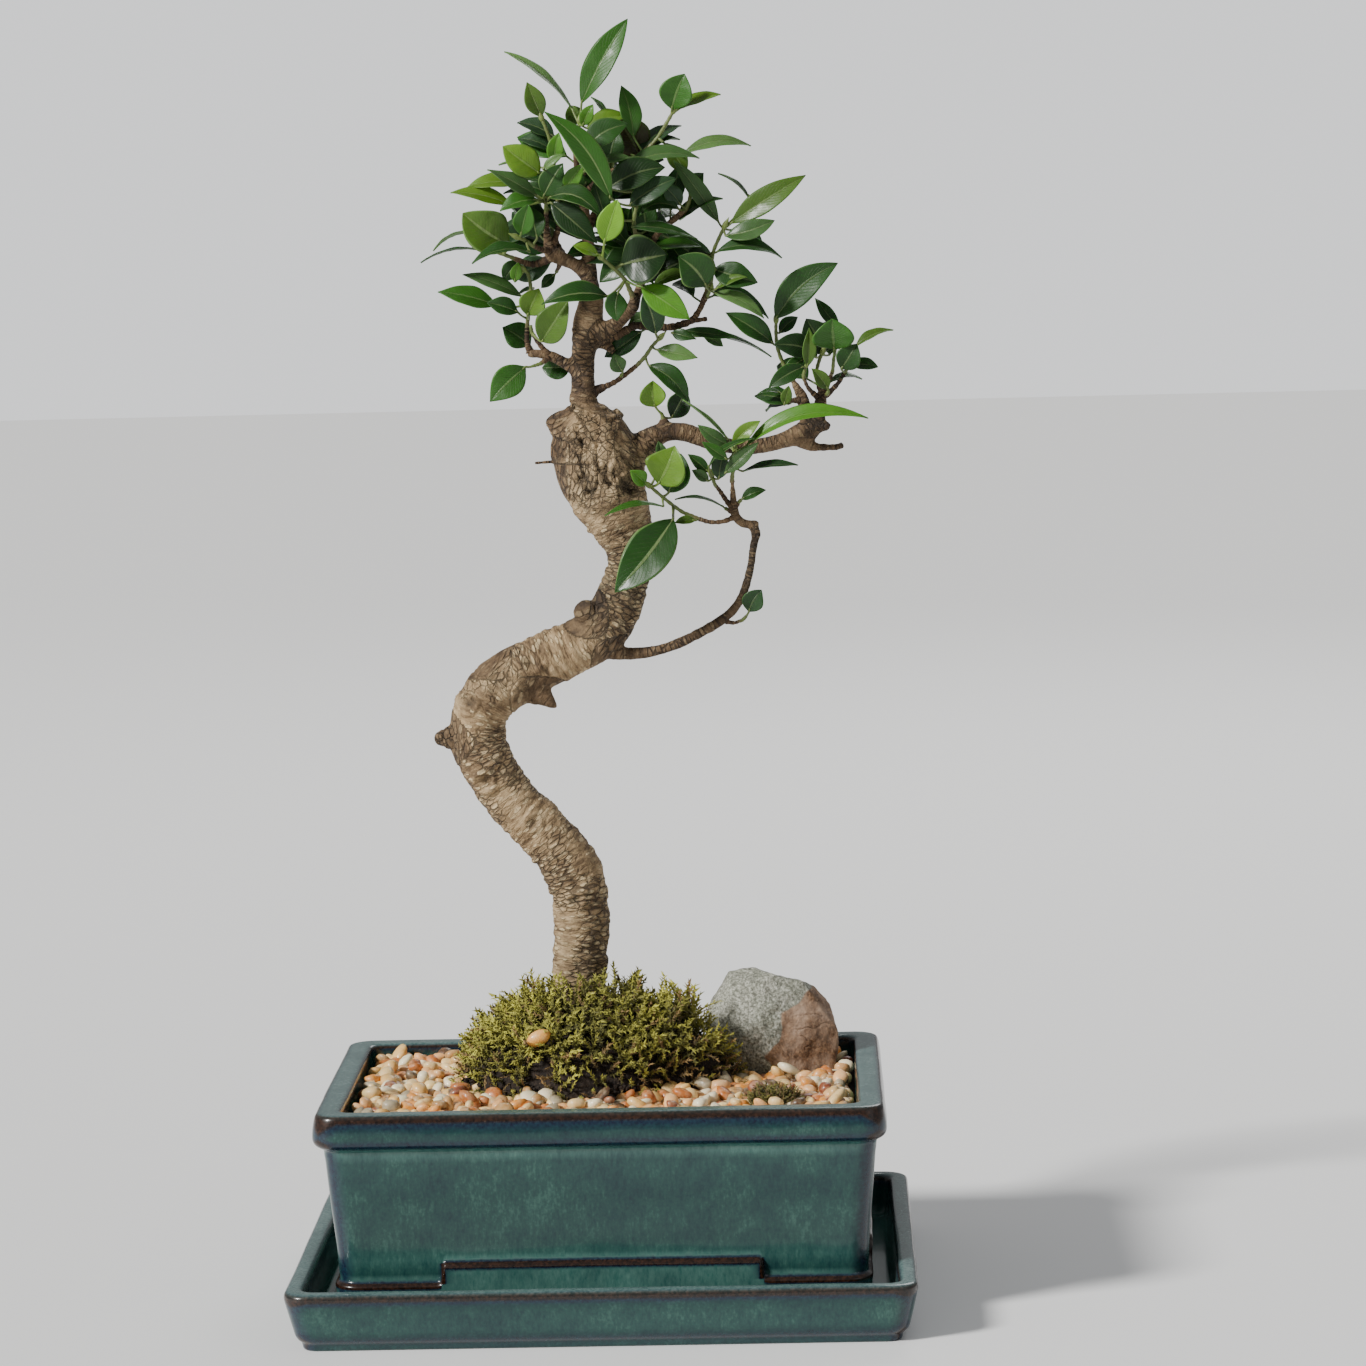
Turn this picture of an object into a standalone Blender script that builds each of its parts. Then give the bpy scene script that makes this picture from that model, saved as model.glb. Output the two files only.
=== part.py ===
"""Bonsai ficus in a glazed rectangular pot on its drip tray.

Lengths in the lists are millimetres, and MM turns them into Blender's metres.
The tray stands on Z = 0 with its centre at the origin, -Y is the front.
"""
import math
import random

import bmesh
import bpy
from mathutils import Vector

MM = 0.001
GAP = 0.3                # air left between pieces that rest on or in each other

# Pot: the sizes that a potter would quote.
POT_LENGTH = 203.0       # over the rim
POT_WIDTH = 142.0
POT_HEIGHT = 74.7        # foot to rim
POT_TAPER = 5.5          # how far each wall leans in from the neck to the foot
POT_CORNER = 9.0         # plan radius of the rim's corners
POT_WALL = 7.0
POT_FLOOR = 7.0
RIM_WALL = 9.5           # flat top of the rim
RIM_HEIGHT = 13.0
RIM_OVERHANG = 2.6       # rim band stands this far out of the body
PLINTH_REACH = 2.0       # plinth stands this far out of the body
PLINTH_CORNER_HEIGHT = 12.3
PLINTH_PANEL_HEIGHT = 19.8
PANEL_LENGTH = 114.0     # raised middle of the plinth on the long sides
PANEL_WIDTH = 72.0       # the same on the short sides
FOOT_RECESS = 2.0        # hollow under the pot that water runs through
FOOT_BAND = 14.0
HOLE_DIAMETER = 16.0
HOLE_SPACING = 84.0
SCREEN_MARGIN = 5.0      # screen reaches this far past its hole
SCREEN_THICKNESS = 0.8

# Tray: it follows the pot.
TRAY_REACH_X = 10.5      # lip beyond the pot's rim
TRAY_REACH_Y = 20.0
TRAY_HEIGHT = 21.6
TRAY_WALL = 7.0
TRAY_FLOOR = 6.0
TRAY_DRAFT = 4.0         # lip stands this far outside the bottom of the wall
TRAY_CORNER = 9.0
TRAY_FOOT_HEIGHT = 3.0
TRAY_FOOT_INSET = 1.8

# Filling.
SOIL_DROP = 10.0         # soil surface below the rim
GRAVEL_DEPTH = 5.2
GRAVEL_RIPPLE = 0.9      # height of the bed's bumps
GRAVEL_CELL = 8.5        # spacing of the bumps
MOSS_CENTRE = (-8.0, 9.0)
MOSS_REACH = (46.0, 36.0)
MOSS_HEIGHT = 35.0
MOSS_DEPTH = 6.0
MOUND_EDGE = 8.0         # height of the mound's rim over the soil
TUFT_PLACE = (62.0, -38.0)
TUFT_SIZE = (17.0, 12.0, 9.0)
ROCK_SIZE = (51.0, 35.0, 44.0)
ROCK_PLACE = (64.0, 34.0)
ROCK_CORNERS = (         # shares of ROCK_SIZE, from the middle of its foot
    (-0.36, -0.20, 0.00), (0.10, -0.44, 0.00), (0.44, -0.24, 0.00), (0.46, 0.14, 0.00),
    (0.30, 0.44, 0.00), (-0.20, 0.46, 0.00), (-0.42, 0.10, 0.00), (-0.48, 0.00, 0.30),
    (-0.44, -0.28, 0.36), (-0.30, -0.40, 0.32), (0.00, -0.50, 0.30), (0.20, -0.48, 0.15),
    (0.46, -0.28, 0.12), (0.50, 0.10, 0.30), (0.48, -0.20, 0.45), (0.43, 0.25, 0.60),
    (0.43, -0.10, 0.64), (0.34, 0.00, 0.79), (0.22, -0.12, 0.90), (0.22, 0.20, 0.88),
    (-0.02, -0.12, 1.00), (-0.02, 0.20, 0.97), (-0.30, 0.20, 0.93), (-0.36, -0.02, 0.96),
    (-0.30, -0.14, 0.90), (-0.44, -0.18, 0.75), (-0.50, 0.00, 0.67), (-0.10, -0.44, 0.60),
    (-0.40, 0.30, 0.50), (0.00, 0.50, 0.35), (0.35, 0.42, 0.30),
)
PEBBLE_SIZE = (8.2, 5.4, 6.8)
PEBBLE_PLACE = (-22.5, -19.0)
PEBBLE_LIFT = 7.63       # its middle stands this far over the mound of soil under it

# Tree: what all of its parts share.
RIM_DATUM = 81.0         # rim height that the tree's heights below are given for
STEM_RADIUS = 0.75
PETIOLE_RADIUS = 0.5
LEAF_THICKNESS = 0.7
LEAF_FOLD = 0.16         # edges rise above the midrib by this share of half the width
BARK_CLEARANCE = 0.45    # between the roots and the soil round them

POT_BASE = TRAY_FLOOR + GAP
RIM_TOP = POT_BASE + POT_HEIGHT
SOIL_TOP = RIM_TOP - SOIL_DROP
TRAY_LENGTH = POT_LENGTH + 2 * TRAY_REACH_X
TRAY_WIDTH = POT_WIDTH + 2 * TRAY_REACH_Y

# Trunk and branches: points (x, y, z, radius) along each, joined into one piece of wood.
WOOD = {
    "trunk": [
        (-9.5, 16, 46, 13), (-9.5, 16, 60, 13), (-9.5, 16, 74, 12.3), (-9.5, 16, 90, 11),
        (-9.5, 16, 104, 10.2), (-9.3, 16, 117, 10), (-8.4, 16, 130, 10.5), (-8.4, 16, 142, 10.8),
        (-10.4, 16, 152, 10.9), (-14.4, 16, 160, 10.6), (-20, 16, 167, 10.2), (-26, 16, 173.5, 9.8),
        (-32, 16, 179.5, 9.7), (-37, 16, 186, 9.8), (-41, 15, 193.5, 10.2), (-43.8, 15, 201, 10.6),
        (-44.3, 15, 208.5, 10.4), (-42.3, 15, 215.5, 10.7), (-37.6, 15, 221.8, 11),
        (-31.2, 15, 226.5, 10.7), (-23.8, 15, 230.4, 10.3), (-15.5, 15, 233.8, 9.9),
        (-7.2, 15, 237.4, 9.8), (0, 15, 241.5, 9.8), (5, 15, 247, 9.6), (8.5, 15, 253.5, 9.2),
        (11, 15, 260, 8.6), (12.8, 15, 266.5, 8.2), (12.9, 15, 272.8, 8.7),
        (11.2, 15, 279.5, 10.6), (8.5, 15, 286, 12.4), (6, 15, 292, 14.2), (4, 15, 299, 16),
        (2, 15, 306, 16.2), (0, 15, 313, 14.8), (-2, 15, 319.5, 12.4), (-3, 15, 325, 8.6),
    ],
    "root_left": [(-10, 16, 76, 8), (-24, 10, 70, 5.5), (-38, 2, 60, 4), (-50, -6, 48, 2.6)],
    "root_right": [(-9, 16, 76, 8), (6, 22, 70, 5.5), (20, 26, 60, 4), (32, 24, 47, 2.6)],
    "root_front": [(-9, 15, 76, 8), (-6, 0, 70, 5.2), (0, -14, 60, 3.8), (8, -26, 46, 2.4)],
    "root_back": [(-10, 17, 76, 8), (-16, 28, 68, 4.8), (-26, 38, 56, 3.4), (-38, 42, 44, 2.2)],
    "knob_left": [(-45, 15, 204, 7.5), (-53, 14.6, 204.6, 4.9), (-58, 14.4, 204.3, 3.3),
                  (-60.6, 14.3, 203.6, 1.6)],
    "stub_under": [(-26, 14, 223, 7), (-20.5, 12.5, 219.8, 4.2), (-17.5, 12, 217.3, 2.4),
                   (-15, 12, 215, 0.7)],
    "knot_low": [(0, 14, 246, 7), (-3.2, 10, 250.5, 5), (-4.6, 8, 252.6, 3.8)],
    "bump_shoulder": [(-35, 15, 229, 7), (-38.8, 15, 232.8, 3.4)],
    "stump_lump_high": [(-6, 14, 316, 9), (-11.5, 12.5, 321, 5.2), (-12.6, 12, 322.6, 4)],
    "stump_lump_left": [(-4, 14, 308, 12), (-11.5, 13, 309.4, 6), (-14.8, 13, 309.6, 3.4)],
    "stump_lump_low": [(-2, 14, 301, 12), (-9, 13, 301.4, 5.5), (-11.8, 13, 301.2, 3.6)],
    "stump_spike": [(-10, 14, 305.6, 1.2), (-15, 13.4, 305.6, 0.6), (-20.6, 13.2, 305.3, 0.45)],
    "stem": [(-2.6, 15, 318, 7.5), (-2.5, 15, 326, 6), (-2.3, 15, 332, 4.7), (-2.2, 15, 338, 4.3),
             (-1.8, 15, 345, 4.4), (-0.8, 15, 351, 5.1), (0.2, 15, 357, 5.3), (1.2, 15, 362, 4.8),
             (2.2, 15, 366.5, 4)],
    "stem_stub": [(2.5, 15, 350.5, 3.2), (6.6, 14.6, 347.8, 2.2), (9.4, 14.4, 344.8, 1.0)],
    "leader": [(2, 15, 365, 3.6), (1.2, 15, 372, 3.0), (0.9, 15, 381, 2.5), (0.7, 15, 390, 2.1),
               (-0.9, 14.4, 402, 1.7), (-2.3, 13.4, 412, 1.35), (-2.6, 12.6, 418.6, 1.1)],
    "limb_left": [(2.4, 14, 363, 3.4), (1, 13.6, 371, 2.7), (-3, 13.4, 376.5, 2.4),
                  (-8, 13.2, 379.2, 2.5), (-12.4, 12.8, 381.6, 2.8), (-13.6, 12.2, 386, 1.7),
                  (-13.9, 11.6, 391.5, 1.15), (-13.8, 10.8, 397, 0.95)],
    "twig_left_top": [(-12.4, 13, 383.5, 1.6), (-10.2, 13.4, 389, 1.1), (-9.4, 13.6, 394, 0.9)],
    "twig_left_low": [(-12, 13.5, 380.4, 1.8), (-17, 14, 378, 1.3), (-21, 14, 377.9, 1.1),
                      (-26, 13, 380, 0.95)],
    "twig_left_front": [(-13, 12, 382.6, 1.6), (-16, 8, 383.2, 1.0), (-18.6, 5.6, 384.6, 0.85)],
    "twig_left_under": [(-9.4, 15, 378.4, 1.3), (-10.2, 17.6, 376.4, 0.8), (-10.8, 19, 375.4, 0.6)],
    "limb_low_left": [(-2.5, 15, 337.5, 3.2), (-7, 15, 340.4, 2.3), (-11, 15, 342.8, 2.1),
                      (-15, 15, 344.6, 1.9), (-19, 15, 345.2, 1.7), (-22.4, 15, 345.2, 1.6)],
    "twig_ll_up": [(-21.6, 15, 345.4, 1.3), (-22.4, 15, 350, 0.95), (-22.2, 15, 354.6, 0.85)],
    "twig_ll_front": [(-14.6, 14.4, 344.8, 1.2), (-18, 12.4, 349, 0.85), (-20, 10.8, 352.6, 0.75)],
    "twig_ll_back": [(-20.6, 15.6, 345.4, 1.2), (-21.2, 18.2, 346.6, 0.8)],
    "twig_ll_leaf": [(-14.6, 14.2, 343.6, 1.2), (-17.2, 12.2, 341.8, 0.85)],
    "twig_ll_inner": [(-3.6, 17, 339, 2.0), (-5.6, 20.4, 340.4, 0.9)],
    "limb_centre": [(3.6, 13.6, 351.6, 4.2), (9.4, 12.4, 354.6, 2.9), (14, 11.2, 358.6, 2.4),
                    (17.3, 10.2, 362.4, 2.2), (16.7, 9, 365.4, 1.3)],
    "limb_up_right": [(16.6, 11, 361.6, 2.2), (19, 12, 367.4, 1.7), (21, 13, 373, 1.5),
                      (22.4, 13, 380, 1.4), (25.6, 13, 386.8, 1.4), (31, 13, 391.6, 1.35),
                      (36.4, 13, 396, 1.25)],
    "twig_centre_up": [(21.4, 12.6, 375.6, 1.3), (19.6, 10.6, 382, 1.0), (18.4, 9.2, 388, 0.9)],
    "twig_top_right": [(-0.8, 14.2, 402, 1.5), (5, 14.6, 407, 1.2), (12, 15, 411.4, 1.05),
                       (18.4, 15, 415, 0.95), (23.6, 14.8, 418.6, 0.85)],
    "twig_top_mid": [(-1.8, 13.6, 408.6, 1.3), (1.8, 10.6, 412, 0.95), (4, 8.6, 415, 0.8)],
    "limb_right": [(4, 15, 350, 3.6), (12, 15, 352, 1.7), (17, 15, 354.4, 1.5),
                   (22.5, 15, 354, 1.4), (28, 15, 353.6, 1.35), (33, 15, 354.2, 1.3),
                   (37.6, 15, 355.8, 1.2), (41, 15, 360, 1.05), (43.3, 15, 365.6, 0.95)],
    "limb_right_stub": [(34, 15, 354.8, 1.2), (39, 15, 355.8, 0.9), (43.6, 15, 356.4, 0.8)],
    "twig_right_low": [(42, 14.6, 362, 1.0), (43.8, 12, 364.6, 0.75)],
    "twig_right_thin": [(31.4, 14.4, 353.6, 1.1), (32.8, 12.6, 352.4, 0.75)],
    "limb_inner": [(-1, 15, 330, 3.2), (5, 15, 332.3, 1.35), (9, 15, 334, 1.0),
                   (13, 15, 336.6, 0.9), (17.2, 15, 339.8, 0.85)],
    "twig_inner": [(11.4, 14.6, 335.7, 0.85), (11.8, 13, 336.5, 0.6)],
    "branch_thick": [(5, 15, 300, 9), (13, 15, 305.6, 7.6), (19, 15, 310.6, 5.6),
                     (24, 15, 314.2, 4.2), (29, 15, 315.6, 3.4), (35, 15, 315, 3.3),
                     (42, 15, 312.4, 3.3), (50, 15, 310, 2.8), (57, 15, 309.2, 2.7),
                     (64, 15, 310, 2.9), (70, 15, 311.4, 3.0), (75, 15, 313, 3.8),
                     (79.4, 15, 315, 4.2), (82.6, 15, 317.6, 3.4)],
    "branch_tip": [(79, 15, 314.6, 3.6), (84, 15, 316.6, 2.6), (87.6, 15, 315.8, 1.2)],
    "branch_prong": [(76.6, 15, 311.4, 3), (81, 15, 309, 1.9), (86, 15, 308.6, 1.35),
                     (90, 15, 308.6, 1.25), (92.4, 15, 309.4, 1.3)],
    "branch_knob": [(27.6, 15, 314, 2.9), (27, 14.6, 318.4, 2.2), (26.6, 14.3, 320.6, 1.4)],
    "spur_left": [(80, 15.4, 315, 3.2), (79, 16, 321, 2.4), (77.5, 17, 327, 2.2),
                  (75.6, 17.5, 330.6, 1.5), (74, 18, 333.6, 0.9)],
    "spur_low": [(77.6, 16.4, 325.6, 1.6), (74.6, 15, 326, 1.0), (72.8, 14.4, 325.8, 0.8)],
    "spur_right": [(82, 15, 316, 3.2), (83.8, 15, 322, 2.4), (84.5, 15, 327, 2.2),
                   (84.9, 15, 329.4, 1.3)],
    "twig_end_mid": [(83, 14, 327, 1.2), (79.8, 12.8, 330.6, 0.75), (78.4, 12.2, 334, 0.65)],
    "twig_end_back": [(84.6, 15.4, 328, 1.1), (83.4, 15.8, 332, 0.8), (83, 16.2, 335.6, 0.65)],
    "twig_end_heart": [(85.2, 15, 328, 1.2), (87.3, 14.6, 332.5, 0.85), (88.7, 13.6, 336, 0.7)],
    "twig_end_right": [(86, 15, 327.2, 1.2), (90.5, 15.4, 331.5, 0.85), (93.2, 15.4, 335.5, 0.7)],
    "twig_end_front": [(85.4, 13.6, 326.8, 1.1), (86.6, 11.4, 328.2, 0.65)],
    "branch_low": [(3, 15, 237.5, 5.4), (9, 15, 234.6, 2.7), (16, 15, 234.4, 2.2),
                   (23, 15, 235.4, 2.0), (30, 15, 237.6, 1.95), (37, 15, 240.8, 1.9),
                   (44.5, 15, 244.8, 1.9), (50, 15, 249, 1.8), (53.7, 15, 254, 1.7),
                   (55.8, 15, 259.5, 1.6), (57.5, 15, 266, 1.5), (58.5, 15, 272.5, 1.5),
                   (59.6, 15, 277.6, 1.8), (58.2, 15, 280.6, 1.8), (55, 15, 281.4, 1.7),
                   (52.6, 15, 283.6, 1.8), (51.8, 14.6, 288, 1.5), (51.5, 12.6, 293, 1.15),
                   (51.4, 10.4, 298, 0.95)],
    "branch_low_stub": [(59, 15, 278.4, 1.7), (60, 15, 282.2, 1.2)],
    "twig_low_mid": [(51.6, 14.6, 286.4, 1.2), (49, 14.2, 290, 0.95), (46.8, 13.6, 293.5, 0.8),
                     (45.3, 13, 295.6, 0.65)],
    "twig_low_left": [(53.2, 15, 284.4, 1.3), (48, 15, 282.3, 0.85), (43, 15, 282.1, 0.8),
                      (39, 15, 283.3, 0.85)],
    "twig_low_right": [(52, 14.8, 287, 1.2), (53.6, 14.2, 289.2, 0.7)],
    "twig_low_thin": [(51.6, 15.4, 285.2, 1.2), (49.4, 16.6, 286.4, 0.7)],
    "twig_low_leaf": [(46.6, 15, 245.8, 1.2), (50.6, 15, 244.8, 0.7), (53.4, 15, 245.6, 0.6)],
    "limb_back_top": [(0.8, 15.4, 389, 1.9), (3, 21, 395, 1.2), (6, 27, 401, 0.95)],
    "limb_back_left": [(-8, 14, 379.4, 1.9), (-10, 21, 383, 1.2), (-12, 27, 387, 0.95)],
    "limb_back_right": [(22, 13.6, 379, 1.5), (23.6, 20, 382, 1.1), (25, 26, 385, 0.9)],
}
WOOD_SIDES = {"trunk": 14, "stem": 10, "branch_thick": 8, "branch_low": 7}
ROOTS = ("trunk", "root_left", "root_right", "root_front", "root_back")

# Green shoots: the twig each grows from, its stem's points (x, y, z), and its leaves.
# A leaf: blade base (x, y, z), tip (x, y, z), width, arch along its length, and tilt, which is
# 0 where the upper face looks to the front (-Y) and 90 where it looks up.
SHOOTS = {
    "shoot_apex": ("leader", [(-1.8, 12, 423), (-1, 11.4, 428)], [
        (0, 12, 435.5, 17.4, 13, 465.3, 11.5, 1.5, 12),
        (-3.6, 14, 433.6, -28, 20, 454.8, 7, 3.2, 76),
        (0.4, 8, 427.4, 4.4, 6.5, 434.8, 5.2, 0.8, 10),
        (-1.6, 17, 428, -4.6, 18, 434.8, 7, 0.6, 10),
        (8.6, 25, 430, 2.8, 27, 437.8, 4, 0.6, 80),
        (1.8, 11.6, 426.4, 16, 15, 430.4, 8, 1.6, 52),
    ]),
    "shoot_left_top": ("twig_left_top", [
        (-9.6, 13.4, 400), (-10.4, 12.6, 407), (-10.8, 11.4, 413), (-10.8, 10.6, 418.6),
        (-12.5, 10, 425), (-14.2, 9.6, 429.6)], [
        (-14.5, 9.5, 430.8, -19.4, 8, 443.4, 7.6, 0.8, 8),
        (-10.6, 15, 423.6, -24, 19, 429, 8, 1.6, 48),
        (-10.8, 17, 418, -24, 21, 422.8, 7.5, 2.4, 55),
        (-15.4, 4.5, 410.6, -28.4, 2, 420.6, 11.5, 1.2, 14),
        (-17.5, 13, 413, -31, 15.5, 414, 6, 1.2, 82),
        (-13.8, -2.5, 412, -6, -4, 417.2, 3.4, 0.8, 30),
        (-10, 7.5, 414, -8.2, 6, 425, 6.2, 0.8, 8),
    ]),
    "shoot_left_bud": ("limb_left", [(-13.9, 9.8, 400.6)], [
        (-16.8, 4, 402.4, -34, -1, 412.4, 7.6, 2.6, 38),
        (-22.4, 10.5, 407, -42, 8, 406.2, 8, 2.2, 50),
        (-26.6, 8, 399.6, -48, 5, 404.4, 7, 1.6, 45),
        (-20.4, 14.5, 402, -26.6, 16.5, 408.8, 5.5, 0.5, 10),
        (-17.6, 12.6, 403, -29.4, 12.6, 403.6, 5, 1.2, 60),
        (-16.8, 4, 401, -30, 1.6, 397.4, 8, 1.8, 45),
        (-14.2, 4, 402.4, -6.8, 1.5, 414, 9.5, 1.0, 10),
        (-12, 2.6, 401.8, 7, -7.5, 394.4, 9.5, 4.6, 48),
        (-11.6, 1, 400, 5, -3.5, 385, 10, 1.4, 16),
    ]),
    "shoot_left_low": ("twig_left_low", [(-30, 11.6, 381.6), (-34, 9.6, 383)], [
        (-27.4, 5.6, 385, -43.5, 1, 397, 16.5, 1.6, 10),
        (-40, 14, 389.6, -56, 18, 383.4, 6, 2.2, 80),
        (-37, 6, 383.4, -59.6, 5, 379.5, 6, 2.6, 82),
        (-24.6, 17, 379, -30.6, 18, 372, 7, 0.6, 8),
    ]),
    "shoot_left_front": ("twig_left_front", [(-21, 3.4, 386.4), (-23.4, 1.6, 387.6)], [
        (-19.4, -3, 382.6, -40, -9, 379, 9, 3.4, 58),
        (-22.6, 0, 388.8, -19.4, -3, 399.8, 7.8, 0.8, 8),
        (-17, 4, 387.4, -19.4, 6.5, 398.4, 8.6, 0.8, 8),
    ]),
    "leaf_left_under": ("twig_left_under", [(-11.2, 20, 374.6)], [
        (-11.8, 20.6, 373.8, -17, 22, 368.8, 4.4, 0.6, 20),
    ]),
    "shoot_low_left": ("twig_ll_up", [
        (-21.8, 14.6, 358), (-20.9, 14.4, 363), (-20.4, 14.2, 368.6), (-21.2, 14, 374),
        (-22.4, 13, 375.6)], [
        (-33, 11.6, 363.2, -54, 9, 368.6, 9.5, 1.8, 30),
        (-25, 8.6, 360.6, -36, 6, 364.4, 7.2, 1.0, 18),
        (-24, 14.4, 366.2, -45, 12, 374.6, 7, 2.8, 42),
        (-26, 18.6, 360.4, -33, 20, 361.6, 4, 0.6, 50),
        (-21.4, 5.4, 359.6, -16.8, 3.4, 369.2, 10.2, 0.8, 6),
        (-26, 11.4, 371.6, -24.4, 10.4, 378.6, 4.4, 0.4, 6),
        (-19.6, 18.6, 369, -25.6, 20, 366.8, 4.4, 0.4, 55),
    ]),
    "shoot_low_left_front": ("twig_ll_front", [(-20.6, 9.6, 355.6)], [
        (-16.4, 4.4, 350, -6.2, -0.5, 364.6, 12.4, 1.4, 10),
    ]),
    "leaf_low_left_back": ("twig_ll_back", [(-21.4, 19.4, 347.4)], [
        (-21.6, 19.8, 348, -31.6, 21, 354.8, 10.5, 1.2, 16),
    ]),
    "leaf_low_left": ("twig_ll_leaf", [(-19.6, 11, 341)], [
        (-23, 9.8, 340.6, -36, 7, 328.4, 11.6, 1.6, 8),
    ]),
    "leaf_low_inner": ("twig_ll_inner", [(-6.4, 21.4, 340.8)], [
        (-7.2, 22, 340.6, -17.6, 23, 339.6, 9.6, 0.8, 8),
    ]),
    "shoot_centre_front": ("limb_centre", [
        (15.6, 7.4, 368.4), (14.4, 5, 371.4), (10.8, 0.4, 375.6), (6.6, -3, 379.6)], [
        (7.8, -8.4, 385.8, 13, -10.5, 400.6, 9.8, 1.0, 6),
        (5.6, -4.6, 380.6, -3.6, -6, 384.6, 6.4, 0.8, 40),
        (13.4, 1.4, 377, 30, -2, 380.4, 18.5, 2.4, 12),
        (20.6, 1.6, 369, 37.6, -2, 357, 10.4, 2.2, 16),
        (12, -0.6, 367.4, 11.4, -3.5, 357, 8.4, 0.8, 6),
        (8, 1, 365.8, -15.6, -4.5, 363.6, 9.4, 4.2, 40),
    ]),
    "shoot_up_right": ("limb_up_right", [(38.2, 13, 399.6), (38.6, 13.6, 402.6)], [
        (38, 19, 402, 43.4, 21.5, 409.2, 6.6, 0.6, 10),
        (34.4, 9.4, 396.4, 19.6, 8.5, 394.2, 8, 3.6, 52),
        (35, 10.6, 398, 28.2, 8.8, 405.6, 6.6, 0.8, 12),
        (37.2, 16.6, 409.6, 30.2, 18.6, 420.4, 7.4, 1.0, 12),
    ]),
    "shoot_centre_up": ("twig_centre_up", [(18, 8.2, 392.6), (19.2, 7.8, 398), (21.2, 7.4, 403)], [
        (17.4, 5, 390.4, 41, 3.6, 385.6, 7, 2.8, 50),
        (22, 17, 388.6, 31, 19, 385, 5, 0.6, 40),
        (17, 1.6, 398.6, 34, -0.5, 407.6, 9, 1.6, 24),
        (7.6, 6.2, 394.6, 4, 5.2, 407, 7.4, 0.8, 8),
        (10.6, -6.6, 401, -12.6, -9, 432.6, 9.8, 1.8, 14),
        (9.6, 1.2, 404.8, 30, 1.0, 411.6, 12, 1.8, 30),
    ]),
    "shoot_top_right": ("twig_top_right", [(27.2, 14.8, 422.4), (30.6, 14, 427.6),
                                           (32.8, 13.8, 431.2)], [
        (32.6, 12.4, 432.6, 37.6, 10.5, 445, 12.4, 1.0, 6),
        (35, 14.6, 432.4, 50.4, 16.5, 437.4, 7, 1.6, 56),
        (16.6, 5.0, 412.9, 42.4, 6, 414.6, 8, 3.0, 52),
        (23, 17, 416.2, 35.2, 19, 421.6, 8, 2.6, 60),
        (36, 11.6, 416, 61, 13, 418.6, 7, 3.8, 66),
        (20.4, 19.8, 415.6, 12.6, 22, 430, 15, 1.2, 8),
    ]),
    "shoot_top_mid": ("twig_top_mid", [(5, 6.8, 417.6)], [
        (1.4, 0.8, 418.8, 17, 1.2, 427.4, 10.5, 1.4, 18),
        (9.4, 9.6, 413.6, 13, 10.6, 425.4, 9, 0.8, 10),
        (6.8, 2, 414.4, 17.4, 0.5, 415.6, 4.4, 1.0, 40),
        (-6.4, 1.6, 404.4, 0.8, 0.2, 413.6, 6.2, 0.6, 10),
        (-1.6, 8.2, 412.6, -6.6, 9.4, 401.4, 8, 0.8, 8),
    ]),
    "shoot_right_mid": ("limb_right", [(44.4, 14.8, 369.4), (45.2, 14.4, 374), (46.4, 13.8, 380.6),
                                       (48.6, 13.2, 385.6), (50.3, 12.2, 389)], [
        (53.2, 11.6, 391, 80.6, 8.5, 407.6, 9.6, 2.2, 22),
        (51.2, 9, 386.4, 69, 6.4, 391.6, 8, 1.2, 30),
        (47.6, 10, 380.6, 71.4, 8.6, 378, 8, 4.8, 55),
        (54.6, 17.4, 388.6, 64.6, 18.6, 381.6, 7, 0.8, 10),
        (44.4, 17, 379.6, 21.8, 19, 369.8, 13, 3.4, 30),
        (48.4, 15.4, 391.6, 32.8, 12.5, 414, 7, 1.2, 24),
        (59.6, 22.4, 400, 48.6, 25, 409, 4, 1.0, 84),
    ]),
    "shoot_right_low": ("twig_right_low", [(45, 9.8, 367)], [
        (46.6, 6.4, 374.4, 62.4, 3, 369.4, 10, 1.8, 20),
        (43.8, 4.6, 368.6, 34, 1.5, 379.6, 14, 1.2, 8),
        (37.6, 9, 372.8, 24.4, 9.8, 369.2, 6, 1.4, 40),
        (48, 12, 367.8, 66, 14, 356, 6, 2.4, 40),
        (46.6, 7, 366, 64.4, 5, 356.4, 6, 2.2, 28),
        (47.4, 3.6, 367.6, 58.6, 0.6, 371.6, 4.6, 1.0, 50),
    ]),
    "shoot_right_thin": ("twig_right_thin", [(33.8, 11.4, 351.8)], [
        (35, 10, 352.4, 55, 9, 349.4, 5.5, 1.4, 48),
        (35.6, 14.4, 351, 66.8, 16, 342, 5, 3.4, 66),
        (42, 18, 350, 49, 20, 346, 5, 0.6, 24),
        (30.6, 10.4, 351.8, 39.6, 7, 349.4, 4.6, 0.8, 30),
    ]),
    "shoot_inner_right": ("limb_inner", [(20.6, 14.8, 343.2), (23.2, 14.4, 346.8),
                                         (25.6, 13.8, 349.3)], [
        (24.8, 11, 351.6, 20.6, 7, 366, 9, 1.0, 8),
        (22.6, 21, 357.4, 14.4, 22.4, 354.6, 5.6, 0.6, 26),
        (25.2, 10.2, 345.8, 40, 6.6, 342.6, 7, 1.4, 38),
        (22, 11.6, 340, 36, 10, 326.6, 8.4, 4.2, 30),
    ]),
    "leaf_inner_small": ("twig_inner", [(12, 12.2, 337)], [
        (12.4, 11.6, 338, 9.6, 10, 344.8, 6.4, 0.6, 6),
    ]),
    "shoot_end_left": ("spur_left", [(72.2, 18.4, 336.6), (70.2, 18.8, 341), (68.8, 18.4, 346),
                                     (68.5, 17.8, 351), (68.6, 17.2, 354.4)], [
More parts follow.
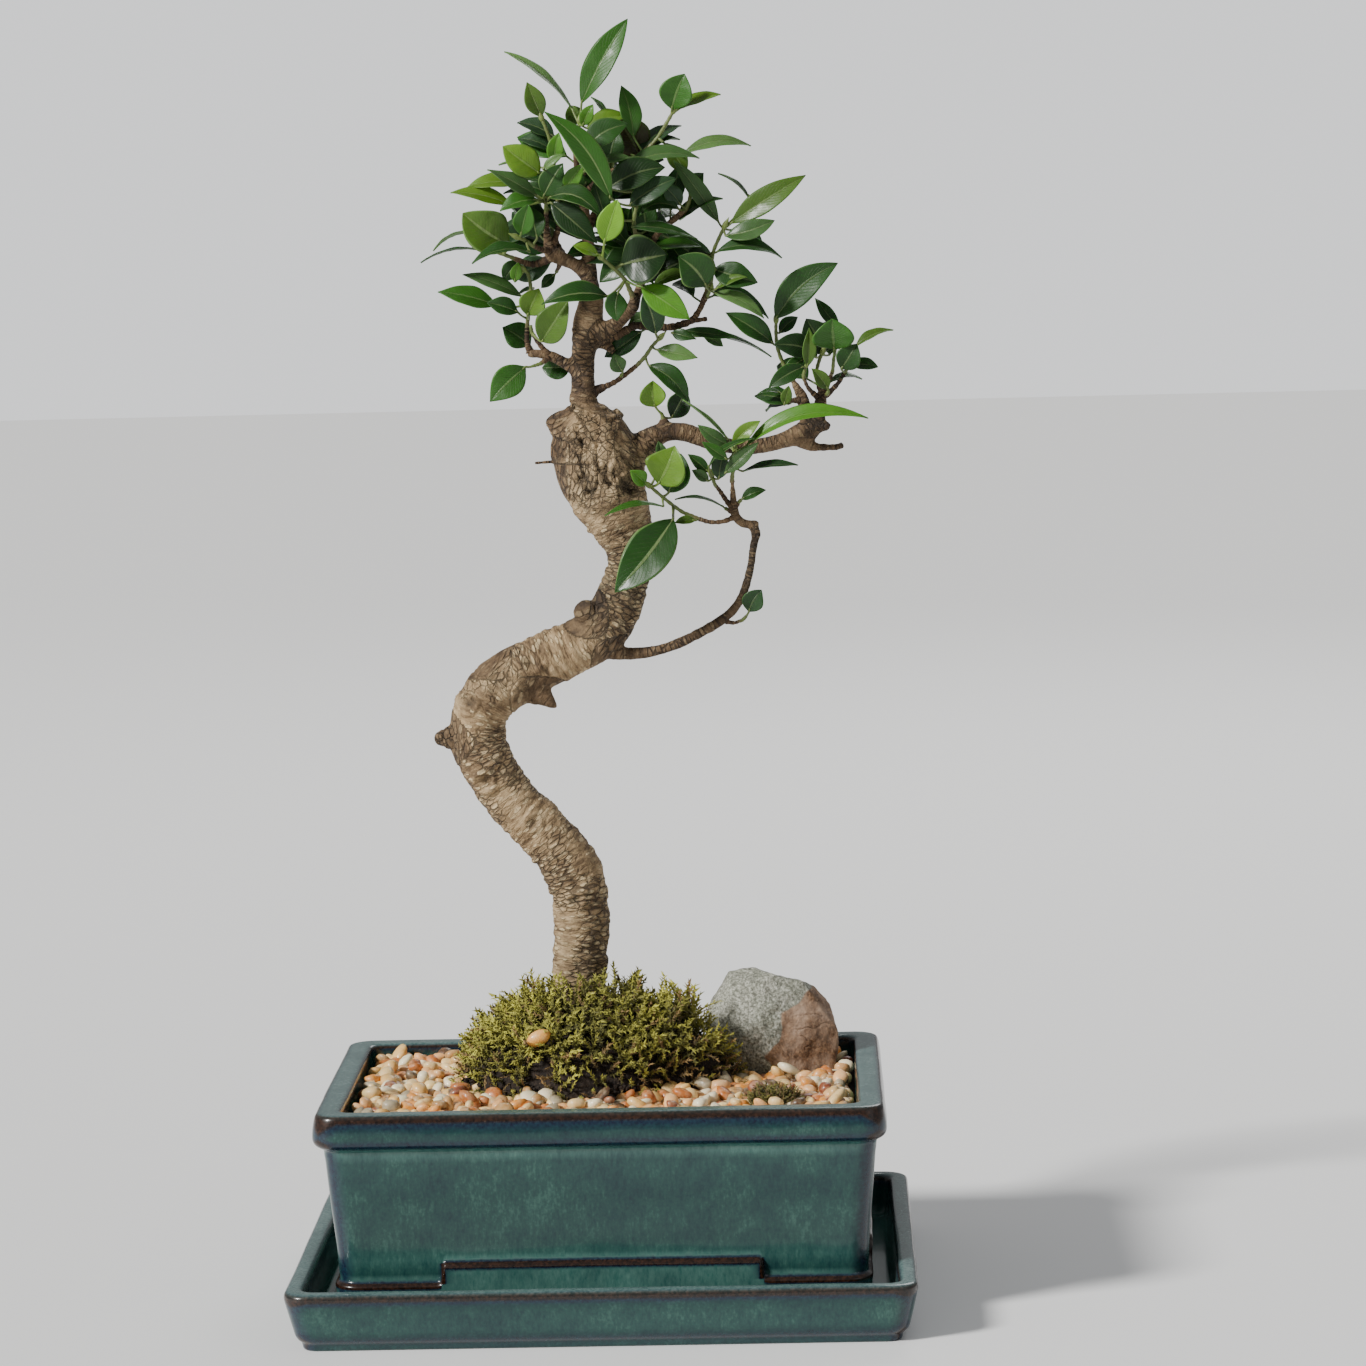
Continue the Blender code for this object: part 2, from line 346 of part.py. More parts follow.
        (68.6, 16, 356, 91.6, 12.6, 375.6, 12, 2.0, 14),
        (67.4, 14.6, 346.8, 50.4, 11.6, 358.6, 8.6, 2.4, 26),
        (69.8, 21, 350.4, 76.6, 23, 356, 5.4, 0.6, 16),
    ]),
    "shoot_end_low": ("spur_low", [(71.4, 14, 325.6)], [
        (69.8, 16, 328.6, 61.4, 15, 328.6, 4.2, 1.0, 68),
        (71, 11.6, 324.6, 72.8, 10, 331.6, 4.2, 0.4, 8),
    ]),
    "shoot_end_mid": ("twig_end_mid", [(78.8, 11.6, 337.4), (80, 11, 340.6)], [
        (82.4, 14.4, 343.6, 67.6, 10.6, 346.6, 9.4, 1.6, 18),
        (79.6, 8, 338.4, 80.6, 6.6, 352.6, 5.2, 0.6, 8),
        (78.4, 14.4, 341, 70.8, 13, 336.6, 5.2, 0.6, 14),
        (78.4, 8.6, 338.4, 65.4, 5, 331, 6.8, 1.8, 34),
    ]),
    "shoot_end_back": ("twig_end_back", [(83.8, 17, 339.4), (85, 17.4, 342.4)], [
        (85.8, 18.6, 342.6, 79.6, 15.6, 355.6, 12.4, 1.0, 8),
        (88, 23, 342, 94, 33, 347, 10, 1.4, 60),
        (83, 23, 341, 76, 34, 344, 9.6, 1.4, 58),
        (86.4, 24, 346, 90.6, 31, 354, 9.6, 1.0, 36),
    ]),
    "shoot_end_heart": ("twig_end_heart", [(89.3, 12, 340.6)], [
        (89.6, 8.4, 344.6, 89, 3, 355.8, 15.6, 1.2, 10),
        (91.6, 18.4, 351, 83, 21.6, 362.8, 5, 1.4, 22),
    ]),
    "shoot_end_right": ("twig_end_right", [(95, 15, 338.4)], [
        (92, 9, 337.4, 97.8, 7, 346.4, 9.4, 0.8, 8),
        (95.4, 11.6, 338.4, 105.4, 10, 337.6, 5.6, 0.8, 38),
        (97.6, 18, 345, 111.4, 20.5, 350.6, 6, 1.8, 62),
    ]),
    "leaf_end_front": ("twig_end_front", [(87.2, 10.4, 329.2)], [
        (87, 9.6, 330, 81.2, 7, 337.8, 5.4, 0.6, 8),
    ]),
    "shoot_low_end": ("branch_low", [(52, 8.4, 302.6), (52.6, 7.4, 308.4)], [
        (57, 6.6, 310.4, 101.4, 2, 319.6, 8, 7.4, 50),
        (52, 5.4, 310.8, 62.2, 3.6, 319.4, 5.8, 0.8, 16),
        (50.4, 9.6, 310.4, 39.4, 7.8, 318.2, 5.4, 0.8, 26),
        (50, 11.6, 312.8, 34, 13, 327.4, 3.2, 0.6, 80),
        (50, 0, 306, 41, -2, 312.6, 4.6, 0.6, 16),
        (49, 2.4, 300.8, 61.4, 0.4, 311.8, 5.4, 0.8, 18),
        (55.4, 7.6, 301, 75.6, 5, 303, 6, 2.4, 55),
    ]),
    "shoot_low_mid": ("twig_low_mid", [(44.2, 12.6, 298.4)], [
        (43, 7, 302.8, 60, -0.4, 313.4, 5, 3.2, 62),
        (46.6, 9, 298.4, 49, 7.4, 308.6, 6.4, 0.6, 6),
        (42.8, 13.6, 300.6, 35.4, 13.6, 307.2, 4.6, 0.6, 20),
        (42.6, 11.6, 297.4, 36.8, 10.4, 301.6, 4, 0.6, 20),
    ]),
    "shoot_low_left_twig": ("twig_low_left", [
        (36, 15, 284.6), (33, 14.4, 286), (29.6, 13.2, 288.6), (25.8, 11, 292), (21.6, 8.4, 296)], [
        (24.6, 4.6, 297.4, 31, 2, 311.2, 16, 1.4, 8),
        (28.2, 9, 293.8, 33, 9, 307.8, 12.8, 1.0, 8),
        (20, 5.4, 297.4, 14.8, -0.4, 302.8, 6, 0.6, 8),
        (26.4, 8.6, 306.6, 24.8, 7.6, 312.6, 4, 0.4, 8),
        (26.2, 5.6, 289, 5, -2.6, 286.6, 5, 2.6, 74),
        (29.6, 6, 284.2, 8, -2.6, 258.6, 17, 3.0, 16),
        (37.6, 12.6, 283, 30, 10.6, 282.4, 3.6, 0.6, 30),
    ]),
    "leaf_low_right": ("twig_low_right", [(54.4, 13.6, 290)], [
        (54.8, 13.4, 290.4, 63.6, 12, 293.6, 4.8, 0.8, 28),
    ]),
    "leaf_low_thin": ("twig_low_thin", [(48.6, 17.2, 286.8)], [
        (47.6, 17.6, 287.6, 30, 19.6, 290.4, 3.4, 2.0, 80),
    ]),
    "leaf_low_branch": ("twig_low_leaf", [(55.2, 14.8, 247)], [
        (56.4, 14, 249, 61.2, 12.6, 257, 8.2, 0.8, 6),
    ]),
    "shoot_branch_top": ("branch_knob", [(26.2, 13.8, 322.2)], [
        (24, 11.6, 325, 23.4, 9.6, 334.6, 9.8, 0.8, 4),
        (29.6, 16.6, 320.6, 35, 18, 330.4, 8.8, 0.8, 6),
    ]),
    "shoot_back_top": ("limb_back_top", [(8, 30.6, 406.8), (9.2, 33, 412.2)], [
        (6.4, 34, 413.6, -5, 40, 422, 12, 1.4, 40),
        (10.4, 35, 414.4, 17, 43, 424, 13, 1.4, 34),
        (9.4, 36, 410.4, 18, 52, 410, 11, 2.4, 76),
        (6, 33, 407.4, -8, 43, 409, 11, 2.0, 70),
        (10.4, 31.6, 405.6, 24, 36, 403, 12, 1.6, 60),
    ]),
    "shoot_back_left": ("limb_back_left", [(-13.4, 31.4, 391.6), (-14.6, 33.4, 396)], [
        (-16.6, 34, 397, -28, 38, 394, 12, 1.6, 56),
        (-13, 35.4, 397.6, -6, 49, 402, 11, 1.8, 62),
        (-16, 35, 395, -20, 52, 391, 12, 2.4, 82),
        (-11.4, 32, 389.6, 2, 38, 388, 12, 1.6, 60),
        (-15.4, 31.6, 390.4, -24, 36, 384, 10, 1.0, 30),
    ]),
    "shoot_back_right": ("limb_back_right", [(26, 30, 388.6), (26.4, 32.6, 393)], [
        (27.6, 33, 393, 34, 44, 392, 11, 1.8, 72),
        (24.6, 33, 394.4, 15, 42, 396, 11, 1.6, 66),
        (28, 30.6, 387, 38, 36, 378, 11, 1.4, 36),
        (24, 31, 387.6, 13, 37, 381, 11, 1.4, 40),
    ]),
}

TEAL = (0.055, 0.17, 0.15)


def clear_scene():
    for item in list(bpy.data.objects):
        bpy.data.objects.remove(item, do_unlink=True)


def finish(name, colour, roughness, metallic=0.0):
    surface = bpy.data.materials.new(name)
    surface.use_nodes = True
    shader = surface.node_tree.nodes["Principled BSDF"]
    shader.inputs["Base Color"].default_value = (*colour, 1.0)
    shader.inputs["Roughness"].default_value = roughness
    shader.inputs["Metallic"].default_value = metallic
    return surface


def solid(name, points, faces):
    """A mesh object from points in millimetres, with its faces turned outwards."""
    mesh = bpy.data.meshes.new(name)
    mesh.from_pydata([Vector(point) * MM for point in points], [], faces)
    shape = bmesh.new()
    shape.from_mesh(mesh)
    bmesh.ops.recalc_face_normals(shape, faces=shape.faces)
    shape.to_mesh(mesh)
    shape.free()
    item = bpy.data.objects.new(name, mesh)
    bpy.context.collection.objects.link(item)
    return item


def bake(item):
    """Replaces an object's mesh with the shape that its modifiers make."""
    view = bpy.context.evaluated_depsgraph_get()
    view.update()
    made = bpy.data.meshes.new_from_object(item.evaluated_get(view))
    item.modifiers.clear()
    item.data = made


def combine(item, others, operation):
    """Joins other solids to an object, or cuts them from it, in one step, and removes them."""
    group = bpy.data.collections.new("operands")
    for other in others:
        group.objects.link(other)
    step = item.modifiers.new("combine", "BOOLEAN")
    step.operand_type = "COLLECTION"
    step.collection = group
    step.operation = operation
    step.solver = "EXACT"
    bake(item)
    for other in others:
        bpy.data.objects.remove(other, do_unlink=True)
    bpy.data.collections.remove(group)
    return item


def smooth_path(points, steps):
    """Points along a Catmull-Rom curve through the given ones, with steps on each stretch."""
    path = []
    for index in range(len(points) - 1):
        before = Vector(points[max(index - 1, 0)])
        start = Vector(points[index])
        end = Vector(points[index + 1])
        after = Vector(points[min(index + 2, len(points) - 1)])
        for step in range(steps):
            t = step / steps
            path.append(0.5 * (2 * start + (end - before) * t
                               + (2 * before - 5 * start + 4 * end - after) * t ** 2
                               + (3 * start - before - 3 * end + after) * t ** 3))
    path.append(Vector(points[-1]))
    return path


def tube(name, points, radii, sides):
    """A closed tube along points, each ring turned with the least twist from the last."""
    count = len(points)
    points = [Vector(point) for point in points]
    rings = []
    side = None
    for index, centre in enumerate(points):
        ahead = points[min(index + 1, count - 1)] - points[max(index - 1, 0)]
        ahead.normalize()
        if side is None:
            side = ahead.orthogonal()
        side = (side - ahead * side.dot(ahead)).normalized()
        other = ahead.cross(side)
        for corner in range(sides):
            angle = 2 * math.pi * corner / sides
            rings.append(centre + radii[index] * (side * math.cos(angle) + other * math.sin(angle)))
    return solid(name, rings, ring_faces(count, sides))


def ring_faces(count, sides):
    """Faces that join rings of points one after another, with a cap at both ends."""
    faces = []
    for ring in range(count - 1):
        for corner in range(sides):
            near = ring * sides + corner
            beside = ring * sides + (corner + 1) % sides
            faces.append((near, beside, beside + sides, near + sides))
    faces.append(tuple(range(sides)))
    faces.append(tuple((count - 1) * sides + corner for corner in range(sides)))
    return faces


def tree_point(point):
    """Carries a point of the tree to where the pot's rim puts it."""
    return Vector(point[:3]) + Vector((0, 0, RIM_TOP - RIM_DATUM))


def rounded_ring(length, width, corner, z, steps=3):
    """The points of a rounded rectangle, steps faces to each corner."""
    ring = []
    for quarter in range(4):
        sign_x = (1, -1, -1, 1)[quarter]
        sign_y = (1, 1, -1, -1)[quarter]
        for step in range(steps + 1):
            angle = math.pi / 2 * (quarter + step / steps)
            ring.append((sign_x * (length / 2 - corner) + corner * math.cos(angle),
                         sign_y * (width / 2 - corner) + corner * math.sin(angle), z))
    return ring


def rectangular_loft(name, stations, steps=3):
    """A solid through rounded rectangles, each given as (length, width, corner, z)."""
    points = []
    for length, width, corner, z in stations:
        points += rounded_ring(length, width, corner, z, steps)
    return solid(name, points, ring_faces(len(stations), 4 * (steps + 1)))


def make_tray():
    foot_x = TRAY_LENGTH - 2 * (TRAY_DRAFT + TRAY_FOOT_INSET)
    foot_y = TRAY_WIDTH - 2 * (TRAY_DRAFT + TRAY_FOOT_INSET)
    wall_x = TRAY_LENGTH - 2 * TRAY_DRAFT
    wall_y = TRAY_WIDTH - 2 * TRAY_DRAFT
    inner_x = TRAY_LENGTH - 2 * TRAY_WALL
    inner_y = TRAY_WIDTH - 2 * TRAY_WALL
    inner_corner = TRAY_CORNER - 4
    lean = 2.4
    tray = rectangular_loft("drip_tray", [
        (foot_x, foot_y, TRAY_CORNER - 3, 0),
        (foot_x, foot_y, TRAY_CORNER - 3, TRAY_FOOT_HEIGHT),
        (wall_x, wall_y, TRAY_CORNER - 1.5, TRAY_FOOT_HEIGHT + 0.8),
        (wall_x + 1.6, wall_y + 1.6, TRAY_CORNER - 1, TRAY_FOOT_HEIGHT + 3),
        (TRAY_LENGTH - 0.6, TRAY_WIDTH - 0.6, TRAY_CORNER, TRAY_HEIGHT - 2.6),
        (TRAY_LENGTH, TRAY_WIDTH, TRAY_CORNER, TRAY_HEIGHT - 1),
        (TRAY_LENGTH - 1.6, TRAY_WIDTH - 1.6, TRAY_CORNER - 0.8, TRAY_HEIGHT),
        (inner_x + 1.6, inner_y + 1.6, inner_corner + 0.8, TRAY_HEIGHT),
        (inner_x, inner_y, inner_corner, TRAY_HEIGHT - 1),
        (inner_x - lean, inner_y - lean, inner_corner - 0.6, TRAY_FLOOR + 1.6),
        (inner_x - lean - 2.4, inner_y - lean - 2.4, inner_corner - 1.6, TRAY_FLOOR),
    ])
    tray.data.materials.append(finish("tray_glaze", TEAL, 0.25))
    return tray


def pot_outline(height):
    """Length and width of the pot's body at a height over its foot."""
    neck = POT_HEIGHT - RIM_HEIGHT
    lean = POT_TAPER * (1 - min(height / neck, 1.0))
    shrink = 2 * (RIM_OVERHANG + lean)
    return POT_LENGTH - shrink, POT_WIDTH - shrink


def pot_opening():
    """Length, width and corner of the opening inside the rim."""
    return POT_LENGTH - 2 * RIM_WALL, POT_WIDTH - 2 * RIM_WALL, POT_CORNER - 4.5


def plinth_solids():
    """The stepped band round the pot's foot: a low one all round, and four raised middles."""
    low_x, low_y = pot_outline(PLINTH_CORNER_HEIGHT)
    high_x, high_y = pot_outline(PLINTH_PANEL_HEIGHT)
    reach = 2 * PLINTH_REACH
    corner = POT_CORNER - 2
    low_top = POT_BASE + PLINTH_CORNER_HEIGHT
    high_top = POT_BASE + PLINTH_PANEL_HEIGHT
    band = rectangular_loft("plinth_band", [
        (low_x + reach - 1.2, low_y + reach - 1.2, corner, POT_BASE + 0.2),
        (low_x + reach, low_y + reach, corner, POT_BASE + 1),
        (low_x + reach, low_y + reach, corner, low_top - 1),
        (low_x - 0.8, low_y - 0.8, corner - 1, low_top + 0.6),
    ])
    pieces = [band]
    for name, length, width in (("panel_long", PANEL_LENGTH, high_y + reach),
                                ("panel_short", high_x + reach, PANEL_WIDTH)):
        pieces.append(rectangular_loft(name, [
            (length - 1, width - 1, 1.2, POT_BASE + 0.5),
            (length, width, 1.6, POT_BASE + 1.4),
            (length, width, 1.6, high_top - 1.2),
            (length - 2.2, width - 2.6, 1.0, high_top),
        ], steps=2))
    return pieces


def make_pot():
    foot_x, foot_y = pot_outline(0)
    neck_x, neck_y = pot_outline(POT_HEIGHT - RIM_HEIGHT)
    open_x, open_y, open_corner = pot_opening()
    inside_x = foot_x - 2 * POT_WALL
    inside_y = foot_y - 2 * POT_WALL
    neck = RIM_TOP - RIM_HEIGHT
    pot = rectangular_loft("pot", [
        (foot_x - 1, foot_y - 1, POT_CORNER - 2, POT_BASE),
        (neck_x, neck_y, POT_CORNER - 1.4, neck - 1.6),
        (neck_x - 0.4, neck_y - 0.4, POT_CORNER - 1.4, neck - 0.4),
        (POT_LENGTH + 1.2, POT_WIDTH + 1.2, POT_CORNER, neck + 1.8),
        (POT_LENGTH + 1.6, POT_WIDTH + 1.6, POT_CORNER, neck + 3.6),
        (POT_LENGTH, POT_WIDTH, POT_CORNER, RIM_TOP - 1.4),
        (POT_LENGTH - 0.8, POT_WIDTH - 0.8, POT_CORNER - 0.4, RIM_TOP - 0.4),
        (POT_LENGTH - 2.4, POT_WIDTH - 2.4, POT_CORNER - 1.2, RIM_TOP),
    ])
    combine(pot, plinth_solids(), "UNION")
    inside = rectangular_loft("inside", [
        (inside_x, inside_y, open_corner, POT_BASE + POT_FLOOR),
        (open_x, open_y, open_corner, neck - 1),
        (open_x, open_y, open_corner, RIM_TOP - 2.4),
        (open_x + 0.4, open_y + 0.4, open_corner + 0.2, RIM_TOP - 0.7),
        (open_x + 2, open_y + 2, open_corner + 1, RIM_TOP),
        (open_x + 4, open_y + 4, open_corner + 2, RIM_TOP + 1),
    ])
    combine(pot, [inside], "DIFFERENCE")
    hollow = rectangular_loft("hollow", [
        (foot_x - 2 * FOOT_BAND, foot_y - 2 * FOOT_BAND, 3, POT_BASE - 1),
        (foot_x - 2 * FOOT_BAND, foot_y - 2 * FOOT_BAND, 3, POT_BASE + FOOT_RECESS),
    ], steps=1)
    ways = [rectangular_loft(name, [
        (length, width, 1, POT_BASE - 1),
        (length, width, 1, POT_BASE + FOOT_RECESS),
    ], steps=1) for name, length, width in (("way_long", POT_LENGTH * 1.2, PANEL_WIDTH / 3),
                                            ("way_short", PANEL_LENGTH / 3, POT_WIDTH * 1.2))]
    combine(pot, [hollow, *ways], "DIFFERENCE")
    combine(pot, [tube("hole", [(x, 0, POT_BASE - 2), (x, 0, POT_BASE + POT_FLOOR + 2)],
                       [HOLE_DIAMETER / 2] * 2, 16) for x in hole_places()], "DIFFERENCE")
    pot.data.materials.append(finish("pot_glaze", TEAL, 0.25))
    return pot


def hole_places():
    return (-HOLE_SPACING / 2, HOLE_SPACING / 2)


def make_screens():
    floor = POT_BASE + POT_FLOOR + GAP
    plastic = finish("screen_plastic", (0.02, 0.02, 0.02), 0.6)
    for name, x in zip(("drain_screen_left", "drain_screen_right"), hole_places()):
        disc = tube(name, [(x, 0, floor), (x, 0, floor + SCREEN_THICKNESS)],
                    [HOLE_DIAMETER / 2 + SCREEN_MARGIN] * 2, 16)
        disc.data.materials.append(plastic)


def make_soil():
    """The potting soil and the root ball's mound, with room for the roots and the screens."""
    open_x, open_y, open_corner = pot_opening()
    foot_x, foot_y = pot_outline(0)
    inside_x = foot_x - 2 * POT_WALL
    inside_y = foot_y - 2 * POT_WALL
    neck = RIM_TOP - RIM_HEIGHT
    slack = 2 * GAP
    soil = rectangular_loft("potting_soil", [
        (inside_x - slack, inside_y - slack, open_corner, POT_BASE + POT_FLOOR + GAP),
        (open_x - slack, open_y - slack, open_corner, neck - 1),
        (open_x - slack, open_y - slack, open_corner, SOIL_TOP),
    ])
    screens = [tube("screen_room", [(x, 0, POT_BASE), (x, 0, POT_BASE + POT_FLOOR
                                                       + SCREEN_THICKNESS + 2 * GAP)],
                    [HOLE_DIAMETER / 2 + SCREEN_MARGIN + 2 * GAP] * 2, 16) for x in hole_places()]
    mound = mound_solid("mound", SOIL_TOP + MOSS_HEIGHT, SOIL_TOP + MOUND_EDGE, SOIL_TOP - 2)
    combine(soil, [mound], "UNION")
    combine(soil, screens + wood_tubes(ROOTS, BARK_CLEARANCE), "DIFFERENCE")
    soil.data.materials.append(finish("soil", (0.02, 0.014, 0.01), 0.95))
    return soil


def wood_tubes(names, swell=0.0):
    """Tubes for some of the wood's branches, thickened by swell where they are cutters."""
    made = []
    for name in names:
        path = smooth_path([Vector((*tree_point(point), point[3])) for point in WOOD[name]], 1)
        points = [Vector(point[:3]) for point in path]
        radii = [point[3] + swell for point in path]
        if swell:
            points[-1] += (points[-1] - points[-2]).normalized() * swell
        made.append(tube(name, points, radii, WOOD_SIDES.get(name, 6)))
    return made


def make_wood():
    trunk, *branches = wood_tubes(WOOD)
    trunk.name = "trunk_and_branches"
    combine(trunk, branches, "UNION")
    trunk.data.materials.append(finish("bark", (0.24, 0.16, 0.09), 0.85))
    return trunk


def mound_outline(angle):
    """How far the mossy mound reaches at an angle round its middle, as a share of MOSS_REACH."""
    wave = 0.05 * math.sin(3 * angle + 0.6) + 0.04 * math.sin(5 * angle + 2.1)
    return 1 + wave + 0.14 * max(0.0, math.cos(angle + 0.15)) ** 6


def mound_fall(share):
    """How much of the way from its top to its rim the mound has come down, share of the way out."""
    return 0.85 * share ** 3 + 0.15 * share


def pebble_place():
    """The middle of the pebble, over the soil's mound wherever that surface is."""
    x, y = PEBBLE_PLACE
    across = (x - MOSS_CENTRE[0]) / MOSS_REACH[0]
    deep = (y - MOSS_CENTRE[1]) / MOSS_REACH[1]
    share = math.hypot(across, deep) / mound_outline(math.atan2(deep, across))
    height = SOIL_TOP + MOSS_HEIGHT + (MOUND_EDGE - MOSS_HEIGHT) * mound_fall(share)
    return (x, y, height + PEBBLE_LIFT)


def mound_solid(name, inner, outer, foot, swell=0.0):
    """A dome about the trunk; inner and outer are the heights of its top at the middle and rim."""
    rings, sides = 6, 30
    points = [(MOSS_CENTRE[0], MOSS_CENTRE[1], inner)]
    for ring in range(1, rings + 1):
        share = ring / rings
        fall = mound_fall(share)
        for side in range(sides):
            angle = 2 * math.pi * side / sides
            reach = mound_outline(angle) * share
            lump = 0.9 * math.sin(5 * angle + 7 * share) * share * (1 - share) * 4
            spread = swell * share ** 8
            points.append((MOSS_CENTRE[0] + (MOSS_REACH[0] * reach + spread) * math.cos(angle),
                           MOSS_CENTRE[1] + (MOSS_REACH[1] * reach + spread) * math.sin(angle),
                           inner + (outer - inner) * fall + lump))
    points += [(x, y, foot) for x, y, z in points[-sides:]]
    faces = [(0, 1 + side, 1 + (side + 1) % sides) for side in range(sides)]
    for ring in range(rings):
        for side in range(sides):
            near = 1 + ring * sides + side
            beside = 1 + ring * sides + (side + 1) % sides
            faces.append((near, near + sides, beside + sides, beside))
    faces.append(tuple(1 + rings * sides + side for side in range(sides)))
    return solid(name, points, faces)


def make_moss():
    """The moss that covers the root ball's mound, and the pebble that lies in it."""
    crown = SOIL_TOP + MOSS_HEIGHT
    edge = SOIL_TOP + MOUND_EDGE
    moss = mound_solid("moss_mound", crown + MOSS_DEPTH, edge + MOSS_DEPTH * 0.7, edge - 6, -0.4)
    under = mound_solid("under", crown + 3 * GAP, edge + 3 * GAP, SOIL_TOP - 4, 3)
    combine(moss, [under], "DIFFERENCE")
    room = ellipsoid("room", pebble_place(), [side + 2 * GAP for side in PEBBLE_SIZE], 10, 7)
    combine(moss, [*wood_tubes(ROOTS, BARK_CLEARANCE), room], "DIFFERENCE")
    moss.data.materials.append(finish("moss", (0.09, 0.16, 0.03), 0.9))
    pebble = ellipsoid("pebble_on_moss", pebble_place(), PEBBLE_SIZE, 10, 7)
    pebble.data.materials.append(finish("amber_stone", (0.5, 0.24, 0.08), 0.5))


def ellipsoid(name, centre, size, sides, rings):
    """A round solid with its sizes along X, Y and Z."""
    points = [(centre[0], centre[1], centre[2] - size[2] / 2)]
    for ring in range(1, rings):
        height = -math.cos(math.pi * ring / rings)
        reach = math.sin(math.pi * ring / rings)
        for side in range(sides):
            angle = 2 * math.pi * side / sides
            points.append((centre[0] + size[0] / 2 * reach * math.cos(angle),
                           centre[1] + size[1] / 2 * reach * math.sin(angle),
                           centre[2] + size[2] / 2 * height))
    points.append((centre[0], centre[1], centre[2] + size[2] / 2))
    last = len(points) - 1
    faces = [(0, 1 + side, 1 + (side + 1) % sides) for side in range(sides)]
    for ring in range(rings - 2):
        for side in range(sides):
            near = 1 + ring * sides + side
            beside = 1 + ring * sides + (side + 1) % sides
            faces.append((near, near + sides, beside + sides, beside))
    top = last - sides
    faces += [(last, top + side, top + (side + 1) % sides) for side in range(sides)]
    return solid(name, points, faces)


def rock_solid(name, swell=0.0):
    """The feature rock: the hull of hand-placed corners, given as shares of its size."""
    points = []
    for x, y, z in ROCK_CORNERS:
        grow = 1 + 2 * swell / ROCK_SIZE[1]
        points.append((ROCK_PLACE[0] + ROCK_SIZE[0] * x * grow,
                       ROCK_PLACE[1] + ROCK_SIZE[1] * y * grow,
                       SOIL_TOP + GAP + ROCK_SIZE[2] * z * grow - swell))
    mesh = bpy.data.meshes.new(name)
    shape = bmesh.new()
    for point in points:
        shape.verts.new(Vector(point) * MM)
    hull = bmesh.ops.convex_hull(shape, input=shape.verts)
    loose = [part for part in hull["geom_interior"] if isinstance(part, bmesh.types.BMVert)]
    bmesh.ops.delete(shape, geom=loose, context="VERTS")
    shape.to_mesh(mesh)
    shape.free()
    item = bpy.data.objects.new(name, mesh)
    bpy.context.collection.objects.link(item)
    return item


def make_rock():
    rock = rock_solid("feature_rock")
    rock.data.materials.append(finish("rock", (0.35, 0.3, 0.24), 0.85))


def make_gravel():
    """The pebble layer over the soil, with room for the mound, the rock and the small tuft."""
    open_x, open_y, open_corner = pot_opening()
    columns = round(open_x / GRAVEL_CELL)
    rows = round(open_y / GRAVEL_CELL)
    bottom = SOIL_TOP + GAP
    points = []
    for row in range(rows + 1):
        for column in range(columns + 1):
            ripple = math.sin(2.1 * column + 0.7 * row) * math.cos(1.7 * row - 0.4 * column)
            points.append((open_x * (column / columns - 0.5), open_y * (row / rows - 0.5),
                           SOIL_TOP + GRAVEL_DEPTH + GRAVEL_RIPPLE * ripple))
    faces = []
    for row in range(rows):
        for column in range(columns):
            near = row * (columns + 1) + column
            faces.append((near, near + 1, near + columns + 2, near + columns + 1))
    edge = list(range(columns + 1))
    edge += [row * (columns + 1) + columns for row in range(1, rows + 1)]
    edge += [rows * (columns + 1) + column for column in range(columns - 1, -1, -1)]
    edge += [row * (columns + 1) for row in range(rows - 1, 0, -1)]
    lower = len(points)
    points += [(points[place][0], points[place][1], bottom) for place in edge]
    for place, corner in enumerate(edge):
        after = (place + 1) % len(edge)
        faces.append((corner, edge[after], lower + after, lower + place))
    faces.append(tuple(range(lower, len(points))))
    gravel = solid("gravel_bed", points, faces)
    slack = 2 * GAP
    inside = rectangular_loft("inside", [
        (open_x - slack, open_y - slack, open_corner, bottom - 1),
        (open_x - slack, open_y - slack, open_corner, RIM_TOP),
    ])
    combine(gravel, [inside], "INTERSECT")
    mound = mound_solid("room", RIM_TOP, RIM_TOP, bottom - 2, GAP)
    combine(gravel, [mound, rock_solid("rock_room", GAP), tuft_solid("tuft_room", GAP)],
            "DIFFERENCE")
    gravel.data.materials.append(finish("gravel", (0.45, 0.34, 0.24), 0.8))


def tuft_solid(name, swell=0.0):
    """The small clump of moss among the pebbles."""
    low = SOIL_TOP + GAP
    long_side, short_side = TUFT_SIZE[0] + 2 * swell, TUFT_SIZE[1] + 2 * swell
    points = []
    sides = 12
    for share, height in ((1, low - 3 * swell), (1.04, low + 3), (0.9, low + TUFT_SIZE[2] * 0.8),
                          (0.4, low + TUFT_SIZE[2])):
        for side in range(sides):
            angle = 2 * math.pi * side / sides
            reach = share * (1 + 0.08 * math.sin(3 * angle))
            points.append((TUFT_PLACE[0] + long_side / 2 * reach * math.cos(angle),
                           TUFT_PLACE[1] + short_side / 2 * reach * math.sin(angle),
                           height + swell))
    return solid(name, points, ring_faces(4, sides))


def make_tuft():
    tuft = tuft_solid("moss_tuft")
    tuft.data.materials.append(finish("tuft_moss", (0.16, 0.2, 0.04), 0.9))


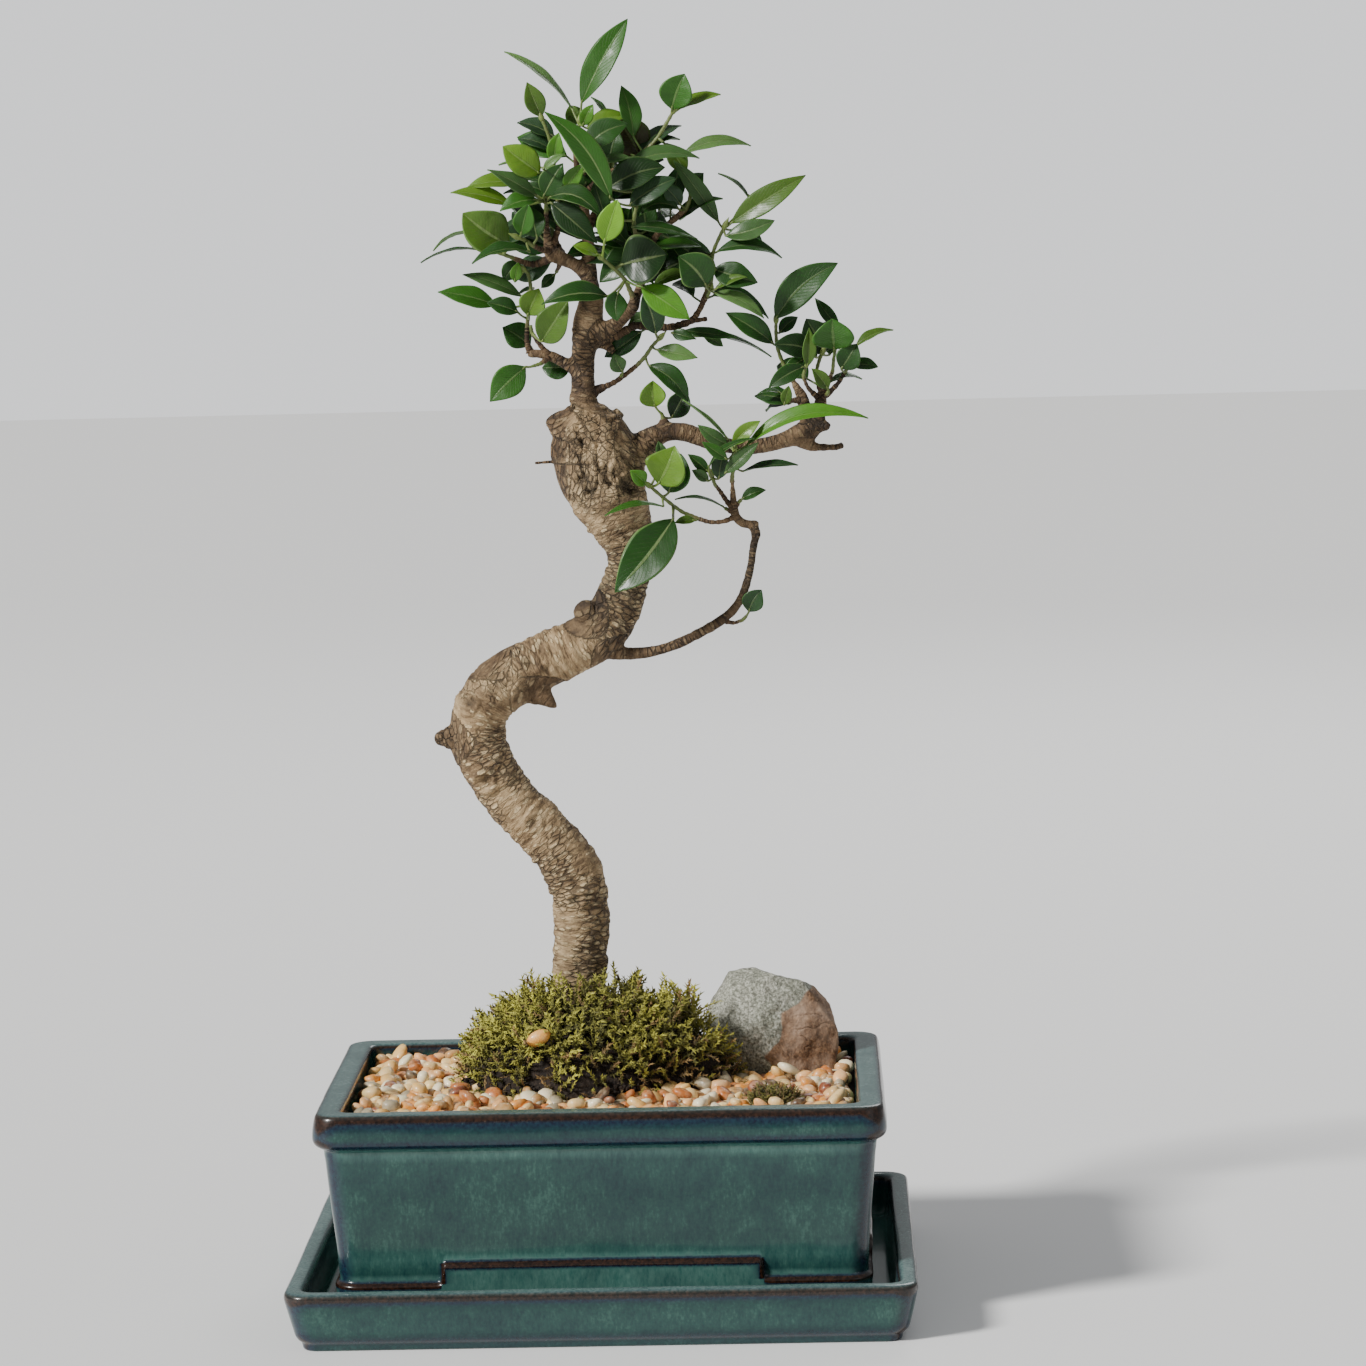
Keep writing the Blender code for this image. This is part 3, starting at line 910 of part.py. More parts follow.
def leaf_solid(leaf, stem):
    """A leaf with its stalk: a folded, arched blade with four points to each ring."""
    base = tree_point(leaf[:3])
    tip = tree_point(leaf[3:6])
    width, arch, tilt = leaf[6:]
    along = tip - base
    length = along.length
    along.normalize()
    face = Vector((0, -math.cos(math.radians(tilt)), math.sin(math.radians(tilt))))
    face = (face - along * face.dot(along)).normalized()
    start = min(stem, key=lambda point: (point - base).length)
    stalk = (base - start).normalized()
    radius = PETIOLE_RADIUS * (0.75 + width / 40)
    slope = (along * length + face * 4 * arch).normalized()
    up = (face - slope * face.dot(slope)).normalized()
    across = slope.cross(up)
    points = []
    for centre, ahead in ((start - stalk * radius * 0.7, stalk), (base, stalk + slope)):
        turn = slope.rotation_difference(ahead)
        side = turn @ across * radius
        rise = turn @ up * radius
        points += [centre + side, centre + rise, centre - side, centre - rise]
    for share, spread in ((0.07, 2.0 / width), (0.38, 1.0), (0.74, 0.72)):
        slope = (along * length + face * 4 * arch * (1 - 2 * share)).normalized()
        up = (face - slope * face.dot(slope)).normalized()
        across = slope.cross(up)
        middle = base + along * length * share + face * 4 * arch * share * (1 - share)
        half = width / 2 * spread
        edge = up * half * 2 * LEAF_FOLD if share > 0.1 else Vector()
        points += [middle + across * half + edge, middle + up * LEAF_THICKNESS / 2,
                   middle - across * half + edge, middle - up * LEAF_THICKNESS / 2]
    last = len(points)
    points.append(tip)
    faces = ring_faces(last // 4, 4)[:-1]
    faces += [(last - 4 + side, last - 4 + (side + 1) % 4, last) for side in range(4)]
    return solid("leaf", points, faces)


def make_shoot(name, twig, stem_points, leaves, surface):
    ends = [tree_point(point) for point in WOOD[twig][-2:]]
    ahead = (ends[1] - ends[0]).normalized()
    stem = [ends[1] + ahead * (GAP + 0.15)]
    first = tree_point(stem_points[0])
    if (first - ends[1]).length > 3:
        stem.append(ends[1] + ahead * 1.6)
    stem += [tree_point(point) for point in stem_points]
    radii = [STEM_RADIUS] * (len(stem) - 1) + [STEM_RADIUS * 0.7]
    shoot = tube(name, stem, radii, 6)
    combine(shoot, [leaf_solid(leaf, stem[1:]) for leaf in leaves], "UNION")
    shoot.data.materials.append(surface)


def smooth_round():
    """Shades every rounded surface smooth, and keeps the sharp edges sharp."""
    for item in bpy.data.objects:
        limit = 50 if item.name.startswith(("trunk", "shoot", "leaf", "moss")) else 32
        item.data.shade_smooth()
        item.data.set_sharp_from_angle(angle=math.radians(limit))


def build():
    clear_scene()
    make_tray()
    make_pot()
    make_screens()
    make_soil()
    make_moss()
    make_rock()
    make_tuft()
    make_gravel()
    make_wood()
    leaf_surface = finish("leaf", (0.08, 0.17, 0.05), 0.35)
    for name, (twig, stem_points, leaves) in SHOOTS.items():
        make_shoot(name, twig, stem_points, leaves, leaf_surface)
    smooth_round()


build()
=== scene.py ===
import math

import bmesh
import bpy
import numpy as np
from mathutils import Matrix, Vector, kdtree


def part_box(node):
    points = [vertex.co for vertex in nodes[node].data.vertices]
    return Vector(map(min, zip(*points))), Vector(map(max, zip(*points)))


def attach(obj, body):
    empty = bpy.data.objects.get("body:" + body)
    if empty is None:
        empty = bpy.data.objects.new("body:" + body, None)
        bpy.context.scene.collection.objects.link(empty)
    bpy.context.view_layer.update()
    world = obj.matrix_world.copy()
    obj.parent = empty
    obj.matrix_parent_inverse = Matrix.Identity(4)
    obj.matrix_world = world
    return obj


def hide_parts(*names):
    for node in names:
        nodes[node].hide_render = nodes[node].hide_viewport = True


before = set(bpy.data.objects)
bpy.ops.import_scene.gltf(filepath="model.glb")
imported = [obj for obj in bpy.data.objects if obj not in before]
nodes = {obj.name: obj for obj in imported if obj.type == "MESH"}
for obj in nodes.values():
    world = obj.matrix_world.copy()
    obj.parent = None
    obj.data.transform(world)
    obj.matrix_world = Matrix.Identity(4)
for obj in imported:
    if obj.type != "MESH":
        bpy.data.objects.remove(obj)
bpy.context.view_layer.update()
print("frame loaded")

mm = 0.001


# shared shape tools; lengths are in millimetres

def cellRandom(ix, iy, iz, seed):
    # one steady random number from 0 to 1 for each whole-number cell
    mask = np.uint64(0xFFFFFFFF)
    mixed = (ix.astype(np.int64) * 374761393 + iy.astype(np.int64) * 668265263
             + iz.astype(np.int64) * 1440662683 + seed * 974711 + 12345)
    mixed = mixed.astype(np.uint64) & mask
    mixed = ((mixed ^ (mixed >> np.uint64(13))) * np.uint64(1274126177)) & mask
    mixed = mixed ^ (mixed >> np.uint64(16))
    return (mixed & np.uint64(0xFFFF)).astype(float) / 65535


def softNoise(points, size, seed=0):
    # random values at the corners of cells of this size, blended smoothly, from -1 to 1
    scaled = points / size
    cell = np.floor(scaled)
    part = scaled - cell
    part = part * part * (3 - 2 * part)
    total = np.zeros(len(points))
    for dx in (0, 1):
        for dy in (0, 1):
            for dz in (0, 1):
                weight = np.abs(1 - dx - part[:, 0]) * np.abs(1 - dy - part[:, 1])
                weight *= np.abs(1 - dz - part[:, 2])
                total += weight * cellRandom(cell[:, 0] + dx, cell[:, 1] + dy,
                                             cell[:, 2] + dz, seed)
    return total * 2 - 1


def layeredNoise(points, size, layers, seed=0):
    # noise at one size plus halves of it at half the size, and so on
    total = np.zeros(len(points))
    for layer in range(layers):
        total += softNoise(points, size / 2 ** layer, seed + 17 * layer) / 2 ** layer
    return total


def gridQuads(rows, columns, wrap=True):
    # four-sided faces between neighbouring rows of points
    row, column = np.meshgrid(np.arange(rows - 1), np.arange(columns if wrap else columns - 1),
                              indexing="ij")
    after = (column + 1) % columns
    quads = np.stack([row * columns + column, row * columns + after,
                      (row + 1) * columns + after, (row + 1) * columns + column], axis=-1)
    return quads.reshape(-1, 4)


def curveThrough(points, count):
    # Catmull-Rom curve through the points, with count samples spread evenly over the stretches
    points = np.asarray(points, float)
    padded = np.vstack([2 * points[0] - points[1], points, 2 * points[-1] - points[-2]])
    where = np.linspace(0, len(points) - 1 - 1e-9, count)
    index = where.astype(int)
    t = (where - index)[:, None]
    a, b, c, d = (padded[index + step] for step in range(4))
    return 0.5 * (2 * b + (c - a) * t + (2 * a - 5 * b + 4 * c - d) * t ** 2
                  + (3 * b - a - 3 * c + d) * t ** 3)


def framesAlong(path):
    # direction, side and other side at each point of a path, turning as little as possible
    ahead = np.gradient(path, axis=0)
    ahead /= np.linalg.norm(ahead, axis=1)[:, None] + 1e-12
    side = np.cross(ahead[0], (0.3, 1.0, 0.2))
    sides = []
    for direction in ahead:
        side = side - direction * side.dot(direction)
        side = side / np.linalg.norm(side)
        sides.append(side)
    sides = np.array(sides)
    return ahead, sides, np.cross(ahead, sides)


def tubeShape(path, radii, sides):
    # circles of the given radii carried along a path; returns points and the side faces, without caps
    _, side, other = framesAlong(path)
    angle = np.linspace(0, 2 * np.pi, sides, endpoint=False)
    ring = (side[:, None] * np.cos(angle)[None, :, None]
            + other[:, None] * np.sin(angle)[None, :, None])
    points = path[:, None] + ring * np.asarray(radii)[:, None, None]
    return points.reshape(-1, 3), gridQuads(len(path), sides)


def capLoops(rows, columns, offset=0):
    # the first and last ring as one face each, facing outwards
    first = tuple(offset + np.arange(columns)[::-1])
    last = tuple(offset + (rows - 1) * columns + np.arange(columns))
    return [first, last]


class Heap:
    # gathers many small shapes, with a colour or other value for each point, into one mesh
    def __init__(self):
        self.points, self.quads, self.loops, self.marks, self.count = [], [], [], [], 0

    def add(self, points, quads, loops=(), mark=None):
        self.points.append(points)
        self.quads.append(quads + self.count)
        self.loops += [tuple(np.array(loop) + self.count) for loop in loops]
        if mark is not None:
            self.marks.append(np.broadcast_to(mark, (len(points), len(mark))))
        self.count += len(points)

    def shape(self):
        marks = np.vstack(self.marks) if self.marks else None
        return np.vstack(self.points), np.vstack(self.quads), self.loops, marks


def makePiece(name, points, quads, paint, loops=(), marks=None, uv=None, smooth=True):
    # a mesh object from points in millimetres, quads and any larger faces
    mesh = bpy.data.meshes.new(name)
    corners = np.concatenate([np.asarray(quads).ravel(),
                              *[np.array(loop) for loop in loops]]).astype(np.int32)
    sizes = np.concatenate([np.full(len(quads), np.asarray(quads).shape[1]),
                            np.array([len(loop) for loop in loops], int)]).astype(np.int32)
    mesh.vertices.add(len(points))
    mesh.vertices.foreach_set("co", (np.asarray(points) * mm).astype(np.float32).ravel())
    mesh.loops.add(len(corners))
    mesh.loops.foreach_set("vertex_index", corners)
    mesh.polygons.add(len(sizes))
    starts = np.concatenate([[0], np.cumsum(sizes)[:-1]]).astype(np.int32)
    mesh.polygons.foreach_set("loop_start", starts)
    mesh.polygons.foreach_set("loop_total", sizes)
    mesh.update(calc_edges=True)
    mesh.validate()
    if marks is not None:
        layer = mesh.attributes.new("mark", "FLOAT_COLOR", "POINT")
        full = np.ones((len(points), 4), np.float32)
        full[:, :marks.shape[1]] = marks
        layer.data.foreach_set("color", full.ravel())
    if uv is not None:
        layer = mesh.attributes.new("grain", "FLOAT_VECTOR", "POINT")
        layer.data.foreach_set("vector", np.asarray(uv, np.float32).ravel())
    mesh.polygons.foreach_set("use_smooth", np.full(len(sizes), smooth))
    mesh.materials.append(paint)
    piece = bpy.data.objects.new(name, mesh)
    bpy.context.scene.collection.objects.link(piece)
    return piece


def normalsOf(points, quads):
    # the mean direction of the faces round each point
    across = points[quads[:, 2]] - points[quads[:, 0]]
    other = points[quads[:, 3]] - points[quads[:, 1]]
    facing = np.cross(across, other)
    total = np.zeros_like(points)
    for corner in range(4):
        np.add.at(total, quads[:, corner], facing)
    return total / (np.linalg.norm(total, axis=1)[:, None] + 1e-12)


def unit(vector):
    return vector / (np.linalg.norm(vector, axis=-1)[..., None] + 1e-12)


def smoothStep(low, high, value):
    t = np.clip((value - low) / (high - low), 0, 1)
    return t * t * (3 - 2 * t)


# shader tools

class Level:
    # one shader value; arithmetic on it adds Math nodes
    def __init__(self, paint, socket):
        self.paint, self.socket = paint, socket

    def math(self, operation, *values, clamp=False):
        node = self.paint.tree.nodes.new("ShaderNodeMath")
        node.operation = operation
        node.use_clamp = clamp
        for place, value in enumerate(values):
            self.paint.feed(node.inputs[place], value)
        return Level(self.paint, node.outputs[0])

    def __add__(self, other):
        return self.math("ADD", self, other)

    __radd__ = __add__

    def __mul__(self, other):
        return self.math("MULTIPLY", self, other)

    __rmul__ = __mul__

    def __sub__(self, other):
        return self.math("SUBTRACT", self, other)

    def __rsub__(self, other):
        return self.math("SUBTRACT", other, self)

    def between(self, low, high):
        # 0 below low, 1 above high, straight between
        return self.math("MULTIPLY", self - low, 1 / (high - low), clamp=True)


class Paint:
    # a material, and one way to add any node to it
    def __init__(self, name, roughness, **fixed):
        self.material = bpy.data.materials.new(name)
        self.material.use_nodes = True
        self.tree = self.material.node_tree
        self.shader = self.tree.nodes["Principled BSDF"]
        self.shader.inputs["Roughness"].default_value = roughness
        for socket, value in fixed.items():
            self.shader.inputs[socket.replace("_", " ")].default_value = value

    def feed(self, socket, value):
        if isinstance(value, Level):
            self.tree.links.new(value.socket, socket)
        elif isinstance(value, tuple) and len(value) == 3 and socket.type == "RGBA":
            socket.default_value = (*value, 1.0)
        else:
            socket.default_value = value

    def node(self, kind, settings=None, output=0, **values):
        node = self.tree.nodes.new(kind)
        for setting, value in (settings or {}).items():
            if setting == "stops":
                ramp = node.color_ramp
                while len(ramp.elements) < len(value):
                    ramp.elements.new(0.5)
                for element, (place, colour) in zip(ramp.elements, value):
                    element.position = place
                    element.color = (*colour, 1.0)
            else:
                setattr(node, setting, value)
        for name, value in values.items():
            place = int(name[1:]) if name[0] == "i" and name[1:].isdigit() else None
            socket = node.inputs[place if place is not None else name.replace("_", " ")]
            self.feed(socket, value)
        return Level(self, node.outputs[output])

    def place(self, scale=(1.0, 1.0, 1.0), shift=(0.0, 0.0, 0.0)):
        # the object's own coordinates in millimetres, stretched
        where = self.node("ShaderNodeTexCoord", output=3)
        size = tuple(1000.0 * value for value in scale)
        return self.node("ShaderNodeMapping", i0=where, i1=shift, i3=size)

    def attribute(self, name, output=0):
        return self.node("ShaderNodeAttribute", {"attribute_name": name}, output)

    def noise(self, vector, size, detail=3.0, rough=0.55, seed=0.0, output=0):
        return self.node("ShaderNodeTexNoise", {"noise_dimensions": "4D"}, output, Vector=vector,
                         W=seed, Scale=1 / size, Detail=detail, Roughness=rough)

    def cells(self, vector, size, feature="F1", output=0, jitter=1.0):
        return self.node("ShaderNodeTexVoronoi", {"feature": feature}, output, Vector=vector,
                         Scale=1 / size, Randomness=jitter)

    def mix(self, factor, first, second, blend="MIX"):
        return self.node("ShaderNodeMix", {"data_type": "RGBA", "blend_type": blend}, 2,
                         i0=factor, i6=first, i7=second)

    def ramp(self, factor, stops):
        return self.node("ShaderNodeValToRGB", {"stops": stops}, Fac=factor)

    def bump(self, height, depth, strength=1.0):
        # depth in millimetres for a height from 0 to 1
        bumped = self.node("ShaderNodeBump", {}, Height=height, Distance=depth * mm,
                           Strength=strength)
        self.feed(self.shader.inputs["Normal"], bumped)

    def colour(self, value):
        self.feed(self.shader.inputs["Base Color"], value)

    def set(self, socket, value):
        self.feed(self.shader.inputs[socket], value)


# finishes

def glazePaint():
    # teal glaze: brown where it runs thin on edges, blue-violet below them, pale in hollows where glaze
    # pools, and paler on the pot's low band as painted fill light
    paint = Paint("tealGlaze", 0.2, Coat_Weight=0.3, Coat_Roughness=0.07,
                  Specular_IOR_Level=0.36)
    where = paint.place()
    drips = paint.place((1.0, 1.0, 0.34))
    edge = paint.node("ShaderNodeSeparateColor", i0=paint.attribute("mark"))
    hollow = Level(paint, edge.socket.node.outputs[1])
    crest = Level(paint, edge.socket.node.outputs[2])
    cloud = paint.noise(where, 16.0, 4)
    speck = paint.noise(where, 1.1, 3, 0.6, 3.0)
    streak = paint.noise(drips, 1.3, 5, 0.7, 7.0)
    broad = paint.noise(where, 42.0, 3, 0.5, 12.0)
    base = paint.ramp(cloud * 0.32 + streak * 0.34 + speck * 0.2 + broad * 0.14, [
        (0.36, (0.002, 0.014, 0.022)), (0.45, (0.004, 0.030, 0.032)),
        (0.53, (0.008, 0.048, 0.041)), (0.62, (0.032, 0.100, 0.079))])
    pale = paint.mix(streak.between(0.3, 0.7), (0.050, 0.165, 0.140), (0.150, 0.290, 0.250))
    # pale where the hollow mark is: pooled glaze in the real hollows, painted fill light on the pot's
    # low band
    base = paint.mix(hollow * (cloud.between(0.2, 0.8) * 0.5 + 0.4), base, pale)
    violet = paint.mix(speck.between(0.35, 0.65), (0.006, 0.009, 0.024), (0.010, 0.032, 0.050))
    reach = (edge + (streak - 0.5) * 0.7).between(0.12, 0.50)
    base = paint.mix(reach, base, violet)
    brown = paint.mix(speck.between(0.4, 0.7), (0.008, 0.0035, 0.002), (0.040, 0.016, 0.008))
    base = paint.mix((edge + (streak - 0.5) * 0.22).between(0.58, 0.78), base, brown)
    greyTop = paint.mix(speck.between(0.35, 0.62), (0.075, 0.150, 0.145), (0.170, 0.250, 0.240))
    base = paint.mix(crest * (cloud.between(0.15, 0.6) * 0.5 + 0.42), base, greyTop)
    pits = speck.between(0.70, 0.74)
    base = paint.mix(pits * 0.6, base, (0.02, 0.03, 0.03))
    paint.colour(base)
    paint.set("Roughness", 0.13 + edge * 0.12 + speck * 0.10)
    paint.bump(cloud * 0.5 + streak * 0.18 - pits * 0.3, 0.5, 0.35)
    return paint.material


def barkPaint():
    # tan bark with pale dashes across it, darker and cracked where it is old
    paint = Paint("paleBark", 0.82)
    where = paint.place()
    grain = paint.attribute("grain", 1)      # x along the wood, y and z across it
    tint = paint.attribute("mark")
    age = paint.attribute("mark", 3)
    cloud = paint.noise(where, 13.0, 4)
    fine = paint.noise(where, 1.3, 4, 0.65, 2.0)
    rings = paint.noise(paint.node("ShaderNodeMapping", i0=grain, i3=(1.0, 0.22, 0.22)), 1.1, 4,
                        0.6, 5.0)
    dashes = paint.cells(paint.node("ShaderNodeMapping", i0=grain, i3=(1.0, 0.36, 0.36)), 1.55)
    pick = paint.node("ShaderNodeSeparateColor", i0=paint.cells(
        paint.node("ShaderNodeMapping", i0=grain, i3=(1.0, 0.36, 0.36)), 1.55, output=1))
    patch = paint.noise(where, 22.0, 2, 0.5, 21.0)
    dash = ((0.46 + (fine - 0.5) * 0.4 - dashes).between(0.0, 0.10)
            * (pick + patch * 1.2).between(0.92, 1.05))
    cracks = paint.cells(where, 3.4, "DISTANCE_TO_EDGE")
    crackLine = (0.07 - cracks + (fine - 0.5) * 0.10).between(0.0, 0.07) * age.between(0.35, 1.1)
    base = paint.ramp(cloud * 0.5 + rings * 0.5, [
        (0.36, (0.060, 0.034, 0.016)), (0.44, (0.170, 0.106, 0.056)),
        (0.53, (0.390, 0.265, 0.150)), (0.64, (0.620, 0.455, 0.285))])
    old = paint.ramp(cloud * 0.45 + fine * 0.55, [
        (0.38, (0.085, 0.052, 0.026)), (0.47, (0.320, 0.220, 0.125)), (0.58, (0.660, 0.500, 0.315))])
    base = paint.mix(age * 0.8, base, old)
    base = paint.mix(dash * (1.0 - age * 0.8) * 0.8, base, (0.70, 0.54, 0.34))
    plates = paint.cells(paint.node("ShaderNodeMapping", i0=grain, i3=(1.0, 0.42, 0.42)), 1.7,
                         "DISTANCE_TO_EDGE")
    seams = (0.16 + (fine - 0.5) * 0.3 - plates).between(0.0, 0.14)
    seams = seams * (patch.between(0.46, 0.56) * 0.6 + 0.12)
    base = paint.mix(seams, base, (0.050, 0.031, 0.017))
    base = paint.mix(crackLine * 0.8, base, (0.030, 0.018, 0.010))
    # the point tint holds painted shade at the trunk's neck and in its creases, besides the wood's own
    # tone
    base = paint.mix(1.0, base, tint, "MULTIPLY")
    paint.colour(base)
    paint.set("Roughness", 0.72 + fine * 0.2)
    paint.bump(rings * 0.45 + fine * 0.45 + dash * 0.35 - crackLine * 0.9 - seams * 0.8, 1.5)
    return paint.material


def leafPaint():
    # waxy leaf: tone from the leaf's own mark, pale midrib and rim, faint side veins
    paint = Paint("waxyLeaf", 0.36, Coat_Weight=0.08, Coat_Roughness=0.15,
                  Specular_IOR_Level=0.26, Subsurface_Weight=0.1, Subsurface_Scale=0.001)
    paint.shader.inputs["Subsurface Radius"].default_value = (0.3, 1.0, 0.15)
    where = paint.place()
    tone = paint.attribute("mark")
    pale = paint.attribute("mark", 3)
    grain = paint.attribute("grain", 1)      # x along 0..1, y across -1..1, z 1 top and 0 under
    along = paint.node("ShaderNodeSeparateXYZ", i0=grain)
    across = Level(paint, along.socket.node.outputs[1])
    upper = Level(paint, along.socket.node.outputs[2])
    out = across.math("ABSOLUTE", across)
    midrib = (0.085 - out).between(0.0, 0.05) * (1.0 - along * 0.55)
    sideVein = (along * 15.0 - out * 4.2).math("SINE", (along * 15.0 - out * 4.2) * 6.2832)
    vein = sideVein.between(0.86, 1.0) * (1.0 - out) * upper
    rim = out.between(0.90, 0.985)
    mottle = paint.noise(where, 3.2, 4)
    fine = paint.noise(where, 0.5, 2, 0.5, 4.0)
    dark = paint.mix(mottle.between(0.3, 0.7) * 0.55, tone, (0.25, 0.3, 0.25), "MULTIPLY")
    base = paint.mix(0.35, tone, dark)
    light = paint.mix(0.42, tone, (0.42, 0.52, 0.22))
    base = paint.mix(vein * 0.12 + midrib * (pale * 0.5 + 0.35), base, light)
    base = paint.mix(rim * pale * 0.75, base, (0.22, 0.34, 0.11))
    under = paint.mix(0.22, tone, (0.18, 0.32, 0.10))
    base = paint.mix((1.0 - upper) * 0.8, base, under)
    paint.colour(base)
    paint.set("Roughness", 0.33 + fine * 0.16 + (1.0 - upper) * 0.22)
    paint.bump(mottle * 0.3 + vein * 0.3 - midrib * 0.6 + fine * 0.1, 0.35)
    return paint.material


def stemPaint():
    # green shoots that turn woody towards their foot
    paint = Paint("greenStem", 0.5)
    where = paint.place()
    fine = paint.noise(where, 0.9, 3)
    tint = paint.attribute("mark")
    base = paint.mix(fine.between(0.35, 0.65) * 0.5, tint, (0.12, 0.10, 0.04))
    paint.colour(base)
    paint.bump(fine, 0.2)
    return paint.material


def stonePaint():
    # tumbled gravel: one tone to each stone, with veins and specks
    paint = Paint("riverGravel", 0.4, Coat_Weight=0.3, Coat_Roughness=0.12,
                  Subsurface_Weight=0.06, Subsurface_Scale=0.001)
    where = paint.place()
    tone = paint.attribute("mark")
    cloud = paint.noise(where, 2.6, 4)
    fine = paint.noise(where, 0.6, 3, 0.6, 9.0)
    base = paint.mix(cloud.between(0.42, 0.62) * 0.25, tone, (0.90, 0.74, 0.48))
    base = paint.mix((0.42 - cloud).between(0.0, 0.12) * 0.45, base, (0.34, 0.17, 0.08))
    base = paint.mix((fine - 0.62).between(0.0, 0.08) * 0.3, base, (0.16, 0.1, 0.06))
    paint.colour(base)
    paint.set("Roughness", 0.34 + fine * 0.25)
    paint.bump(cloud * 0.5 + fine * 0.5, 0.25)
    return paint.material


def mossPaint():
    # each sprig's tone, darkened towards its foot as painted shade, with brown-green flecks
    paint = Paint("sheetMoss", 0.8, Sheen_Weight=0.15)
    where = paint.place()
    tone = paint.attribute("mark")
    fine = paint.noise(where, 1.6, 3)
    base = paint.mix(fine.between(0.4, 0.7) * 0.45, tone, (0.20, 0.17, 0.035))
    paint.colour(base)
    paint.bump(fine, 0.3)
    return paint.material


def soilPaint():
    # nearly black clods with paler bits
    paint = Paint("pottingSoil", 0.95)
    where = paint.place()
    clod = paint.noise(where, 3.0, 5, 0.65)
    bits = paint.cells(where, 1.6)
    base = paint.ramp(clod, [(0.35, (0.006, 0.004, 0.003)), (0.6, (0.030, 0.019, 0.012)),
                             (0.75, (0.085, 0.055, 0.034))])
    paint.colour(paint.mix((0.18 - bits).between(0.0, 0.1) * 0.5, base, (0.17, 0.12, 0.08)))
    paint.bump(clod + bits * 0.4, 1.6)
    return paint.material


def rockPaint():
    # grey-green speckled stone with brown, rusty flanks to the right and low down
    paint = Paint("fieldStone", 0.78)
    where = paint.place()
    tint = paint.node("ShaderNodeSeparateColor", i0=paint.attribute("mark"))
    grains = paint.noise(where, 1.0, 4, 0.7)
    cloud = paint.noise(where, 9.0, 4, 0.5, 3.0)
    rough = paint.noise(where, 3.0, 5, 0.65, 6.0)
    grey = paint.ramp(grains, [(0.34, (0.085, 0.090, 0.070)), (0.46, (0.235, 0.235, 0.190)),
                               (0.56, (0.440, 0.440, 0.370)), (0.68, (0.760, 0.750, 0.670))])
    brown = paint.ramp(grains * 0.5 + rough * 0.5, [
        (0.34, (0.055, 0.026, 0.012)), (0.48, (0.150, 0.080, 0.040)),
        (0.58, (0.300, 0.175, 0.095)), (0.72, (0.520, 0.370, 0.250))])
    brown = paint.mix(cloud.between(0.42, 0.62) * 0.6, brown, (0.56, 0.40, 0.29))
    stain = (tint + (cloud - 0.5) * 0.5).between(0.42, 0.58)
    grey = paint.mix(cloud.between(0.42, 0.60) * 0.38, grey, (0.42, 0.47, 0.38), "MULTIPLY")
    base = paint.mix(stain, grey, brown)
    paint.colour(base)
    paint.set("Roughness", 0.65 + grains * 0.25)
    paint.bump(grains * 0.4 + rough * 0.6, 0.9)
    return paint.material


def screenPaint():
    # black plastic mesh
    paint = Paint("blackScreen", 0.55)
    where = paint.place()
    weave = paint.cells(where, 1.6, jitter=0.0)
    paint.colour(paint.mix(weave.between(0.3, 0.5), (0.02, 0.02, 0.02), (0.05, 0.05, 0.05)))
    paint.bump(weave, 0.3)
    return paint.material


print("finishes ready")

glaze = glazePaint()
bark = barkPaint()
leafWax = leafPaint()
stemGreen = stemPaint()
gravelStone = stonePaint()
mossGreen = mossPaint()
soilDark = soilPaint()
rockStone = rockPaint()
screenBlack = screenPaint()


def dress(name, material):
    # gives a carried-over solid its finish
    data = nodes[name].data
    data.materials.clear()
    data.materials.append(material)


dress("potting_soil", soilDark)
dress("drain_screen_left", screenBlack)
dress("drain_screen_right", screenBlack)


# pot and tray: rounded rectangles carried up a profile

def outlineGrid(lengths, widths, corners, panelX, panelY, cornerSteps=8):
    # for each row, points round a rounded rectangle; straights hold extra points at panel ends
    def straight(panel, step):
        coarse = np.linspace(-1, 1, step)
        near = panel + np.array([-0.010, -0.004, 0.0, 0.004, 0.010])
        return np.unique(np.round(np.concatenate([coarse, near, -near]), 5))
    alongX = straight(panelX, 45)
    alongY = straight(panelY, 31)
    arc = np.linspace(0, np.pi / 2, cornerSteps + 1)
    xs, ys, sideOf, turn = [], [], [], []
    for quarter in range(4):
        signX = (1, -1, -1, 1)[quarter]
        signY = (1, 1, -1, -1)[quarter]
        angle = arc + quarter * np.pi / 2
        coreX = (lengths / 2 - corners)[:, None] * signX
        coreY = (widths / 2 - corners)[:, None] * signY
        xs.append(coreX + corners[:, None] * np.cos(angle)[None])
        ys.append(coreY + corners[:, None] * np.sin(angle)[None])
        sideOf += [0] * len(angle)
        turn += list(1 - np.abs(arc / (np.pi / 4) - 1))
        if quarter % 2 == 0:
            run = alongX[1:-1] * (-1 if quarter == 0 else 1)
            xs.append(run[None] * (lengths / 2 - corners)[:, None])
            ys.append(np.broadcast_to((widths / 2)[:, None] * signY, (len(lengths), len(run))))
        else:
            run = alongY[1:-1] * (-1 if quarter == 1 else 1)
            ys.append(run[None] * (widths / 2 - corners)[:, None])
            xs.append(np.broadcast_to((lengths / 2)[:, None] * signX, (len(lengths), len(run))))
        sideOf += [1 if quarter % 2 == 0 else 2] * len(run)
        turn += [0.0] * len(run)
    return (np.hstack(xs), np.hstack(ys), np.array(sideOf), np.array(turn))


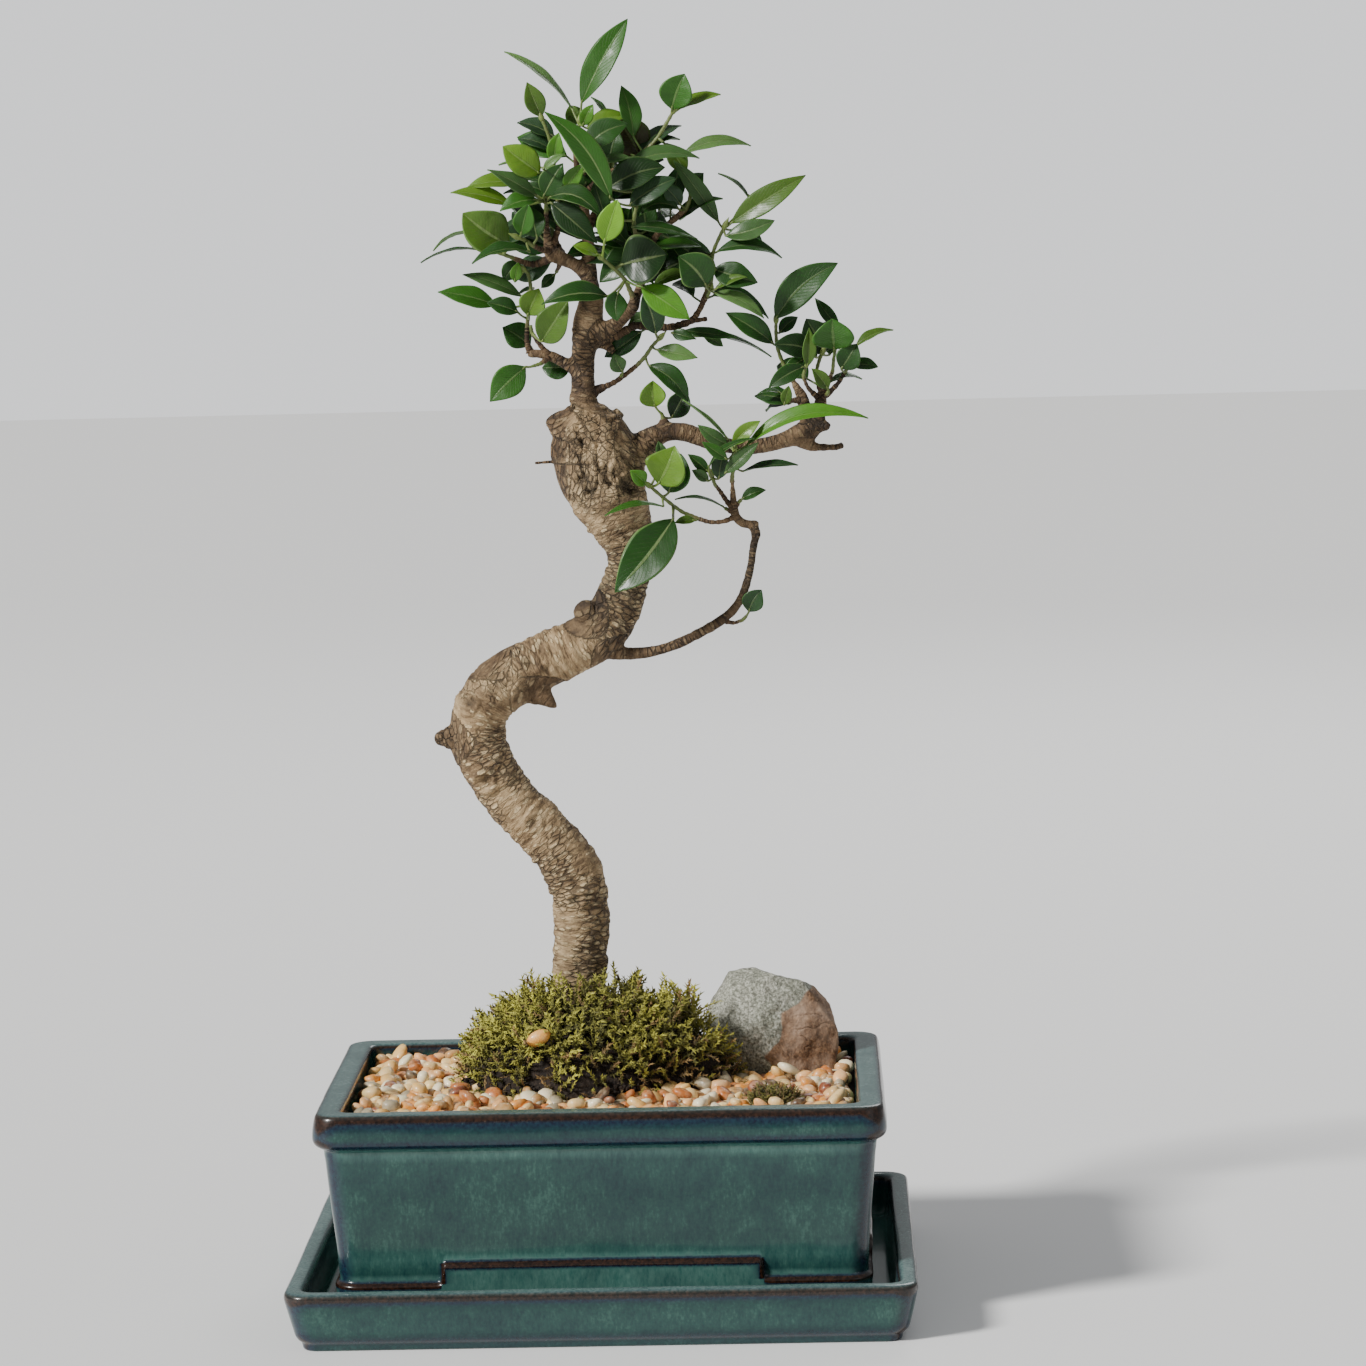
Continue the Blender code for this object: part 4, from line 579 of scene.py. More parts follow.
def denseProfile(stations, step, soften):
    # stations (inset, z, corner, edge, hollow, crest), filled in every step, then softened
    stations = np.asarray(stations, float)
    run = np.concatenate([[0], np.cumsum(np.linalg.norm(np.diff(stations[:, :2], axis=0), axis=1))])
    at = np.linspace(0, run[-1], int(run[-1] / step) + 1)
    dense = np.stack([np.interp(at, run, column) for column in stations.T], axis=1)
    shape = np.pad(dense, ((2, 2), (0, 0)), mode="edge")
    for _ in range(soften):
        shape[1:-1, :3] = (shape[:-2, :3] + 2 * shape[1:-1, :3] + shape[2:, :3]) / 4
    return shape[2:-2]


potShape = {"panelLength": 114.0, "panelWidth": 72.0, "plinthReach": 2.0, "lowPlinth": 18.6,
            "highPlinth": 26.1, "glazeStep": 0.62, "glazeSoftening": 3}


def makePot():
    low, high = (np.array(corner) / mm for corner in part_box("pot"))
    length, width, top = high[0] - low[0], high[1] - low[1], high[2]
    base = low[2]
    # inset from the widest outline, height, corner radius, edge, hollow and crest marks
    stations = [
        (9.6, base, 6, 0.5, 0, 0), (8.8, base + 0.8, 7, 0.35, 0, 0), (8.35, 14, 7.2, 0, 0.1, 0),
        (7.95, 18, 7.3, 0, 0.1, 0), (7.5, 24, 7.4, 0, 0.3, 0), (7.3, 27, 7.5, 0, 0.5, 0),
        (6.9, 33, 7.6, 0, 0.1, 0), (5.4, 50, 7.7, 0, 0.0, 0), (4.3, 63, 7.8, 0, 0.1, 0),
        (3.8, 66.2, 7.8, 0, 0.55, 0), (3.9, 67.6, 7.8, 0, 0.9, 0), (2.4, 68.4, 8.2, 0.1, 0.6, 0),
        (0.9, 69.4, 8.8, 0.5, 0.1, 0), (0.1, 71.0, 9, 0.45, 0, 0), (0, 73, 9, 0, 0, 0),
        (0.3, 76, 9, 0.34, 0, 0), (0.7, 78.2, 9, 0.66, 0, 0), (1.0, 79.6, 8.8, 1.0, 0, 0),
        (1.5, top - 0.2, 8.4, 1.0, 0, 0.1), (2.5, top, 7.8, 0.55, 0, 0.6),
        (3.8, top + 0.02, 7, 0.1, 0, 1), (9.0, top, 5.6, 0.05, 0, 1), (9.9, top - 0.3, 5.2, 0.6, 0, 0.5),
        (10.4, top - 1.0, 5, 0.95, 0, 0), (10.5, top - 2.4, 4.9, 0.4, 0, 0),
        (10.6, top - 6, 4.6, 0, 0.3, 0), (10.8, 62, 4.5, 0, 0.3, 0)]
    profile = denseProfile(stations, potShape["glazeStep"], potShape["glazeSoftening"])
    inset, height, corner, edge, hollow, crest = profile.T
    panelX = potShape["panelLength"] / (length - 30)
    panelY = potShape["panelWidth"] / (width - 30)
    x, y, side, turn = outlineGrid(length - 2 * inset, width - 2 * inset, corner, panelX, panelY)
    along = np.where(side == 1, x, y)
    half = np.where(side == 1, potShape["panelLength"], potShape["panelWidth"])[None] / 2
    inPanel = smoothStep(0.9, -0.9, np.abs(along) - half) * (side > 0)[None]
    ledge = potShape["lowPlinth"] + (potShape["highPlinth"] - potShape["lowPlinth"]) * inPanel
    z = np.broadcast_to(height[:, None], x.shape)
    outer = np.arange(len(height)) < np.argmax(height > 60)
    band = smoothStep(0.9, -0.7, z - ledge) * outer[:, None]
    points = np.stack([x, y, z], axis=-1).reshape(-1, 3)
    quads = gridQuads(*x.shape)
    out = normalsOf(points, quads).reshape(*x.shape, 3)
    out[..., 2] = 0
    out /= np.linalg.norm(out, axis=2)[..., None] + 1e-9
    points = (np.stack([x, y, z], axis=-1) + out * (band * potShape["plinthReach"])[..., None])
    ledgeEdge = np.exp(-((z - ledge + 0.6) / 1.5) ** 2) * outer[:, None]
    ledgeFoot = np.exp(-((z - ledge - 1.6) / 1.6) ** 2) * outer[:, None]
    sideEdge = np.exp(-((np.abs(along) - half + 0.3) / 1.1) ** 2) * (side > 0)[None]
    sideEdge = sideEdge * outer[:, None] * (z < ledge.max()) * (z > potShape["lowPlinth"])
    onBody = outer[:, None] | ((z < 80) & (inset[:, None] < 6))
    edge = np.maximum(edge[:, None] + 0.58 * turn[None] * onBody,
                      np.maximum(ledgeEdge, sideEdge) * 1.05)
    hollow = np.maximum(np.broadcast_to(hollow[:, None], x.shape), ledgeFoot * 0.9)
    # painted light: the low band below the plinth ledge counts as hollow too, so it is painted paler to
    # lift the shade there
    hollow = np.maximum(hollow, band * 0.75)
    marks = np.stack([edge, hollow, np.broadcast_to(crest[:, None], x.shape)], axis=-1)
    flat = points.reshape(-1, 3)
    wobble = layeredNoise(flat, 24, 2, 4) * 0.22
    flat = flat + out.reshape(-1, 3) * wobble[:, None] * (flat[:, 2:] > base + 3)
    rows, columns = x.shape
    piece = makePiece("glazedPot", flat, quads, glaze, capLoops(rows, columns),
                      np.clip(marks.reshape(-1, 3), 0, 1))
    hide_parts("pot")
    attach(piece, "root")
    print("pot made")


def makeTray():
    low, high = (np.array(corner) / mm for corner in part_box("drip_tray"))
    length, width, top = high[0] - low[0], high[1] - low[1], high[2]
    stations = [
        (6.6, 0.0, 5, 0.1, 0, 0), (5.9, 0.3, 5.6, 0.2, 0, 0), (5.8, 2.6, 6, 0.3, 0.1, 0),
        (4.4, 3.4, 7, 0.5, 0, 0), (3.3, 5.2, 7.6, 0.25, 0, 0), (2.6, 8, 8, 0.02, 0.15, 0),
        (1.2, 14, 8.6, 0, 0.1, 0), (0.5, 17, 8.8, 0.2, 0, 0), (0.1, 19, 9, 0.75, 0, 0),
        (0.15, 20.6, 8.9, 1.0, 0, 0.1), (1.0, top - 0.1, 8.4, 0.6, 0, 0.5),
        (2.0, top, 7.6, 0.1, 0, 1), (5.4, top, 5.8, 0.1, 0, 1), (6.4, top - 0.4, 5.4, 0.6, 0, 0.4),
        (7.0, top - 1.6, 5.0, 0.85, 0, 0), (7.4, top - 5, 4.8, 0.1, 0.1, 0),
        (8.0, 9.6, 4.6, 0, 0.5, 0), (8.6, 6.8, 4.2, 0, 0.9, 0), (10.4, 6.02, 3.4, 0, 0.8, 0),
        (14, 6.0, 3, 0, 0.5, 0)]
    profile = denseProfile(stations, potShape["glazeStep"], potShape["glazeSoftening"])
    inset, height, corner, edge, hollow, crest = profile.T
    x, y, _, turn = outlineGrid(length - 2 * inset, width - 2 * inset, corner, 0.5, 0.5)
    z = np.broadcast_to(height[:, None], x.shape)
    points = np.stack([x, y, z], axis=-1).reshape(-1, 3)
    quads = gridQuads(*x.shape)
    outside = (np.arange(len(height)) < np.argmax(height > 20.5))[:, None]
    shade = np.stack([np.broadcast_to(edge[:, None], x.shape) + 0.5 * turn[None] * outside,
                      np.broadcast_to(hollow[:, None], x.shape),
                      np.broadcast_to(crest[:, None], x.shape)], axis=-1).reshape(-1, 3)
    out = normalsOf(points, quads)
    lift = layeredNoise(points, 26, 2, 9) * 0.2
    points = points + out * lift[:, None] * smoothStep(4, 8, points[:, 2:])
    rows, columns = x.shape
    piece = makePiece("glazedTray", points, quads, glaze, capLoops(rows, columns),
                      np.clip(shade, 0, 1))
    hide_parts("drip_tray")
    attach(piece, "root")
    print("tray made")


makePot()
makeTray()

# gravel, moss and stones

def ballShape(steps):
    # an even ball of radius 1, in triangles
    shape = bmesh.new()
    bmesh.ops.create_icosphere(shape, subdivisions=steps, radius=1.0)
    points = np.array([vertex.co[:] for vertex in shape.verts])
    faces = np.array([[vertex.index for vertex in face.verts] for face in shape.faces])
    shape.free()
    return points, faces


def randomTurns(generator, count):
    # count random rotation matrices
    quaternion = generator.normal(size=(count, 4))
    quaternion /= np.linalg.norm(quaternion, axis=1)[:, None]
    w, x, y, z = quaternion.T
    rows = [[1 - 2 * (y * y + z * z), 2 * (x * y - z * w), 2 * (x * z + y * w)],
            [2 * (x * y + z * w), 1 - 2 * (x * x + z * z), 2 * (y * z - x * w)],
            [2 * (x * z - y * w), 2 * (y * z + x * w), 1 - 2 * (x * x + y * y)]]
    return np.array(rows).transpose(2, 0, 1)


moss = {"centre": (-8.0, 9.0), "reach": (46.0, 36.0), "crown": 112.0, "edge": 83.2,
        "fronds": 1750, "tuftFronds": 240, "trunkFoot": (-9.5, 16), "trunkClearing": 12,
        "stoneSpot": (-22.8, -23), "stoneClearing": 4.6}


def moundReach(angle):
    # how far the mound reaches at an angle, as a share of its reach
    wave = 0.05 * np.sin(3 * angle + 0.6) + 0.04 * np.sin(5 * angle + 2.1)
    return 1 + wave + 0.14 * np.maximum(0, np.cos(angle + 0.15)) ** 6


def moundShare(x, y):
    # 0 at the mound's middle and 1 at its rim
    across = (x - moss["centre"][0]) / moss["reach"][0]
    deep = (y - moss["centre"][1]) / moss["reach"][1]
    return np.hypot(across, deep) / moundReach(np.arctan2(deep, across))


def moundHeight(share):
    return moss["crown"] + (moss["edge"] - moss["crown"]) * (0.85 * share ** 3 + 0.15 * share)


gravel = {"spacing": 5.6, "length": 184.0, "width": 123.0, "layers": (72.9, 75.5), "loose": 190,
          "rockPlace": (64.0, 34.0), "tuftPlace": (62.0, -38.0)}


def makeGravel():
    generator = np.random.default_rng(11)
    places = []
    for layer, height in enumerate(gravel["layers"]):
        step = gravel["spacing"]
        columns = np.arange(-gravel["length"] / 2 + 3.2, gravel["length"] / 2 - 3, step)
        rows = np.arange(-gravel["width"] / 2 + 3.2, gravel["width"] / 2 - 3, step * 0.88)
        x, y = np.meshgrid(columns, rows)
        x = x + (np.arange(len(rows)) % 2)[:, None] * step / 2
        spot = np.stack([x.ravel(), y.ravel(), np.full(x.size, height)], axis=1)
        spot[:, :2] += generator.uniform(-1.2, 1.2, (len(spot), 2)) + layer * 1.7
        spot[:, 2] += generator.uniform(-0.9, 0.9, len(spot))
        places.append(spot)
    loose = np.stack([generator.uniform(-87, 87, gravel["loose"]),
                      generator.uniform(-57, 57, gravel["loose"]),
                      generator.uniform(77.2, 78.6, gravel["loose"])], axis=1)
    places = np.vstack([*places, loose])
    x, y = places[:, 0], places[:, 1]
    inRock = ((np.abs(x - gravel["rockPlace"][0]) / 24.5) ** 3
              + (np.abs(y - gravel["rockPlace"][1]) / 17) ** 3 < 0.9)
    inTuft = np.hypot((x - gravel["tuftPlace"][0]) / 8, (y - gravel["tuftPlace"][1]) / 5.6) < 0.8
    inside = (np.abs(x) < gravel["length"] / 2 - 2.8) & (np.abs(y) < gravel["width"] / 2 - 2.8)
    places = places[inside & (moundShare(x, y) > 0.955) & ~inRock & ~inTuft]
    count = len(places)
    ball, faces = ballShape(2)
    size = np.stack([generator.uniform(2.5, 4.1, count), generator.uniform(2.2, 3.3, count),
                     generator.uniform(1.7, 2.5, count)], axis=1)
    size *= generator.choice([0.78, 1.0, 1.12], count, p=[0.25, 0.55, 0.2])[:, None]
    turns = randomTurns(generator, count)
    flatten = generator.uniform(0.0, 1.0, count) < 0.75
    spin = generator.uniform(0, 2 * np.pi, count)
    level = np.zeros((count, 3, 3))
    level[:, 0, 0], level[:, 0, 1] = np.cos(spin), -np.sin(spin)
    level[:, 1, 0], level[:, 1, 1] = np.sin(spin), np.cos(spin)
    level[:, 2, 2] = 1
    lean = generator.normal(0, 0.25, (count, 2))
    level[:, 2, 0], level[:, 2, 1] = lean[:, 0], lean[:, 1]
    turns = np.where(flatten[:, None, None], level, turns)
    box = np.sign(ball) * np.abs(ball) ** 0.82
    shapes = box[None] * size[:, None]
    shift = np.repeat(generator.uniform(0, 400, (count, 3)), len(ball), axis=0)
    bumps = softNoise((ball[None] * 2.2 + shift.reshape(count, -1, 3)).reshape(-1, 3), 1.6, 3)
    shapes = shapes * (1 + 0.13 * bumps.reshape(count, -1, 1))
    points = np.einsum("nij,nkj->nki", turns, shapes) + places[:, None]
    tones = np.array([(0.92, 0.64, 0.27), (0.95, 0.83, 0.56), (0.88, 0.46, 0.17), (0.52, 0.28, 0.09),
                      (0.80, 0.30, 0.03), (0.46, 0.13, 0.015), (0.26, 0.06, 0.02),
                      (0.33, 0.28, 0.18), (0.09, 0.045, 0.02), (0.80, 0.48, 0.14)])
    pick = generator.choice(len(tones), count,
                            p=[0.19, 0.12, 0.14, 0.13, 0.10, 0.07, 0.06, 0.06, 0.03, 0.10])
    marks = np.repeat(tones[pick] * generator.uniform(0.8, 1.15, (count, 1)), len(ball), axis=0)
    stacked = faces[None] + (np.arange(count) * len(ball))[:, None, None]
    piece = makePiece("gravelStones", points.reshape(-1, 3), stacked.reshape(-1, 3), gravelStone,
                      marks=np.clip(marks, 0, 1))
    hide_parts("gravel_bed")
    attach(piece, "root")
    print("gravel:", count, "stones")


def frondShape():
    # one moss sprig one millimetre tall, pointing up: a thin stalk clothed in short leaflets
    heights = np.array([0.0, 0.35, 0.7, 1.0])
    radii = np.array([0.028, 0.030, 0.022, 0.005])
    angle = np.arange(3) * 2 * np.pi / 3
    ring = np.stack([np.cos(angle), np.sin(angle)], axis=1)
    stalk = np.concatenate([np.column_stack([ring * radius, np.full(3, height)])
                            for radius, height in zip(radii, heights)])
    faces = [[row * 3 + side, row * 3 + (side + 1) % 3, row * 3 + 3 + (side + 1) % 3]
             for row in range(3) for side in range(3)]
    faces += [[row * 3 + side, row * 3 + 3 + (side + 1) % 3, row * 3 + 3 + side]
              for row in range(3) for side in range(3)]
    faces += [[2, 1, 0], [9, 10, 11]]
    points = list(stalk)
    for leaflet in range(19):
        turn = leaflet * 2.399
        share = leaflet / 18
        height = 0.14 + 0.78 * share
        reach = 0.15 * (1 - 0.45 * share) * (0.6 + 0.4 * min(1, share * 4))
        out = np.array([np.cos(turn), np.sin(turn), 0.0])
        wide = np.array([-np.sin(turn), np.cos(turn), 0.0])
        foot = np.array([0, 0, height])
        first = len(points)
        points += [foot + wide * 0.034, foot - wide * 0.034, foot + out * 0.012 + [0, 0, 0.045],
                   foot + out * reach + [0, 0, 0.085]]
        faces += [[first, first + 1, first + 3], [first + 1, first + 2, first + 3],
                  [first + 2, first, first + 3], [first, first + 2, first + 1]]
    return np.array(points), np.array(faces)


def plantFronds(name, places, outward, lengths, tones, widths, generator):
    # a sprig at each place, leaning along its outward direction, with painted shade darkening it towards
    # its foot
    sprig, faces = frondShape()
    count = len(places)
    outward = outward / np.linalg.norm(outward, axis=1)[:, None]
    helper = np.where(np.abs(outward[:, 2:]) > 0.9, (1.0, 0.0, 0.0), (0.0, 0.0, 1.0))
    side = np.cross(outward, helper)
    side /= np.linalg.norm(side, axis=1)[:, None]
    other = np.cross(outward, side)
    spin = generator.uniform(0, 2 * np.pi, count)[:, None]
    first = side * np.cos(spin) + other * np.sin(spin)
    second = other * np.cos(spin) - side * np.sin(spin)
    bend = generator.uniform(0.05, 0.60, count)[:, None]
    x = sprig[None, :, 0] * widths[:, None] + bend * sprig[None, :, 2] ** 2
    y = sprig[None, :, 1] * widths[:, None]
    z = sprig[None, :, 2] - 0.25 * bend * sprig[None, :, 2] ** 2
    local = (first[:, None] * x[..., None] + second[:, None] * y[..., None]
             + outward[:, None] * z[..., None])
    points = places[:, None] + local * lengths[:, None, None]
    # painted shade: each sprig fades nearly to black at its foot, as deep in the moss
    footShade = (0.06 + 0.94 * np.clip(sprig[:, 2], 0, 1) ** 2.0)[None, :, None]
    marks = np.clip(tones[:, None] * footShade, 0, 1).reshape(-1, 3)
    stacked = faces[None] + (np.arange(count) * len(sprig))[:, None, None]
    piece = makePiece(name, points.reshape(-1, 3), stacked.reshape(-1, 3), mossGreen, marks=marks,
                      smooth=False)
    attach(piece, "root")
    return piece


def makeMossCushion():
    # the dark carpet that the sprigs stand on
    centre = moss["centre"]
    share = np.concatenate([np.linspace(0.02, 1.0, 44), [1.0, 0.99, 0.97]])
    angle = np.linspace(0, 2 * np.pi, 150, endpoint=False)
    reach = moundReach(angle)[None] * share[:, None]
    x = centre[0] + (moss["reach"][0] - 1.5) * reach * np.cos(angle)
    y = centre[1] + (moss["reach"][1] - 1.5) * reach * np.sin(angle)
    z = np.broadcast_to(moundHeight(share)[:, None], x.shape) - 4.5
    z = z - 4.0 * (np.sin(np.pi * np.clip(share, 0, 1)) ** 1.5)[:, None]
    z = z - 3.5 * smoothStep(0.85, 1.0, share)[:, None]
    z[-3:] = z[-3:] + np.array([-1.0, -4.0, -6.5])[:, None]
    points = np.stack([x, y, z], axis=-1).reshape(-1, 3)[::-1]
    quads = gridQuads(*x.shape)
    out = normalsOf(points, quads)
    if out[len(out) // 2, 2] < 0:
        quads = quads[:, ::-1]
        out = -out
    points = points + out * layeredNoise(points, 9, 3, 6)[:, None] * 1.1
    rows, columns = x.shape
    loops = capLoops(rows, columns)
    tone = layeredNoise(points, 10, 3, 8)[:, None] * 0.3 + 0.5
    dark, light = np.array((0.012, 0.012, 0.004)), np.array((0.040, 0.030, 0.010))
    marks = np.clip(dark * (1 - tone) + light * tone, 0, 1)
    piece = makePiece("mossCushion", points, quads, mossGreen, loops, marks)
    fixFacing(piece)
    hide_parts("moss_mound")
    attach(piece, "root")


def plantMound(generator):
    # sprigs over the mound, kept off the trunk and the stone that lies on it
    centre = moss["centre"]
    count = moss["fronds"]
    share = np.sqrt(generator.uniform(0.01, 1.0, count))
    angle = generator.uniform(0, 2 * np.pi, count)
    reach = moundReach(angle) * share
    x = centre[0] + (moss["reach"][0] - 1.2) * reach * np.cos(angle)
    y = centre[1] + (moss["reach"][1] - 1.2) * reach * np.sin(angle)
    z = moundHeight(share) - 5.5 - 4.0 * np.sin(np.pi * share) ** 1.5
    z = z - 3.5 * smoothStep(0.85, 1.0, share)
    places = np.stack([x, y, z], axis=1)
    slope = 3 * 0.85 * share ** 2 + 0.15
    outward = np.stack([np.cos(angle) * slope * 0.75, np.sin(angle) * slope * 0.95,
                        np.full(count, 1.0)], axis=1)
    outward += generator.normal(0, 0.46, outward.shape)
    tall = np.hypot(x - 24, y - 4) < 7
    outward = np.where(tall[:, None], (0.25, -0.1, 1.2), outward)
    lengths = generator.uniform(8.5, 16.0, count) * (1 - 0.30 * smoothStep(0.75, 1.0, share))
    fromTrunk = np.hypot(x - moss["trunkFoot"][0], y - moss["trunkFoot"][1])
    fromStone = np.hypot(x - moss["stoneSpot"][0], (y - moss["stoneSpot"][1]) * 0.7)
    nearTrunk = fromTrunk < 20
    lengths = np.where(tall, lengths * 1.45, np.where(nearTrunk, lengths * 1.2, lengths))
    clear = (fromTrunk > moss["trunkClearing"]) & (fromStone > moss["stoneClearing"])
    bright = np.clip(layeredNoise(places, 12, 3, 31) * 0.45 + 0.5 + generator.normal(0, 0.2, count),
                     0, 1)[:, None]
    tones = np.array((0.150, 0.150, 0.020)) * (1 - bright) + np.array((0.70, 0.68, 0.090)) * bright
    dry = (generator.uniform(0, 1, count) < 0.10 + 0.35 * smoothStep(0.8, 1.0, share))[:, None]
    tones = np.where(dry, np.array((0.36, 0.22, 0.08)) * (0.6 + 0.6 * bright), tones)
    plantFronds("mossFronds", places[clear], outward[clear], lengths[clear], tones[clear],
                generator.uniform(0.8, 1.3, count)[clear], generator)


def plantTuft(generator):
    # the small separate cushion on the gravel
    count = moss["tuftFronds"]
    angle = generator.uniform(0, 2 * np.pi, count)
    share = np.sqrt(generator.uniform(0, 1, count))
    x = gravel["tuftPlace"][0] + 7.0 * share * np.cos(angle)
    y = gravel["tuftPlace"][1] + 4.6 * share * np.sin(angle)
    places = np.stack([x, y, 77.5 - 3.0 * share ** 2], axis=1)
    outward = np.stack([np.cos(angle) * share * 0.9, np.sin(angle) * share * 0.9,
                        np.ones(count)], axis=1) + generator.normal(0, 0.25, (count, 3))
    tones = np.array((0.10, 0.10, 0.02)) + generator.uniform(0, 1, (count, 1)) * (0.16, 0.15, 0.02)
    dry = generator.uniform(0, 1, (count, 1)) < 0.3
    tones = np.where(dry, (0.20, 0.13, 0.05), tones)
    clump = plantFronds("mossClump", places, outward, generator.uniform(4.5, 8.0, count), tones,
                        generator.uniform(0.8, 1.3, count), generator)
    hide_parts("moss_tuft")


def makeMoss():
    generator = np.random.default_rng(23)
    makeMossCushion()
    plantMound(generator)
    plantTuft(generator)
    print("moss made")


def fixFacing(piece):
    # turns every closed shell's faces outwards
    shape = bmesh.new()
    shape.from_mesh(piece.data)
    bmesh.ops.recalc_face_normals(shape, faces=shape.faces)
    shape.to_mesh(piece.data)
    shape.free()


rockCorners = (         # shares of the stone's size, from the middle of its foot
    (-0.36, -0.20, 0.00), (0.10, -0.44, 0.00), (0.44, -0.24, 0.00), (0.46, 0.14, 0.00),
    (0.30, 0.44, 0.00), (-0.20, 0.46, 0.00), (-0.42, 0.10, 0.00), (-0.48, 0.00, 0.30),
    (-0.44, -0.28, 0.36), (-0.30, -0.40, 0.32), (0.00, -0.50, 0.30), (0.20, -0.48, 0.15),
    (0.46, -0.28, 0.12), (0.50, 0.10, 0.30), (0.48, -0.20, 0.45), (0.43, 0.25, 0.60),
    (0.43, -0.10, 0.64), (0.34, 0.00, 0.79), (0.22, -0.12, 0.90), (0.22, 0.20, 0.88),
    (-0.02, -0.12, 1.00), (-0.02, 0.20, 0.97), (-0.30, 0.20, 0.93), (-0.36, -0.02, 0.96),
    (-0.30, -0.14, 0.90), (-0.44, -0.18, 0.75), (-0.50, 0.00, 0.67), (-0.10, -0.44, 0.60),
    (-0.40, 0.30, 0.50), (0.00, 0.50, 0.35), (0.35, 0.42, 0.30),
)
# the way that each broad broken face looks
rockCuts = ((-0.72, -0.62, 0.30), (0.42, -0.88, 0.22), (-0.12, -0.42, 0.90), (0.78, -0.25, 0.57),
            (-0.85, -0.10, 0.52), (0.30, 0.15, 0.94), (-0.35, 0.80, 0.48), (0.50, 0.80, 0.30),
            (-0.70, -0.50, -0.50))
rock = {"cut": 0.90, "size": (51.0, 35.0, 44.0), "place": (61.5, 34.0, 69.6),
        "sharpness": 160, "roughness": 1.0}


def makeRock():
    # a ball pushed out to the planes of its broken faces, then roughened
    shape = bmesh.new()
    size = np.array(rock["size"])
    for corner in rockCorners:
        shape.verts.new(Vector(np.array(corner) * size))
    hull = bmesh.ops.convex_hull(shape, input=shape.verts)
    middle = np.array((0, 0, 0.45)) * size
    planes = []
    for face in hull["geom"]:
        if isinstance(face, bmesh.types.BMFace):
            face.normal_update()
            normal = np.array(face.normal[:])
            depth = normal.dot(np.array(face.calc_center_median()[:]) - middle)
            planes.append((*(normal * np.sign(depth)), abs(depth)))
    shape.free()
    corners = np.array(rockCorners) * size - middle
    for normal in rockCuts:
        normal = unit(np.array(normal))
        planes.append((*normal, (corners @ normal).max() * rock["cut"]))
    planes = np.array(planes)
    ball, faces = ballShape(7)
    share = np.maximum(ball @ planes[:, :3].T / planes[:, 3], 0)
    top = share.max(axis=1)
    soft = top * ((share / top[:, None]) ** rock["sharpness"]).sum(axis=1) ** (1 / rock["sharpness"])
    points = ball / soft[:, None] + middle + np.array(rock["place"])
    broad = layeredNoise(points, 15, 2, 41)
    pits = layeredNoise(points, 3.6, 3, 52)
    cut = layeredNoise(points * (1, 1, 2.4), 9, 3, 63)
    depth = broad * 0.8 + pits * 0.36 - 0.5 * np.exp(-(cut / 0.07) ** 2) * smoothStep(0.0, 0.6, broad)
    points = points + ball * depth[:, None] * rock["roughness"]
    local = (points - np.array(rock["place"])) / size
    border = np.interp(local[:, 2], (0, 0.29, 0.63, 0.78, 0.92), (0.10, -0.01, 0.08, 0.25, 0.46))
    slant = local[:, 0] - border + 0.045 * layeredNoise(points, 9, 3, 44)
    brown = smoothStep(-0.045, 0.045, slant)
    brown = np.maximum(brown, smoothStep(0.18, 0.05, local[:, 2]) * 0.45)
    marks = np.clip(np.stack([brown * 0.62 + 0.2, cut * 0.5 + 0.5, pits * 0.5 + 0.5], axis=1), 0, 1)
    piece = makePiece("cragStone", points, faces, rockStone, marks=marks)
    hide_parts("feature_rock")
    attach(piece, "root")
    print("rock made")


def makeAmberStone():
    # the pebble on the moss, tilted a little
    ball, faces = ballShape(5)
    low, high = (np.array(corner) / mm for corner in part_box("pebble_on_moss"))
    bumps = softNoise(ball * 2, 1.7, 5)[:, None]
    shaped = ball * (high - low) / 2 * (1.12, 1.0, 0.86) * (1 + 0.06 * bumps)
    lean = Matrix.Rotation(math.radians(-24), 3, "Y")
    points = (low + high) / 2 + (-0.6, -2.2, 1.6) + shaped @ np.array(lean).T
    tone = np.broadcast_to((0.80, 0.38, 0.07), points.shape)
    piece = makePiece("amberStone", points, faces, gravelStone, marks=tone)
    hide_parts("pebble_on_moss")
    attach(piece, "root")


def makeCrumbs():
    # soil crumbs showing round the mound's foot
    generator = np.random.default_rng(5)
    count = 420
    angle = generator.uniform(0, 2 * np.pi, count)
    share = generator.uniform(0.93, 1.04, count)
    reach = moundReach(angle) * share
    places = np.stack([moss["centre"][0] + moss["reach"][0] * reach * np.cos(angle),
                       moss["centre"][1] + moss["reach"][1] * reach * np.sin(angle),
                       generator.uniform(75.0, 81.0, count)], axis=1)
    keep = np.abs(places[:, 0]) < 88
    places = places[keep]
    count = len(places)
    ball, faces = ballShape(1)
    turns = randomTurns(generator, count)
    size = generator.uniform(0.5, 1.7, (count, 3))
    shapes = ball[None] * size[:, None] * generator.uniform(0.75, 1.2, (count, len(ball), 1))
    points = np.einsum("nij,nkj->nki", turns, shapes) + places[:, None]
    stacked = faces[None] + (np.arange(count) * len(ball))[:, None, None]
    piece = makePiece("soilCrumbs", points.reshape(-1, 3), stacked.reshape(-1, 3), soilDark,
                      smooth=False)
    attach(piece, "root")


makeGravel()
makeMoss()
makeRock()
makeAmberStone()
makeCrumbs()


